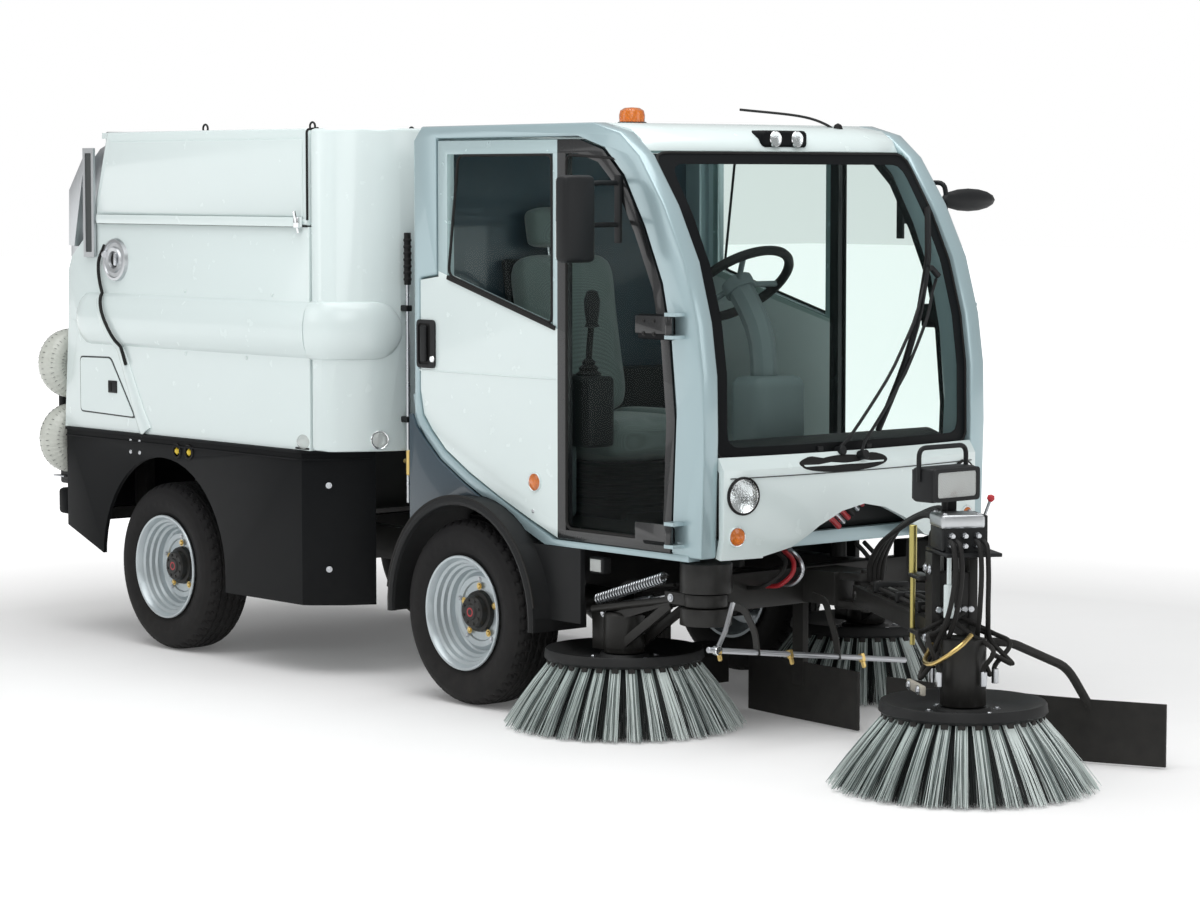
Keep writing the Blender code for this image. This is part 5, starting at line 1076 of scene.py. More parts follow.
@dataclass
class Brush:
    """A round brush: a dished disc that carries a ring of bristle tufts."""

    x: float
    y: float
    name: str
    disc_radius: float
    ground_radius: float
    root_z: float = 0.222
    tufts: int = 30
    across: int = 17
    rows: int = 4
    bristle: float = 0.00175
    deep_share: float = 0.33
    hub_bolt_circle: float = 0.105

    def disc(self) -> Patch:
        """The dished disc as one turned profile."""
        edge = self.disc_radius
        profile = [
            (0, 0.243), (0.078, 0.243), (0.084, 0.234), (edge * 0.55, 0.228),
            (edge * 0.78, 0.236), (edge - 0.012, 0.258), (edge + 0.002, 0.260),
            (edge + 0.006, 0.254), (edge + 0.009, self.root_z + 0.010), (edge - 0.002, self.root_z),
            (edge - 0.055, self.root_z - 0.004), (edge * 0.60, 0.206), (0, 0.206),
        ]
        return turned(profile, (self.x, self.y, 0), sides=64)

    def strands(self, seed: int, dark: bool) -> Looks:
        """All bristles of the light or the dark tufts, as one array.

        A bristle's middle is at radius r0 + (r1 - r0) s + 0.022 s (1 - s) and at height
        z0 + (z1 - z0) s, for s from 0 at the disc to 1 at the tip. Sideways it spreads from
        a narrow root to a wide tip, and a small random lean grows with s. Its three corners
        stand round that middle and draw in towards the tip.

        Args:
            seed: what the random leans start from.
            dark: whether these are the near-black tufts between the light ones, which paint the
                shade in the gaps between tufts.

        Returns:
            The surfaces with their finishes: a third of a light tuft's bristles are darker.
        """
        chance = np.random.default_rng(seed)
        count = (self.tufts, self.rows, self.across)
        base = np.arange(self.tufts) * 2 * np.pi / self.tufts + (np.pi / self.tufts if dark else 0)
        spread = np.linspace(-1, 1, self.across)[None, None, :]
        row = np.linspace(0, 1, self.rows)[None, :, None]
        lean = chance.normal(0, 1, (*count, 3))
        s = np.linspace(0, 1, 4)
        root_radius = self.disc_radius - 0.012 - 0.030 * row - (0.012 if dark else 0.0)
        tip_radius = self.ground_radius - 0.012 - 0.070 * row - (0.030 if dark else 0.0)
        root_half, tip_half = (0.009, 0.018) if dark else (0.0165, 0.0235)
        grow = s[None, None, None, :]
        radius = (root_radius + 0 * spread)[..., None] * (1 - grow) + (
            (tip_radius + 0.006 * lean[..., 0])[..., None] * grow)
        radius = radius + 0.022 * grow * (1 - grow)
        sideways = spread[..., None] * (root_half * (1 - grow) + tip_half * grow)
        sideways = sideways + 0.0045 * lean[..., 1, None] * grow**1.5
        tip_z = 0.006 + 0.004 * np.abs(lean[..., 2])
        height = self.root_z * (1 - grow) + np.clip(tip_z, 0.005, 0.02)[..., None] * grow
        radius = np.minimum(radius, self.ground_radius + 0.004)
        angle = base[:, None, None, None] + sideways / np.maximum(radius, 0.05)
        middle = np.stack([self.x + radius * np.cos(angle), self.y + radius * np.sin(angle),
                           height + 0 * angle], axis=-1)
        middle = middle.reshape(-1, len(s), 3)
        tangent = unit(np.gradient(middle, axis=1))
        side = unit(np.cross(tangent, (0, 0, 1.0)))
        rise = np.cross(side, tangent)
        ring = ring_section(1.0, 3)
        thick = self.bristle * (1 - 0.45 * s)[None, :, None, None]
        points = middle[:, :, None] + thick * (
            ring[None, None, :, :1] * side[:, :, None] + ring[None, None, :, 1:] * rise[:, :, None])
        strands, stations = middle.shape[:2]
        index = np.arange(strands * stations * 3).reshape(strands, stations, 3)
        after = np.roll(index, -1, axis=2)
        quads = np.stack([index[:, :-1], after[:, :-1], after[:, 1:], index[:, 1:]], axis=-1)
        # The tufts between the light ones are near black: painted shade of the gaps between tufts.
        if dark:
            shares = [(BRISTLE_GAP_SHADE, np.ones(strands, bool))]
        else:
            deep = chance.random(strands) < self.deep_share
            shares = [(BRISTLE, ~deep), (BRISTLE_DEEP, deep)]
        flat = points.reshape(-1, 3)
        return [(Patch(flat, quads[own].reshape(-1, 4),
                       np.concatenate([index[own, 0, ::-1], index[own, -1]])), finish)
                for finish, own in shares]

    def fittings(self) -> Looks:
        """The sockets that hold the tufts, and the hub's bolts."""
        turn = np.arange(self.tufts) * 2 * np.pi / self.tufts
        reach = self.disc_radius - 0.004
        cell = block((-0.012, -0.011, -0.012), (0.004, 0.011, 0.010), 0.003)
        matrices = np.tile(np.eye(4), (self.tufts, 1, 1))
        matrices[:, 0, 0], matrices[:, 0, 1] = np.cos(turn), -np.sin(turn)
        matrices[:, 1, 0], matrices[:, 1, 1] = np.sin(turn), np.cos(turn)
        matrices[:, 0, 3] = self.x + reach * np.cos(turn)
        matrices[:, 1, 3] = self.y + reach * np.sin(turn)
        matrices[:, 2, 3] = self.root_z - 0.002
        ring = np.column_stack([ring_section(self.hub_bolt_circle, 6) + (self.x, self.y),
                                np.full(6, 0.2315)])
        return [(copies(cell, matrices), RUBBER), (bolts(ring, (0, 0, 1), 0.008), PLATED)]

    def build(self) -> None:
        """Makes the disc with its tufts in place of the node."""
        piece(f"{self.name}_tufts", self.name, [
            *self.strands(7, False), *self.strands(11, True),
            (self.disc(), MOULDED), *self.fittings(),
        ], [self.name])


# Rear body


def draped(node: str, spots: Sequence, side: int, stand: float) -> np.ndarray:
    """Points on a node's outer side, found by looking at it from outside along Y.

    Args:
        node: the node of the frame.
        spots: rows of (x, z), with x from the front axle.
        side: -1 for the right side and 1 for the left one.
        stand: how far the points stand off the surface.

    Returns:
        The points, at the panel's own half width where nothing is met.
    """
    tree = BVHTree.FromObject(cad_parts[node], bpy.context.evaluated_depsgraph_get())
    rows = []
    for x, z in spots:
        met = tree.ray_cast(Vector((x + AXLE_X, side * 3.0, z)), Vector((0, -side, 0)))[0]
        rows.append((x, (side * 0.730 if met is None else met.y) + side * stand, z))
    return np.array(rows)


@dataclass
class RearBody:
    """Details of the skirt, the side panels, the front module and the hose at the back."""

    half_width: float = 0.730
    skirt_y: float = 0.735
    rear_x: float = -2.480
    seam_x: float = -0.858
    skirt_top: float = 0.826
    hose_x: float = -2.600
    hose_radius: float = 0.066
    hose_bend: float = 0.075
    hose_end_y: float = 0.650
    hose_top_z: float = 1.145
    rib_pitch: float = 0.0125
    body: str = "rear_chassis"

    def hose_path(self) -> np.ndarray:
        """The middle of the hose: four level runs joined by half circles at their ends."""
        turn = np.linspace(0, np.pi, 25)
        parts = [[(self.hose_x, self.hose_end_y - 0.15, self.hose_top_z)]]
        for run in range(3):
            side = -1 if run % 2 == 0 else 1
            z = self.hose_top_z - (2 * run + 1) * self.hose_bend
            parts.append(np.stack([
                np.full(len(turn), self.hose_x),
                side * (self.hose_end_y + self.hose_bend * np.sin(turn)),
                z + self.hose_bend * np.cos(turn)], axis=-1))
        parts.append([(self.hose_x, self.hose_end_y - 0.15, self.hose_top_z - 6 * self.hose_bend)])
        return np.vstack(parts)

    def hose(self) -> None:
        """The ribbed hose: its radius swells by 2 mm once each rib, with a wire in the ribs."""
        knots = self.hose_path()
        length = lengths(knots)[-1]
        ribs = int(length / self.rib_pitch)
        along = np.linspace(0, length, ribs * 3 + 1)
        swell = 1 - 0.016 * (1 - np.cos(2 * np.pi * along / self.rib_pitch))
        skin = swept(points_at(knots, along), ring_section(self.hose_radius - 0.001, 18),
                     scale=swell)
        fine = np.linspace(0, length, ribs * 9 + 1)
        line = points_at(knots, fine)
        tangent = unit(np.gradient(line, axis=0))
        first = np.tile((1.0, 0, 0), (len(line), 1))
        second = np.cross(tangent, first)
        turn = 2 * np.pi * fine / self.rib_pitch
        out = np.cos(turn)[:, None] * first + np.sin(turn)[:, None] * second
        wire = swept(line + (self.hose_radius - 0.0012) * out, ring_section(0.0014, 3))
        ends = [(self.hose_x, self.hose_end_y - gap) for gap in (0.16, 0.10)]
        collars = [rod((*ends[0], z), (*ends[1], z), self.hose_radius + 0.004, 28)
                   for z in (self.hose_top_z, self.hose_top_z - 6 * self.hose_bend)]
        piece("ribbed_wander_hose", self.body,
              [(skin, HOSE_WHITE), (wire, HOSE_WIRE), (together(collars), RUBBER)],
              ["wander_hose"])

    def hose_holders(self) -> None:
        """Two upright black holders per side that keep the hose's bends, with end caps."""
        looks = []
        x = self.hose_x + 0.005
        for side in (-1, 1):
            y = side * 0.640
            post = [rod((x - 0.078, y, low), (x - 0.078, y, high), radius, 18)
                    for low, high, radius in ((0.860, 1.165, 0.018), (1.160, 1.178, 0.022),
                                              (0.848, 0.866, 0.022))]
            arm = block((x - 0.082, y - 0.012, 1.150), (self.rear_x - 0.01, y + 0.012, 1.170))
            low = block((x - 0.062, y - 0.030, 0.585), (x + 0.060, y + 0.030, 0.668), 0.010)
            shelf = block((x - 0.090, y - 0.045, 0.612), (x - 0.010, y + 0.045, 0.618), 0.002)
            looks += [(together([*post, arm]), MOULDED), (low, MOULDED), (shelf, PLATED)]
        piece("hose_holders", self.body, looks)

    def skirt_details(self) -> None:
        """The double ledge, bolts, grommets and corner bolts of the black skirt."""
        ledge = []
        path = [(self.rear_x - 0.012, 0.7385), (self.seam_x - 0.048, 0.7385),
                (self.seam_x - 0.016, 0.717), (self.seam_x + 0.052, 0.632),
                (self.seam_x + 0.100, 0.540)]
        for side in (-1, 1):
            for z, size in ((self.skirt_top - 0.006, 0.010), (self.skirt_top - 0.034, 0.006)):
                line = [(x, side * (y + 0.001), z) for x, y in path]
                ledge.append(swept(bent(line, 0.03, 4), bar_section(size, size)))
        looks = [(together(ledge), SKIRT_BLACK)]
        for side in (-1, 1):
            out = (0, side, 0)
            y = side * self.skirt_y
            dots = [(x, y, z) for x in (-2.035, -1.972) for z in (0.796, 0.752)]
            looks.append((domes(dots, out, 0.0085), PLATED))
            for x in (-1.714, -1.633):
                ring = [(0, 0), (0.020, 0), (0.022, 0.004), (0.029, 0.005), (0.031, 0)]
                core = [(0, 0.006), (0.008, 0.0055), (0.013, 0.001), (0.014, 0)]
                looks += [(turned(ring, (x, y, 0.774), out, 28), RUBBER),
                          (turned(core, (x, y, 0.774), out, 6), YELLOW)]
            for z in (0.700, 0.395):
                place = (self.seam_x + 0.030, side * 0.6725, z)
                looks.append((bolts([place], (0.80, side * 0.58, 0), 0.0075), PLATED))
        piece("skirt_fittings", self.body, looks)

    def side_details(self) -> None:
        """Both sides' rivets, and the right side's door, hose cover, coupling and lamp."""
        looks = []
        for side in (-1, 1):
            y = side * (self.half_width + 0.0005)
            spots = [(-2.10, 1.146), (-1.655, 1.146), (-1.255, 1.146), (-1.655, 1.384),
                     (-1.090, 1.384)]
            looks.append((domes([(x, y, z) for x, z in spots], (0, side, 0), 0.0075), WHITE))
        piece("side_panel_fittings", self.body, [
            *looks, *self.service_door(), *self.hose_cover(), *self.drain_coupling(),
            *self.side_lamp()])

    def service_door(self) -> Looks:
        """The small door in the right side, a dark plate round it as painted shade of its shut
        line, and its latch.
        """
        y = -self.half_width
        door = rounded([(-2.392, 0.896), (-2.012, 0.888), (-2.178, 1.108), (-2.392, 1.104)], 0.018)
        # gap outlines a dark plate a little larger than the door: painted shade in the shut line
        # round it.
        gap = rounded([(-2.398, 0.890), (-2.001, 0.882), (-2.174, 1.114), (-2.398, 1.110)], 0.020)
        return [
            (plate(gap, Plane.XZ, y - 0.0010, y + 0.001), PAINTED_GAP_SHADE),
            (plate(door, Plane.XZ, y - 0.0032, y), WHITE),
            (block((-2.190, y - 0.0072, 0.974), (-2.128, y, 1.022), 0.004), MOULDED),
            (block((-2.184, y - 0.0095, 0.980), (-2.162, y - 0.005, 1.016), 0.003), RUBBER)]

    def hose_cover(self) -> Looks:
        """The slanted cover that widens downwards on the right side, and the hose on it."""
        knots = [(-2.235, 1.345), (-2.165, 1.235), (-2.095, 1.130), (-2.030, 1.010),
                 (-1.975, 0.905), (-1.930, 0.832)]
        cover = draped("side_panel_right", smooth(knots, 8), -1, 0.001)
        widths = np.linspace(0.35, 1.0, len(cover))
        oval = ring_section(1.0, 16) * (0.040, 0.012)
        across = unit(np.cross(np.gradient(cover, axis=0), (0, 1.0, 0)))
        points = cover[:, None] + widths[:, None, None] * (
            oval[None, :, :1] * across[:, None] + oval[None, :, 1:] * np.array([0, 1.0, 0]))
        course = smooth([(-2.195, 1.548), (-2.238, 1.480), (-2.228, 1.395), (-2.180, 1.305),
                         (-2.120, 1.215), (-2.072, 1.128), (-2.052, 1.088)], 8)
        hose = draped("side_panel_right", course, -1, 0.012)
        return [(net(points, False, True, True, True), WHITE), (pipe(hose, 0.0065, 10), RUBBER)]

    def drain_coupling(self) -> Looks:
        """The steel rings of the coupling in the right side, with its stub and its lever."""
        y = -self.half_width
        centre = (-2.128, y, 1.492)
        rings = [(0, 0.004), (0.030, 0.004), (0.034, 0.016), (0.048, 0.018), (0.052, 0.010),
                 (0.066, 0.010), (0.070, 0.015), (0.080, 0.013), (0.084, 0.0)]
        cap = [(0, 0.0065), (0.028, 0.0065), (0.029, 0.003)]
        return [
            (turned(rings, centre, (0, -1, 0), 40), STEEL),
            (turned(cap, centre, (0, -1, 0), 28), RUBBER),
            (rod((-2.205, y - 0.004, 1.512), (-2.175, y - 0.022, 1.512), 0.014, 14), PLATED),
            (block((-2.112, y - 0.026, 1.470), (-2.098, y - 0.006, 1.520), 0.004), PLATED)]

    def side_lamp(self) -> Looks:
        """The oval lamp low in the right side, by its front corner."""
        y = -self.half_width
        lens = turned([(0, 0.012), (0.020, 0.010), (0.032, 0.004), (0.036, 0)], sides=28)
        place = np.eye(4)
        place[:3, 0], place[:3, 1], place[:3, 2] = (1.1, 0, 0), (0, 0, 0.75), (0, -1, 0)
        place[:3, 3] = (-0.905, y, 0.856)
        return [(copies(lens, place[None]), CLEAR),
                (block((-0.950, y - 0.002, 0.829), (-0.866, y, 0.836), 0.001), RUBBER)]

    def gap_fittings(self) -> None:
        """What stands before the front module: the hand lance in its clips, a lamp, a tap."""
        x, y = self.seam_x + 0.236, -0.468
        lance = rod((x, y, 0.640), (x, y, 1.430), 0.0075, 14)
        grip = rod((x, y, 1.425), (x, y, 1.612), 0.0125, 16)
        rings = np.stack([np.full(7, x), np.full(7, y), np.linspace(1.445, 1.585, 7)], axis=-1)
        ribs = copies(turned([(0.0125, -0.006), (0.0150, -0.003), (0.0150, 0.003), (0.0125, 0.006)],
                             sides=16), facing(rings, (0, 0, 1)))
        clips = [block((x - 0.034, y - 0.014, z), (x + 0.010, y + 0.014, z + 0.022), 0.004)
                 for z in (0.930, 1.330)]
        tap = together([rod((x + 0.004, y, 0.740), (x + 0.004, y, 0.830), 0.012, 12),
                        rod((x - 0.020, y, 0.790), (x + 0.010, y, 0.790), 0.009, 12)])
        piece("gap_fittings", self.body, [
            (lance, PLATED), (together([grip, ribs]), RUBBER), (together(clips), MOULDED),
            *lamp((self.seam_x + 0.181, -0.555, 0.868), (0.912, -0.410, 0), 0.034, CLEAR, CHROME),
            (tap, BRASS)])

    def rear_lamps(self) -> None:
        """Three round lamps on each side of the skirt's rear."""
        ring = [(0, 0.001), (0.036, 0.001), (0.038, 0.010), (0.034, 0.012), (0.031, 0.004),
                (0, 0.004)]
        lens = [(0, 0.014), (0.018, 0.012), (0.030, 0.005)]
        looks = []
        for side in (-1, 1):
            for y, finish in ((0.585, AMBER), (0.500, REAR_RED), (0.415, CLEAR)):
                centre = (self.rear_x - 0.046, side * y, 0.700)
                looks += [(turned(ring, centre, (-1, 0, 0), 32), RUBBER),
                          (turned(lens, centre, (-1, 0, 0), 32), finish)]
        piece("rear_lamps", self.body, looks)

    def build(self) -> None:
        """Makes every piece of the rear body."""
        self.hose()
        self.hose_holders()
        self.skirt_details()
        self.side_details()
        self.gap_fittings()
        self.rear_lamps()


@dataclass
class HopperDetails:
    """The seals, latches, channel and lifting rings of the hopper and its tailgate."""

    half_width: float = 0.730
    front_x: float = -0.864
    ledge_z: float = 1.637
    roof_z: float = 1.985

    def build(self) -> None:
        """Makes the hopper's and the tailgate's fittings."""
        piece("hopper_fittings", "hopper", [*self.one_side(-1), *self.one_side(1)])
        handle = bent([(-2.530, -0.28, 1.520), (-2.556, -0.28, 1.520), (-2.556, 0.28, 1.520),
                       (-2.530, 0.28, 1.520)], 0.02, 5)
        locks = [block((-2.540, y - 0.03, 1.455), (-2.505, y + 0.03, 1.500), 0.006)
                 for y in (-0.55, 0.55)]
        piece("tailgate_fittings", "tailgate", [(pipe(handle, 0.011, 12), PLATED),
                                                (together(locks), MOULDED)])

    def one_side(self, side: int) -> Looks:
        """One side's seals, a black bar of painted shadow under the ledge, steel channel with
        painted shade in its slot, latch and lifting rings.

        Args:
            side: -1 for the right side and 1 for the left one.

        Returns:
            The surfaces with their finishes.
        """
        y = side * self.half_width
        skin, front = y + side * 0.001, self.front_x - 0.004
        seal = bent([(front, skin, self.ledge_z + 0.020), (front, skin, self.roof_z - 0.004),
                     (front, y - side * 0.05, self.roof_z + 0.001)], 0.012, 4)
        # A thin black bar just below the ledge strip, in black rubber's finish: painted shadow
        # under the ledge.
        line = [(x, skin, self.ledge_z - 0.003) for x in (-2.250, front)]
        slot = oblong((-2.322, 1.520), (-2.278, 1.905), 0.004)
        channel = oblong((-2.338, 1.500), (-2.262, 1.925), 0.004)
        ends = sorted((y + side * 0.0165, y + side * 0.0065))
        strip = block((-2.245, y + side * 0.012, self.ledge_z - 0.004),
                      (self.front_x - 0.020, y + side * 0.0155, self.ledge_z + 0.030), 0.0015)
        catch = [block((-0.925, y, 1.628), (-0.895, y + side * 0.024, 1.668), 0.004),
                 rod((-0.910, y + side * 0.010, 1.610), (-0.910, y + side * 0.030, 1.690), 0.006,
                     10)]
        looks = [(pipe(seal, 0.0045, 8), RUBBER), (swept(line, bar_section(0.005, 0.005)), RUBBER),
                 (plate(channel, Plane.XZ, *ends, [slot]), STEEL),
                 # The dark plate inside the channel's slot is painted shade of the slot's depth.
                 (plate(slot, Plane.XZ, ends[0] + 0.003, ends[0] + 0.005), PAINTED_GAP_SHADE),
                 (strip, WHITE), (together(catch), CHROME)]
        for x in (-1.848, -1.150):
            eye = turned(ring_section(0.004, 8) + (0.016, 0), (x, side * 0.5, self.roof_z + 0.012),
                         (0, 1, 0), 24, True)
            foot = block((x - 0.020, side * 0.5 - 0.012, self.roof_z - 0.001),
                         (x + 0.020, side * 0.5 + 0.012, self.roof_z + 0.005), 0.002)
            looks.append((together([eye, foot]), CHASSIS))
        return looks


# Cab


def evened(loop: np.ndarray, count: int) -> np.ndarray:
    """A closed flat outline's points spread evenly along its length."""
    ring = np.vstack([loop, loop[:1]])
    return points_at(ring, np.linspace(0, lengths(ring)[-1], count, endpoint=False))


def lamp(
    centre: Sequence[float], axis: Sequence[float], radius: float, lens: Finish,
    bezel: Finish | None = None,
) -> Looks:
    """A round lamp: a bezel ring, a reflector inside it and a low domed lens.

    Args:
        centre: where its back meets what carries it.
        axis: the direction it faces.
        radius: the bezel's outer radius.
        lens: the finish of the lens.
        bezel: the finish of the ring, black if none is given.

    Returns:
        The surfaces with their finishes.
    """
    ring = [(0.86, 0.00), (0.88, 0.14), (0.94, 0.18), (1.0, 0.10), (1.0, -0.12), (0.86, -0.12)]
    bowl = [(0, 0.02), (0.3, 0.03), (0.7, 0.07), (0.88, 0.13)]
    dome = [(0, 0.30), (0.35, 0.27), (0.65, 0.19), (0.87, 0.10)]
    shapes = [turned(np.array(rows) * radius, centre, axis, 36, closed)
              for rows, closed in ((ring, True), (bowl, False), (dome, False))]
    return list(zip(shapes, (bezel or RUBBER, REFLECTOR, lens)))


@dataclass
class CabFront:
    """The bowed windscreen and nose: what lies on them follows their one surface."""

    heights: tuple[float, ...] = (0.595, 0.66, 0.870, 0.905, 0.906, 1.178, 1.348, 1.528, 1.693,
                                  1.813, 1.892)
    places: tuple[float, ...] = (1.154, 1.170, 1.169, 1.151, 1.122, 1.1175, 1.0925, 1.0375, 0.9525,
                                 0.8725, 0.8175)
    bow: float = 0.050
    half_width: float = 0.585
    body: str = "front_chassis"

    def on(self, y: object, z: object, stand: float | np.ndarray = 0.0) -> np.ndarray:
        """Points on the front: x = s(z) + b (1 - (y/w)^2), moved out along the normal.

        Args:
            y: where across.
            z: how high.
            stand: how far the points stand off the surface.

        Returns:
            The points.
        """
        y, z = np.broadcast_arrays(np.asarray(y, float), np.asarray(z, float))
        along = lambda height: np.interp(height, self.heights, self.places)
        x = along(z) + self.bow * (1 - (y / self.half_width) ** 2)
        slope = (along(z + 0.02) - along(z - 0.02)) / 0.04
        bend = 2 * self.bow * y / self.half_width**2
        normal = unit(np.stack([np.ones_like(x), bend, -slope], axis=-1))
        return np.stack([x, y, z], axis=-1) + np.asarray(stand)[..., None] * normal

    def screen_edge(self) -> None:
        """The black printed border and the rubber seal round the windscreen."""
        outer = evened(oblong((-0.583, 0.909), (0.583, 1.888), 0.05, 6), 160)
        middle = np.array([0, 1.40])
        inner = middle + (outer - middle) * (0.915, 0.925)
        rings = [self.on(loop[:, 0], loop[:, 1], stand) for loop, stand in (
            (outer, 0.0004), (outer, 0.0016), (inner, 0.0016), (inner, 0.0004))]
        seal = swept(self.on(outer[:, 0], outer[:, 1], 0.0015), ring_section(0.0055, 8), True)
        piece("screen_border", self.body, [(net(np.stack(rings), True, True), SKIRT_BLACK),
                                           (seal, RUBBER)])

    def wiper(self) -> None:
        """The long parallel wiper: two arms from the well, the blade and its carrier."""
        looks = []
        share = np.linspace(0, 1, 14)
        lift = 0.012 + 0.020 * np.sin(np.pi * np.clip(share * 1.1, 0, 1)) ** 0.7
        for foot, head in (((-0.083, 0.915), (0.444, 1.500)), ((-0.010, 0.900), (0.470, 1.462))):
            line = np.array(foot) + share[:, None] * (np.array(head) - foot)
            looks.append((pipe(self.on(line[:, 0], line[:, 1], lift), 0.0055, 8), MOULDED))
            hub = self.on(*foot, 0.0)
            looks.append((rod(hub, hub + (0.034, 0, 0.006), 0.016, 16), MOULDED))
        line = np.array((0.100, 0.975)) + share[:, None] * np.array((0.455, 0.725))
        rubber = self.on(line[:, 0], line[:, 1], 0.006)
        carrier = self.on(line[:, 0], line[:, 1], 0.015 + 0.004 * np.sin(np.pi * share))
        looks.append((swept(rubber, bar_section(0.007, 0.012)), RUBBER))
        looks.append((swept(carrier, bar_section(0.014, 0.008)), MOULDED))
        grip = self.on(np.array((0.425, 0.447, 0.475)), np.array((1.500, 1.497, 1.470)), 0.020)
        looks.append((pipe(grip, 0.011, 10), MOULDED))
        piece("windscreen_wiper", self.body, looks)

    def nose(self) -> None:
        """Lamps, the wiper's well, its spray jets and a dark strip of painted shade along a gap
        line on the nose.
        """
        looks = []
        for side in (-1, 1):
            slant = unit(np.array([1.0, side * 0.15, 0.0]))
            looks += lamp(self.on(side * 0.512, 0.795, -0.001), slant, 0.062, LAMP_GLASS)
            looks += lamp(self.on(side * 0.535, 0.665, -0.001), slant, 0.034, AMBER, WHITE)
        oval = ring_section(1.0, 48) * (0.200, 0.032)
        rings = [self.on(-0.085 + share * oval[:, 0], 0.884 + share * oval[:, 1], stand)
                 for share, stand in ((1.0, -0.004), (0.98, 0.003), (0.94, 0.004), (0.90, 0.0022),
                                      (0.6, 0.0022), (0.3, 0.0022), (0.02, 0.0022))]
        looks.append((net(np.stack(rings), False, True, True, True), RUBBER))
        half = np.array((0.006, 0.012, 0.008))
        jets = [block(spot - half, spot + half, 0.003)
                for spot in (self.on(y, 0.925, 0.004) for y in (-0.16, 0.06))]
        looks.append((together(jets), MOULDED))
        # A dark strip along the nose at 0.852 m paints the shade of a gap line.
        line = self.on(np.linspace(-0.560, 0.560, 40), 0.852, 0.0008)
        looks.append((swept(line, bar_section(0.004, 0.003)), PAINTED_GAP_SHADE))
        piece("nose_fittings", self.body, looks)

    def roof(self) -> None:
        """The twin lamps in their recess, the beacon and the aerial."""
        looks = [(block((0.728, -0.105, 1.906), (0.842, 0.105, 1.965), 0.016), SKIRT_BLACK)]
        for y in (-0.050, 0.050):
            looks += lamp((0.842, y, 1.936), (1, 0, 0.05), 0.027, LAMP_GLASS, CHROME)
        base = [(0, 1.975), (0.052, 1.975), (0.054, 1.990), (0.046, 1.996), (0, 1.996)]
        dome = [(0.043, 1.996), (0.044, 2.018), (0.040, 2.034), (0.026, 2.043), (0, 2.045)]
        beacon = (0.404, -0.300, 0)
        looks += [(turned(base, beacon), RUBBER), (turned(dome, beacon), AMBER)]
        whip = smooth([(0.690, 0.40, 1.955), (0.640, 0.385, 1.992), (0.540, 0.350, 2.022),
                       (0.330, 0.270, 2.046)], 6)
        looks.append((pipe(whip, 0.0045, 8), RUBBER))
        looks.append((turned([(0, 1.996), (0.012, 1.990), (0.020, 1.968), (0.02, 1.940)],
                             (0.685, 0.40, 0), sides=18), RUBBER))
        piece("roof_fittings", self.body, looks)

    def build(self) -> None:
        """Makes every piece of the cab's front and roof."""
        self.screen_edge()
        self.wiper()
        self.nose()
        self.roof()


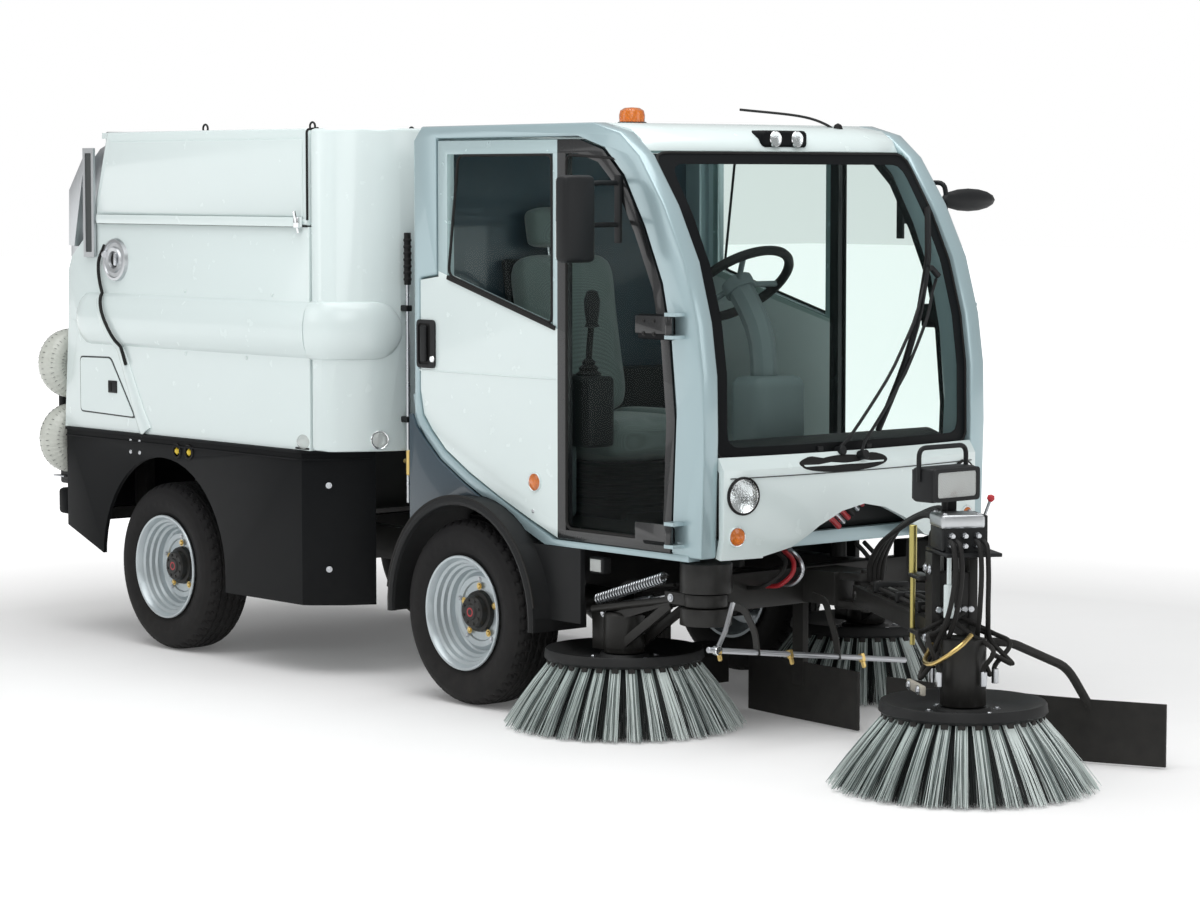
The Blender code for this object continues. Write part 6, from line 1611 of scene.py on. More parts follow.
@dataclass
class Interior:
    """The driver's seat, the console, the dashboard and the steering wheel's trim."""

    seat_low: tuple[float, float] = (-0.180, -0.350)
    seat_high: tuple[float, float] = (0.340, 0.150)
    cushion_z: tuple[float, float] = (0.835, 0.975)
    back_top: float = 1.560
    back_z: float = 0.96
    lean: float = math.radians(10)
    wheel_tilt: float = math.radians(38)
    stick_y: float = -0.430
    body: str = "front_chassis"

    @property
    def hinge(self) -> tuple[float, float]:
        """The place (x, z) of the line along Y that the seat's back leans about."""
        return (self.seat_low[0] + 0.075, self.back_z)

    def crowned(self, low: Sequence[float], high: Sequence[float], crown: float,
                pinch: float = 0.5) -> Patch:
        """A soft block: a box drawn in at its corners, whose two broad faces swell.

        A point p of the cube from -1 to 1 goes to p / (sum |p_i|^6)^(1/6). Then it moves
        out by the crown times (1 - u^2)(1 - v^2) across the thin direction, and its sides
        draw in by the pinch share of the crown.

        Args:
            low: the lowest corner.
            high: the highest corner.
            crown: how far the middle of a face swells.
            pinch: how much of that the sides pull in between their corners.

        Returns:
            The surface.
        """
        low, high = np.array(low, float), np.array(high, float)
        middle, half = (low + high) / 2, (high - low) / 2
        count = 13
        side = np.linspace(-1, 1, count)
        faces = []
        for axis in range(3):
            for sign in (-1, 1):
                u, v = np.meshgrid(side, side, indexing="ij")
                cube = np.empty((count, count, 3))
                cube[..., axis] = sign
                cube[..., (axis + 1) % 3], cube[..., (axis + 2) % 3] = u, v
                faces.append(net(cube))
        whole = together(faces)
        cube = whole.points
        thin = int(np.argmin(half))
        other = [i for i in range(3) if i != thin]
        power = 6.0
        length = (np.abs(cube) ** power).sum(axis=1) ** (1 / power)
        points = cube / length[:, None]
        swell = (1 - points[:, other[0]] ** 2) * (1 - points[:, other[1]] ** 2)
        points = points * half
        points[:, thin] += np.sign(cube[:, thin]) * crown * swell * (np.abs(cube[:, thin]) > 0.5)
        for i, j in (other, other[::-1]):
            points[:, i] -= np.sign(cube[:, i]) * pinch * crown * np.cos(
                np.pi / 2 * np.clip(cube[:, j], -1, 1)) * (np.abs(cube[:, i]) > 0.9)
        return Patch(points + middle, whole.quads, whole.tris)

    def leaned(self, patch: Patch) -> Patch:
        """A surface drawn upright, turned backwards with the seat's back."""
        x0, z0 = self.hinge
        cos, sin = math.cos(self.lean), math.sin(self.lean)
        x, z = patch.points[:, 0] - x0, patch.points[:, 2] - z0
        points = np.stack([x0 + x * cos - z * sin, patch.points[:, 1], z0 + x * sin + z * cos],
                          axis=-1)
        return Patch(points, patch.quads, patch.tris)

    def pads(self) -> None:
        """The cushion, its two bolsters, the back and the headrest as padded pieces."""
        x0, y0 = self.seat_low
        x1, y1 = self.seat_high
        back_x, top = self.hinge[0], self.back_top
        cushion = self.crowned((x0 + 0.03, y0 + 0.012, self.cushion_z[0] + 0.008),
                               (x1 - 0.008, y1 - 0.012, self.cushion_z[1] - 0.012), 0.010)
        bolsters = [self.crowned((x0 + 0.06, y - 0.040, 0.925), (x1 - 0.03, y + 0.040, 0.988),
                                 0.006) for y in (y0 + 0.058, y1 - 0.058)]
        back = self.crowned((back_x - 0.055, y0 + 0.020, self.back_z),
                            (back_x + 0.045, y1 - 0.020, top), 0.014)
        headrest = self.crowned((back_x - 0.045, y0 + 0.120, top + 0.012),
                                (back_x + 0.040, y1 - 0.120, 1.715), 0.008)
        soft_piece("seat_cushion", self.body, cushion, SEAT, ["seat"])
        soft_piece("seat_bolsters", self.body, together(bolsters), SEAT)
        soft_piece("seat_back", self.body, self.leaned(back), SEAT)
        soft_piece("seat_headrest", self.body, self.leaned(headrest), SEAT)

    def seat_frame(self) -> None:
        """The bellows, the slides, the back's shell and the lever under the seat."""
        x0, y0 = self.seat_low
        x1, y1 = self.seat_high
        back_x, top = self.hinge[0], self.back_top
        middle = np.array(((x0 + x1) / 2 + 0.02, (y0 + y1) / 2))
        count = 25
        widths = 0.205 + 0.012 * np.cos(np.arange(count) * np.pi / 2)
        corners = oblong((-1, -1), (1, 1), 0.35, 5)
        rings = np.empty((count, len(corners), 3))
        rings[..., :2] = middle + widths[:, None, None] * corners[None] * (1.0, 0.95)
        rings[..., 2] = np.linspace(0.655, 0.828, count)[:, None]
        shell = block((back_x - 0.075, y0 + 0.030, 0.900),
                      (back_x - 0.048, y1 - 0.030, top - 0.02), 0.012)
        rails = [block((x0 + 0.02, y - 0.015, 0.630), (x1 - 0.03, y + 0.015, 0.655), 0.004)
                 for y in (y0 + 0.10, y1 - 0.10)]
        stems = [rod((back_x, y, top - 0.03), (back_x, y, top + 0.05), 0.006, 10)
                 for y in (-0.155, -0.045)]
        lever = [(0.10, y1 + 0.004, 0.86), (0.16, y1 + 0.020, 0.87), (0.22, y1 + 0.020, 0.90)]
        piece("seat_mechanism", self.body, [
            (net(rings, False, True, True, True), RUBBER), (self.leaned(shell), MOULDED),
            (together(rails), CHASSIS), (self.leaned(together(stems)), PLATED),
            (pipe(lever, 0.007, 8), MOULDED)])

    def console(self) -> None:
        """The side console with its joystick, keypad and red knob, and the bin behind it."""
        y = self.stick_y
        stick = smooth([(0.330, y, 1.135), (0.334, y, 1.230), (0.348, y, 1.340)], 6)
        grip = [(0, 1.432), (0.018, 1.426), (0.028, 1.396), (0.026, 1.360), (0.020, 1.320),
                (0.026, 1.306), (0, 1.300)]
        boot = [(0.042, 1.138), (0.044, 1.146), (0.030, 1.156), (0.034, 1.166), (0.021, 1.176),
                (0.024, 1.186), (0.012, 1.198)]
        key = block((-0.110, -0.478, 1.136), (-0.086, -0.456, 1.147), 0.003)
        pitch = 0.034
        keys = [key.moved((pitch * i, pitch * j, 0)) for i in range(6) for j in range(2)]
        piece("side_console", self.body, [
            (block((-0.170, -0.530, 0.650), (0.250, -0.405, 0.900), 0.020), TRIM),
            (block((-0.150, -0.500, 0.900), (0.420, -0.385, 1.140), 0.018), MOULDED),
            (block((-0.300, -0.550, 0.640), (-0.215, 0.560, 1.120), 0.015), MOULDED),
            (pipe(stick, 0.011, 12), RUBBER),
            (turned(grip, (0.348, y, 0), sides=20), MOULDED),
            (turned(boot, (0.330, y, 0), sides=20), RUBBER),
            (together(keys), TRIM),
            (bolts([(0.235, -0.455, 1.138)], (0, 0, 1), 0.014, False), RED)])

    def dashboard(self) -> None:
        """The low dashboard under the windscreen, its hood, dials, pedals and floor mat."""
        outline = rounded([(0.930, 0.640), (1.050, 0.640), (1.075, 0.880), (1.070, 0.930),
                           (0.980, 0.960), (0.900, 0.925), (0.930, 0.880)], 0.030)
        places = facing([(0.789, -0.150, 1.100), (0.789, -0.055, 1.100)], (-1, 0, 0.2))
        dial = turned([(0, 0.002), (0.030, 0.002), (0.034, 0.006), (0.036, 0)], sides=24)
        pedals = [block((0.760, y - 0.035, 0.660), (0.800, y + 0.035, 0.790), 0.006)
                  for y in (-0.25, 0.06)]
        mat = block((-0.260, -0.515, 0.6285), (1.040, 0.515, 0.6345), 0.003)
        piece("dashboard", self.body, [
            (plate(outline, Plane.XZ, -0.540, 0.540), MOULDED),
            (block((0.790, -0.215, 0.900), (0.940, 0.015, 1.150), 0.035), TRIM),
            (copies(dial, places), TRIM), (together(pedals), RUBBER), (mat, RUBBER)])

    def wheel_trim(self) -> None:
        """The steering wheel's soft rim and hub cover over the column."""
        axis = (-math.sin(self.wheel_tilt), 0, math.cos(self.wheel_tilt))
        centre = (0.715, -0.10, 1.450)
        hub = [(0, 0.016), (0.040, 0.014), (0.052, 0.004), (0.052, -0.020), (0, -0.024)]
        piece("steering_rim_cover", self.body, [
            (turned(ring_section(0.0165, 10) + (0.190, 0), centre, axis, 56, True), RUBBER),
            (turned(hub, centre, axis, 28), MOULDED)])

    def build(self) -> None:
        """Makes every piece inside the cab."""
        self.pads()
        self.seat_frame()
        self.console()
        self.dashboard()
        self.wheel_trim()


def soft_piece(
    name: str, body: str, patch: Patch, finish: Finish, stands_for: Sequence[str] = (),
) -> bpy.types.Object:
    """A cushion puffed up by a short cloth simulation with pressure, then smoothed by one level of
    subdivision.

    Args:
        name: the object's name.
        body: the body that it rides on.
        patch: its slightly smaller starting shape.
        finish: its finish.
        stands_for: nodes of the frame that it replaces.

    Returns:
        The object.
    """
    made = piece(name, body, [(patch, finish)], stands_for, 80)
    puff(made)
    round_off = made.modifiers.new("soft skin", "SUBSURF")
    round_off.levels = round_off.render_levels = 1
    return made


def puff(
    made: bpy.types.Object, pressure: float = 4.0, cap: float = 0.012, voxel: float = 0.013,
    frames: int = 20,
) -> None:
    """Swells a closed mesh by cloth pressure for some frames, no point moving over the cap.

    Args:
        made: the object, whose mesh is replaced.
        pressure: the cloth's pressure.
        cap: the furthest that a point may move.
        voxel: the size of the even faces that the cloth is made of.
        frames: how many frames the cloth moves for.
    """
    remesh = made.modifiers.new("even faces", "REMESH")
    remesh.mode = "VOXEL"
    remesh.voxel_size = voxel
    graph = bpy.context.evaluated_depsgraph_get()
    even = bpy.data.meshes.new_from_object(made.evaluated_get(graph))
    made.modifiers.remove(remesh)
    stand_in = bpy.data.objects.new("cloth stand-in", even)
    bpy.context.scene.collection.objects.link(stand_in)
    before = np.empty(len(even.vertices) * 3, np.float32)
    even.vertices.foreach_get("co", before)
    cloth = stand_in.modifiers.new("pressure", "CLOTH")
    cloth.settings.use_pressure = True
    cloth.settings.uniform_pressure_force = pressure
    cloth.settings.effector_weights.gravity = 0.0
    for step in range(1, frames + 1):
        bpy.context.scene.frame_set(step)
    graph = bpy.context.evaluated_depsgraph_get()
    swollen = stand_in.evaluated_get(graph).to_mesh()
    after = np.empty(len(before), np.float32)
    swollen.vertices.foreach_get("co", after)
    stand_in.evaluated_get(graph).to_mesh_clear()
    moved = (after - before).reshape(-1, 3)
    reach = np.linalg.norm(moved, axis=1, keepdims=True)
    held = before.reshape(-1, 3) + moved * np.minimum(1.0, cap / np.maximum(reach, 1e-9))
    bpy.context.scene.frame_set(1)
    bpy.data.objects.remove(stand_in)
    even.vertices.foreach_set("co", held.astype(np.float32).ravel())
    even.materials.clear()
    for finish in made.data.materials:
        even.materials.append(finish)
    even.shade_smooth()
    even.update()
    made.data = even
    LOG.info("puffed %s, %d points", made.name, len(held))


def handed(looks: Looks, side: Side) -> Looks:
    """What was drawn for the left side, mirrored if the side is the right one."""
    if side is Side.LEFT:
        return looks
    return [(patch.mirrored(), finish) for patch, finish in looks]


@dataclass
class DoorDetails:
    """One door's handle, hinge boxes, belt strip, window seal, lamp and mirror glass."""

    side: Side
    outer: float = 0.6512

    def build(self) -> None:
        """Makes the door's pieces, drawn for the left and mirrored for the right."""
        y, out = self.outer, (0, 1, 0)
        body = f"door_{self.side.label}"
        belt = [(-0.158, y, 1.466), (0.418, y, 1.309)]
        crease = [(-0.318, y - 0.001, 1.140), (0.420, y - 0.001, 1.140)]
        window = rounded([(-0.155, 1.474), (0.400, 1.322), (0.400, 1.884), (-0.098, 1.884)], 0.03)
        front = rounded([(0.474, 0.645), (0.985, 0.645), (1.060, 0.720), (1.040, 1.300),
                         (0.930, 1.600), (0.800, 1.800), (0.730, 1.870), (0.474, 1.884)], 0.03)
        seals = [swept(np.insert(loop, 1, y - 0.001, axis=1), ring_section(0.0050, 6), True)
                 for loop in (window, front)]
        pocket = oblong((-0.328, 1.148), (-0.226, 1.316), 0.018)
        cup = oblong((-0.318, 1.160), (-0.250, 1.304), 0.014)
        lock = [(0, 0.003), (0.010, 0.003), (0.012, 0)]
        hinge_bolts = [(x, y + 0.018, z) for x in (0.880, 0.930) for z in (1.310, 1.350)]
        looks = [
            (swept(belt, bar_section(0.010, 0.014)), RUBBER),
            (swept(crease, ring_section(0.0035, 8)), DOOR_WHITE),
            (together(seals), RUBBER),
            (plate(pocket, Plane.XZ, y - 0.002, y + 0.006, [cup]), MOULDED),
            (plate(cup, Plane.XZ, y - 0.002, y + 0.001), RUBBER),
            (block((-0.300, y + 0.004, 1.170), (-0.268, y + 0.014, 1.296), 0.005), MOULDED),
            (turned(lock, (-0.240, y + 0.006, 1.180), out, 18), CHROME),
            (block((0.845, y - 0.002, 1.290), (1.016, y + 0.018, 1.372), 0.010), SKIRT_BLACK),
            (block((0.871, y - 0.002, 0.628), (1.016, y + 0.018, 0.692), 0.010), SKIRT_BLACK),
            (bolts(hinge_bolts, out, 0.0065), CHASSIS),
            *lamp((0.309, y - 0.001, 0.789), out, 0.034, AMBER, WHITE),
        ]
        if self.side is Side.RIGHT:
            mirror = block((0.7205, 0.795, 1.548), (0.7228, 0.905, 1.804), 0.001)
            rivets = domes([(x, y, 0.690) for x in (0.060, 0.300)], out, 0.007)
            looks += [(mirror, MIRROR), (rivets, PLATED)]
        piece(f"{body}_fittings", body, handed(looks, self.side))


# Front tools


@dataclass
class Tower:
    """What stands on the front boom, laid out along it, aside from it and upwards."""

    pivot: tuple[float, float] = (1.230, 0.0)
    ahead: tuple[float, float] = (0.8635, -0.5044)
    post: float = 0.970
    reach: float = 1.100
    body: str = "boom"

    def stand(self, name: str, looks: Looks) -> None:
        """Makes a piece of surfaces drawn along the boom, set where the boom is."""
        matrix = np.eye(4)
        matrix[:2, 0] = self.ahead
        matrix[:2, 1] = (-self.ahead[1], self.ahead[0])
        matrix[:2, 3] = self.pivot
        piece(name, self.body, [(copies(patch, matrix[None]), finish) for patch, finish in looks])

    def valves(self) -> None:
        """The valve box on the shelf, its lid, couplings and lever."""
        d = self.post
        lid_bolts = [(d + x, y, 0.812) for x in (0.005, 0.105) for y in (-0.052, 0.052)]
        ports = [(d + 0.121, y, z) for y in (-0.040, 0.0, 0.040) for z in (0.722, 0.752)]
        coupling = together([
            turned([(0, 0.020), (0.008, 0.020), (0.010, 0.014), (0.010, 0)], sides=6),
            turned([(0, 0.030), (0.0065, 0.030), (0.0065, 0.018)], sides=12)])
        lever = [(d + 0.03, 0.066, 0.790), (d + 0.03, 0.092, 0.800), (d + 0.06, 0.100, 0.850)]
        knob = [(0, 0.022), (0.010, 0.018), (0.012, 0.008), (0.006, 0)]
        self.stand("valve_box", [
            (block((d - 0.010, -0.065, 0.703), (d + 0.120, 0.065, 0.775), 0.006), MOULDED),
            (block((d - 0.014, -0.068, 0.770), (d + 0.124, 0.068, 0.812), 0.010), STEEL),
            (bolts(lid_bolts, (0, 0, 1), 0.006), PLATED),
            (copies(coupling, facing(ports, (1, 0, 0))), PLATED), (pipe(lever, 0.005, 8), PLATED),
            (turned(knob, (d + 0.06, 0.100, 0.845), (0.2, 0.1, 1), 14), RED)])

    def bundle(self) -> None:
        """Hydraulic hoses held to the posts and the boom, and the clips along it."""
        self.stand("boom_hoses", [*self.down_hoses(), *self.front_hoses(), *self.motor_hoses(),
                                  *self.upper_hoses()])

    def down_hoses(self) -> Looks:
        """Six hoses down from the valves and back along the boom, one of them grey."""
        d = self.post
        looks = []
        for i in range(6):
            y, wave = -0.042 + 0.017 * i, i % 2
            out = d - 0.052 - 0.012 * wave
            path = smooth([(d - 0.008, y, 0.745), (out - 0.018, y, 0.742), (out - 0.030, y, 0.690),
                           (out - 0.028, y, 0.600), (out - 0.040, y, 0.530 - 0.004 * i),
                           (out - 0.110, y, 0.502 + 0.010 * wave), (0.560, y, 0.500 + 0.010 * wave),
                           (0.320, y * 0.9, 0.498), (0.190, y * 0.8, 0.500)], 7)
            looks.append((pipe(path, 0.0072, 9), RUBBER if i != 2 else HOSE_WIRE))
        return looks

    def front_hoses(self) -> Looks:
        """Four hoses that loop from the couplings down in front of the posts."""
        d = self.post
        looks = []
        for i, (y, reach, dip) in enumerate(((-0.050, 0.115, 0.290), (-0.030, 0.080, 0.320),
                                            (0.030, 0.150, 0.300), (0.052, 0.190, 0.335))):
            path = smooth([(d + 0.150, y, 0.737), (d + 0.190, y, 0.720), (d + 0.205, y, 0.640),
                           (d + 0.170, y * 1.2, 0.520), (d + 0.105, y * 1.7, 0.410 + 0.010 * i),
                           (d + reach * 0.8, y * 2.3, dip + 0.060),
                           (d + reach, y * 2.5, dip + 0.040), (d + 0.140, y * 1.6, 0.400)], 7)
            looks.append((pipe(path, 0.0078, 9), RUBBER))
        return looks

    def motor_hoses(self) -> Looks:
        """Six hoses with their fittings at the brush motor, and the brass-coloured one."""
        d = self.post
        looks = []
        for i in range(6):
            turn = 0.5 + i * 0.95
            out = 0.083 + 0.012 * (i % 3)
            top = np.array((d + 0.020, -0.050 + 0.020 * i, 0.520))
            end = np.array((self.reach + out * math.cos(turn), out * math.sin(turn), 0.335))
            lift = np.array((0.030 * math.cos(turn), 0.045 * math.sin(turn), 0.085 + 0.008 * i))
            path = smooth([top, (top + end) / 2 + lift * (1, 1.5, 0.3), end + lift,
                           end + (0, 0, 0.030), end], 7)
            looks += [(pipe(path, 0.0075, 9), RUBBER),
                      (rod(end - (0, 0, 0.024), end + (0, 0, 0.020), 0.0105, 12), PLATED),
                      (rod(top - (0.002, 0, 0), top + (0.022, 0, 0), 0.0100, 12), PLATED)]
        braid = smooth([(d + 0.060, -0.075, 0.420), (d + 0.150, -0.125, 0.385),
                        (d + 0.240, -0.120, 0.390), (d + 0.280, -0.060, 0.440),
                        (d + 0.240, -0.010, 0.470)], 8)
        return [*looks, (pipe(braid, 0.0070, 10), BRASS)]

    def upper_hoses(self) -> Looks:
        """Four hoses in an arch over the boom, and the clips on the boom."""
        looks = []
        for i in range(4):
            y = -0.036 + 0.022 * i
            path = smooth([(0.120, y * 0.6, 0.505), (0.150, y * 0.8, 0.560 + 0.012 * i),
                           (0.270, y + 0.010, 0.640 + 0.018 * i),
                           (0.480, y + 0.020, 0.715 + 0.014 * i),
                           (0.720, y + 0.010, 0.772 + 0.008 * i), (0.880, y, 0.785 - 0.006 * i),
                           (self.post - 0.008, y, 0.748)], 8)
            looks.append((pipe(path, 0.0085, 10), RUBBER))
        clips = [block((x - 0.010, -0.058, 0.486), (x + 0.010, 0.058, 0.520), 0.004)
                 for x in (0.300, 0.560, 0.800)]
        return [*looks, (together(clips), MOULDED)]

    def rods(self) -> None:
        """The yellow-zinc rod beside the posts, the white damper and the head's lever."""
        d, aside = self.post, -0.081
        rod_x, damper_x = d - 0.137, d + 0.075
        clamps = [block((d - 0.150, aside - 0.012, z), (d - 0.030, -0.050, z + 0.014), 0.004)
                  for z in (0.430, 0.600)]
        damper = together([
            rod((damper_x, -0.030, 0.500), (damper_x, -0.030, 0.600), 0.016, 18),
            rod((damper_x, -0.030, 0.595), (damper_x, -0.030, 0.690), 0.007, 12)])
        spots = [(d + 0.09, -0.156, 0.305), (d + 0.19, -0.156, 0.305)]
        spots += [(d + x, -0.0745, z) for x in (-0.022, 0.022) for z in (0.430, 0.640)]
        self.stand("boom_rods", [
            (rod((rod_x, aside, 0.392), (rod_x, aside, 0.640), 0.008, 14), YELLOW_ZINC),
            (rod((rod_x, aside, 0.610), (rod_x, aside, 0.758), 0.012, 16), YELLOW_ZINC),
            (together(clamps), CHASSIS), (damper, WHITE),
            (block((d + 0.06, -0.155, 0.290), (d + 0.220, -0.140, 0.320), 0.005), VALVE_GREY),
            (bolts(spots, (0, -1, 0), 0.010), PLATED)])

    def lamp(self) -> None:
        """The work lamp's ribbed lens, bezel, cooling fins, stem and open handle frame."""
        x, y, z = 2.049, -0.502, 0.895
        bezel = oblong((y - 0.098, z - 0.050), (y + 0.098, z + 0.050), 0.014)
        hole = oblong((y - 0.084, z - 0.038), (y + 0.084, z + 0.038), 0.010)
        handle = bent([(x - 0.010, y + across, z + up) for across, up in (
            (-0.102, 0.010), (-0.102, 0.110), (0.102, 0.110), (0.102, 0.010))], 0.030, 6)
        stem = bent([(x, y, 0.760), (x, y, z - 0.045)], 0.01)
        fin = block((x - 0.050, y - 0.090, z - 0.044), (x - 0.043, y - 0.084, z + 0.044), 0.001)
        fins = [fin.moved((0, 0.030 * i, 0)) for i in range(7)]
        piece("work_lamp_fittings", self.body, [
            (plate(bezel, Plane.YZ, x + 0.043, x + 0.052, [hole]), MOULDED),
            (plate(hole, Plane.YZ, x + 0.0445, x + 0.049), CLEAR),
            (pipe(handle, 0.0075, 10), MOULDED), (pipe(stem, 0.010, 10), MOULDED),
            (together(fins), MOULDED)])

    def build(self) -> None:
        """Makes every piece on the boom."""
        self.valves()
        self.bundle()
        self.rods()
        self.lamp()


@dataclass
class SideArm:
    """One side brush's arm: its spring, cylinder, motor, bolts and hoses."""

    side: Side

    def build(self) -> None:
        """Makes the arm's pieces, drawn for the left and mirrored for the right."""
        spots = [(0.620, 0.6142, 0.375), (0.700, 0.6142, 0.320), (0.640, 0.6142, 0.290)]
        motor = [(0, 0.392), (0.030, 0.392), (0.034, 0.384), (0.060, 0.380), (0.0685, 0.372),
                 (0.0695, 0.340), (0.0685, 0.300), (0.0685, 0.262)]
        looks = [
            (coil((0.600, 0.622, 0.418), (0.930, 0.622, 0.520), 0.016, 0.0035, 26), PLATED),
            (rod((0.586, 0.622, 0.414), (0.945, 0.622, 0.525), 0.005, 10), CHASSIS),
            (rod((0.600, 0.560, 0.385), (0.800, 0.560, 0.432), 0.015, 18), PLATED),
            (rod((0.790, 0.560, 0.430), (0.960, 0.560, 0.470), 0.007, 12), CHROME),
            (bolts(spots, (0, 1, 0), 0.010), PLATED),
            (bolts([(0.950, 0.6142, 0.455)], (0, 1, 0), 0.009), PLATED),
            (turned(motor, (0.670, 0.567, 0), sides=36), CHASSIS),
        ]
        for start, bend in ((0.585, 0.52), (0.600, 0.55)):
            hose = smooth([(0.655, start - 0.02, 0.385), (0.650, start - 0.02, 0.440),
                           (0.700, start - 0.03, 0.480), (0.800, start - 0.05, 0.476),
                           (0.900, bend, 0.486)], 7)
            looks.append((pipe(hose, 0.0068, 9), RUBBER))
        body = f"side_arm_{self.side.label}"
        piece(f"{body}_fittings", body, handed(looks, self.side))


@dataclass
class ChassisFront:
    """Post caps, the spray bar with its nozzles, hoses in the arch and a lamp under the sill."""

    lip_radius: float = 0.4035
    wheel_radius: float = 0.321
    body: str = "front_chassis"

    def build(self) -> None:
        """Makes the pieces under the nose and the lips of the arches."""
        piece("front_chassis_fittings", self.body, [
            *self.post_caps(), *self.spray_bar(), *self.hoses(),
            (block((0.575, -0.640, 0.505), (0.645, -0.600, 0.560), 0.008), MOULDED),
            (block((0.583, -0.6425, 0.512), (0.637, -0.639, 0.553), 0.002), CLEAR)])
        turn = np.linspace(math.radians(8), math.radians(172), 40)
        lips = [swept(np.stack([self.lip_radius * np.cos(turn), np.full(40, side * 0.7325),
                                self.wheel_radius + self.lip_radius * np.sin(turn)], axis=-1),
                      bar_section(0.008, 0.006)) for side in (-1, 1)]
        piece("fender_lips", self.body, [(together(lips), RUBBER)])

    def post_caps(self) -> Looks:
        """The caps over the side arms' posts, each with its bolt."""
        cap = [(0, 0.5895), (0.020, 0.5895), (0.030, 0.583), (0.074, 0.580), (0.083, 0.575)]
        looks = []
        for side in (-1, 1):
            x, y = 1.060, side * 0.560
            looks += [(turned(cap, (x, y, 0), sides=36), CHASSIS),
                      (bolts([(x, y, 0.588)], (0, 0, 1), 0.012), PLATED)]
        return looks

    def spray_bar(self) -> Looks:
        """The sloping bar before the right brush, its nozzles, lever, knob and brackets."""
        looks = []
        ends = np.array([(1.300, -0.773, 0.337), (1.300, 0.112, 0.222)])
        at = lambda y: ends[0] + (y - ends[0, 1]) / (ends[1, 1] - ends[0, 1]) * (ends[1] - ends[0])
        looks.append((rod(*ends, 0.0095, 14), PLATED))
        nozzle = turned([(0, -0.013), (0.012, -0.013), (0.012, 0.012), (0.008, 0.014),
                         (0.008, 0.030), (0.005, 0.034), (0, 0.034)], sides=6)
        spots = np.array([at(y) for y in (-0.730, -0.416, -0.090)])
        looks.append((copies(nozzle, facing(spots, (0.35, 0, -1))), BRASS))
        lever = [at(-0.735), at(-0.735) + (0.012, 0.025, 0.060), (1.300, -0.667, 0.476)]
        looks.append((swept(lever, bar_section(0.016, 0.008)), PLATED))
        looks.append((rod((1.291, -0.735, 0.332), (1.312, -0.735, 0.332), 0.016, 14), CHROME))
        for y in (-0.560, -0.200):
            foot = at(y)
            looks.append((swept(bent([foot - (0, 0, 0.010), foot + (-0.010, 0, 0.060),
                                      (1.240, y, 0.440), (1.180, y, 0.450)], 0.02, 4),
                                bar_section(0.024, 0.006)), CHASSIS))
        return looks

    def hoses(self) -> Looks:
        """The hoses that hang below the nose and those that show in its arched cut-out."""
        looks = []
        hoses = ((-0.250, -0.330, RUBBER), (-0.215, -0.250, RED), (-0.185, -0.190, PLATED),
                 (0.120, 0.160, RUBBER), (0.160, 0.230, RUBBER))
        for top, low, finish in hoses:
            middle = (top + low) / 2
            path = smooth([(1.060, top, 0.590), (1.105, top, 0.560), (1.120, middle, 0.520),
                           (1.080, low, 0.480), (1.015, low, 0.470)], 7)
            looks.append((pipe(path, 0.0078, 9), finish))
        arched = ((RED, 0.010), (PLATED, 0.008), (RED, 0.009), (RUBBER, 0.011), (PLATED, 0.008),
                  (RED, 0.008))
        for i, (finish, radius) in enumerate(arched):
            y, z = -0.270 + 0.022 * i, 0.690 + 0.013 * i
            path = smooth([(1.105, y - 0.060, z - 0.050), (1.148, y, z),
                           (1.160, y + 0.080, z + 0.018), (1.158, y + 0.160, z + 0.012),
                           (1.120, y + 0.250, z - 0.030)], 7)
            looks.append((pipe(path, radius, 9), finish))
        return looks


# Room, lights and camera


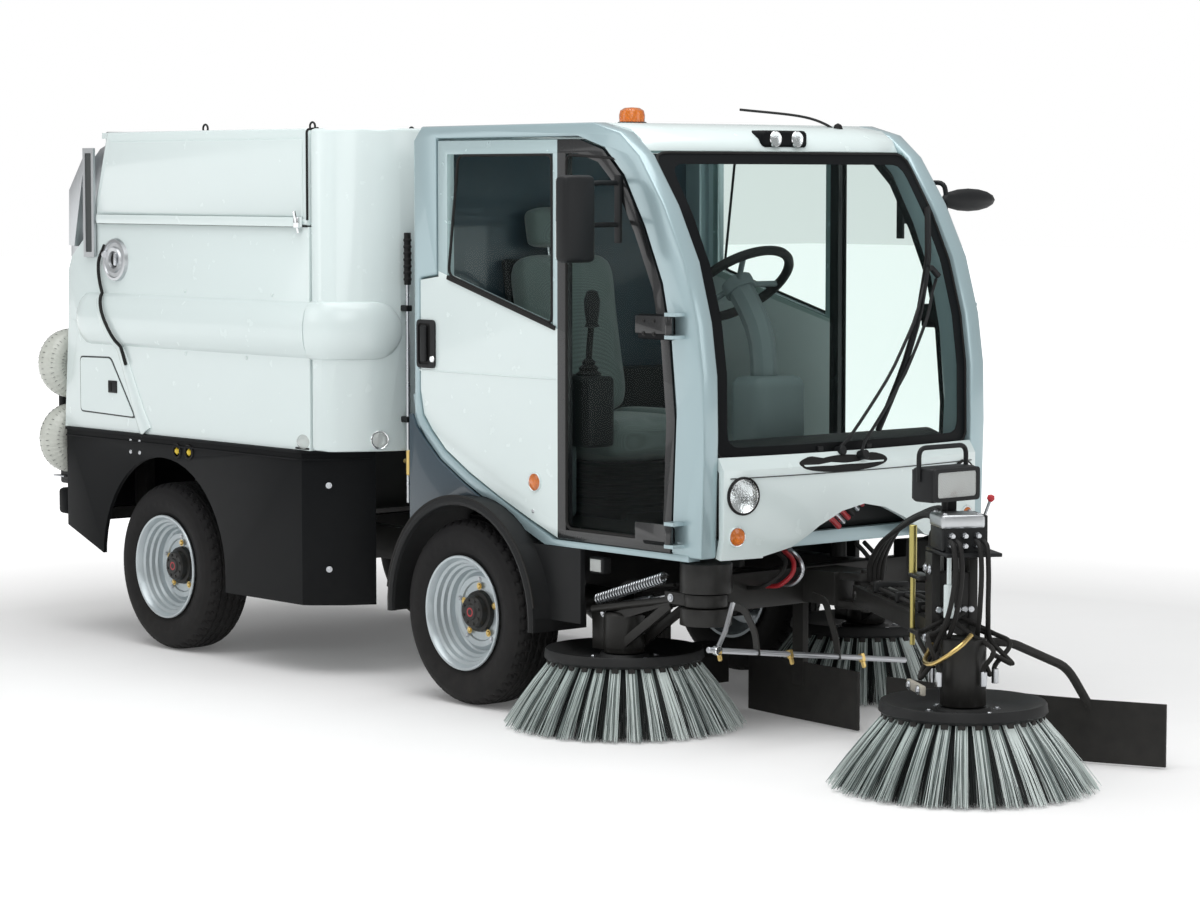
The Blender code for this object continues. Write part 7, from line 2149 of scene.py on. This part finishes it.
@dataclass
class Studio:
    """A pale floor under soft lamps, and the camera at the photograph's place."""

    place: tuple[float, float, float] = (8.940, -7.802, 1.798)
    yaw: float = 139.105
    pitch: float = -4.610
    lens: float = 100.21
    surround: float = 0.42

    def world(self) -> None:
        """White to the camera and through glass, and a softer light otherwise."""
        world = bpy.data.worlds.new("studio")
        world.use_nodes = True
        bpy.context.scene.world = world
        kit = Shading(world.node_tree)
        back = world.node_tree.nodes["Background"]
        path = kit.add("LightPath")
        seen = kit.math("ADD", path.outputs["Is Camera Ray"], path.outputs["Is Transmission Ray"],
                        True)
        back.inputs["Color"].default_value = (1, 1, 1, 1)
        strength = kit.math("ADD", kit.math("MULTIPLY", seen, 1 - self.surround), self.surround)
        kit.link(strength, back.inputs["Strength"])

    def floor(self) -> None:
        """A large plane that keeps the shadow, and whose own light grows away from the object.

        The light is 0.10 + 0.95 clamp((d - 3.2) / 4) at a distance d from the origin, so that
        the far floor is as white as the world behind it.
        """
        mesh = bpy.data.meshes.new("studio_floor")
        corners = [(-60, -60, 0), (60, -60, 0), (60, 60, 0), (-60, 60, 0)]
        mesh.from_pydata(corners, [], [(0, 1, 2, 3)])
        mesh.update()
        floor = bpy.data.objects.new("studio_floor", mesh)
        bpy.context.scene.collection.objects.link(floor)
        made = bpy.data.materials.new("pale floor")
        made.use_nodes = True
        kit = Shading(made.node_tree)
        shader = made.node_tree.nodes["Principled BSDF"]
        where = kit.add("TexCoord").outputs["Object"]
        tone = kit.mix(kit.noise(where, 3.0, 4.0), (0.86, 0.86, 0.86, 1), (0.89, 0.89, 0.89, 1))
        kit.link(tone, shader.inputs["Base Color"])
        shader.inputs["Roughness"].default_value = 0.85
        shader.inputs["Specular IOR Level"].default_value = 0.1
        kit.link(tone, shader.inputs["Emission Color"])
        span = kit.add("VectorMath", operation="LENGTH")
        kit.link(where, span.inputs[0])
        far = kit.math("DIVIDE", kit.math("SUBTRACT", span.outputs["Value"], 3.2), 4.0, True)
        glow = kit.math("ADD", kit.math("MULTIPLY", far, 0.95), 0.10)
        kit.link(glow, shader.inputs["Emission Strength"])
        mesh.materials.append(made)

    def area(self, name: str, place: Sequence[float], target: Sequence[float], size: float,
             power: float) -> None:
        """One soft square lamp.

        Args:
            name: its name.
            place: where it hangs.
            target: where it points.
            size: the side of its square.
            power: its power in watts.
        """
        light = bpy.data.lights.new(name, "AREA")
        light.size = size
        light.energy = power
        lit = bpy.data.objects.new(name, light)
        bpy.context.scene.collection.objects.link(lit)
        lit.location = place
        away = Vector(place) - Vector(target)
        lit.rotation_euler = away.to_track_quat("Z", "Y").to_euler()

    def camera(self) -> None:
        """The camera that was solved from the photograph."""
        data = bpy.data.cameras.new("view")
        data.lens, data.sensor_width = self.lens, 36.0
        view = bpy.data.objects.new("view", data)
        bpy.context.scene.collection.objects.link(view)
        view.location = self.place
        yaw, pitch = math.radians(self.yaw), math.radians(self.pitch)
        ahead = Vector((math.cos(yaw) * math.cos(pitch), math.sin(yaw) * math.cos(pitch),
                        math.sin(pitch)))
        view.rotation_euler = ahead.to_track_quat("-Z", "Y").to_euler()
        bpy.context.scene.camera = view

    def build(self) -> None:
        """Sets up the world, the floor, the lamps and the camera."""
        bpy.context.scene.view_settings.view_transform = "Standard"
        self.world()
        self.floor()
        self.area("overhead", (0.5, -1.0, 6.0), (0, 0, 0.8), 6.5, 325)
        self.area("key", (6.5, -6.0, 5.0), (0.3, 0, 0.9), 3.5, 75)
        self.area("side", (-3.5, -7.5, 3.6), (-1.0, 0, 0.9), 3.0, 38)
        self.area("front", (8.0, 2.0, 3.2), (1.0, 0, 0.9), 3.0, 45)
        self.camera()


def dress_frame() -> None:
    """Gives every node that stays visible its finish."""
    plans = {
        CHASSIS: (0.003, ("rear_frame", "front_frame", "boom_base", "boom", "rear_axle",
                          "front_axle", "side_arm_right", "side_arm_left")),
        SKIRT_BLACK: (0.004, ("lower_skirt",)),
        WHITE: (0.004, ("side_panel_right", "side_panel_left", "rear_hood", "front_module",
                        "hopper_shell", "cab_roof", "nose_panel")),
        STEEL: (0.002, ("tailgate_shell", "tailgate_cheek_right", "tailgate_cheek_left")),
        ENGINE_IRON: (0.010, ("engine_block",)),
        RUBBER: (0.002, ("suction_riser", "suction_mouth", "guide_flap", "deflector_plate")),
        MOULDED: (0.003, ("fender_right", "fender_left", "mirror_right", "mirror_left",
                          "cab_floor", "work_lamp")),
        TRIM: (0.003, ("steering_column",)),
        SILVER_BLUE: (0.003, ("cab_frame",)),
        SLATE: (0.003, ("cab_rear_wall",)),
        GLASS: (0.0, ("windscreen", "door_right_glass", "door_left_glass")),
        DOOR_WHITE: (0.003, ("door_right_panel", "door_left_panel")),
    }
    for finish, (edge, names) in plans.items():
        for name in names:
            dress_node(name, finish, edge)


def main() -> None:
    """Builds the whole scene."""
    logging.basicConfig(level=logging.INFO, format="%(name)s: %(message)s")
    Studio().build()
    dress_frame()
    for side in Side:
        for axle_x, axle in ((-WHEELBASE, "rear"), (0.0, "front")):
            Wheel(axle_x, side, f"{axle}_wheel_{side.label}").build()
        Brush(0.670, side.value * 0.567, f"side_brush_{side.label}", 0.257, 0.403).build()
        DoorDetails(side).build()
        SideArm(side).build()
    Brush(2.180, -0.555, "front_brush", 0.243, 0.408).build()
    RearBody().build()
    HopperDetails().build()
    CabFront().build()
    Interior().build()
    Tower().build()
    ChassisFront().build()


if __name__ == "__main__":
    main()
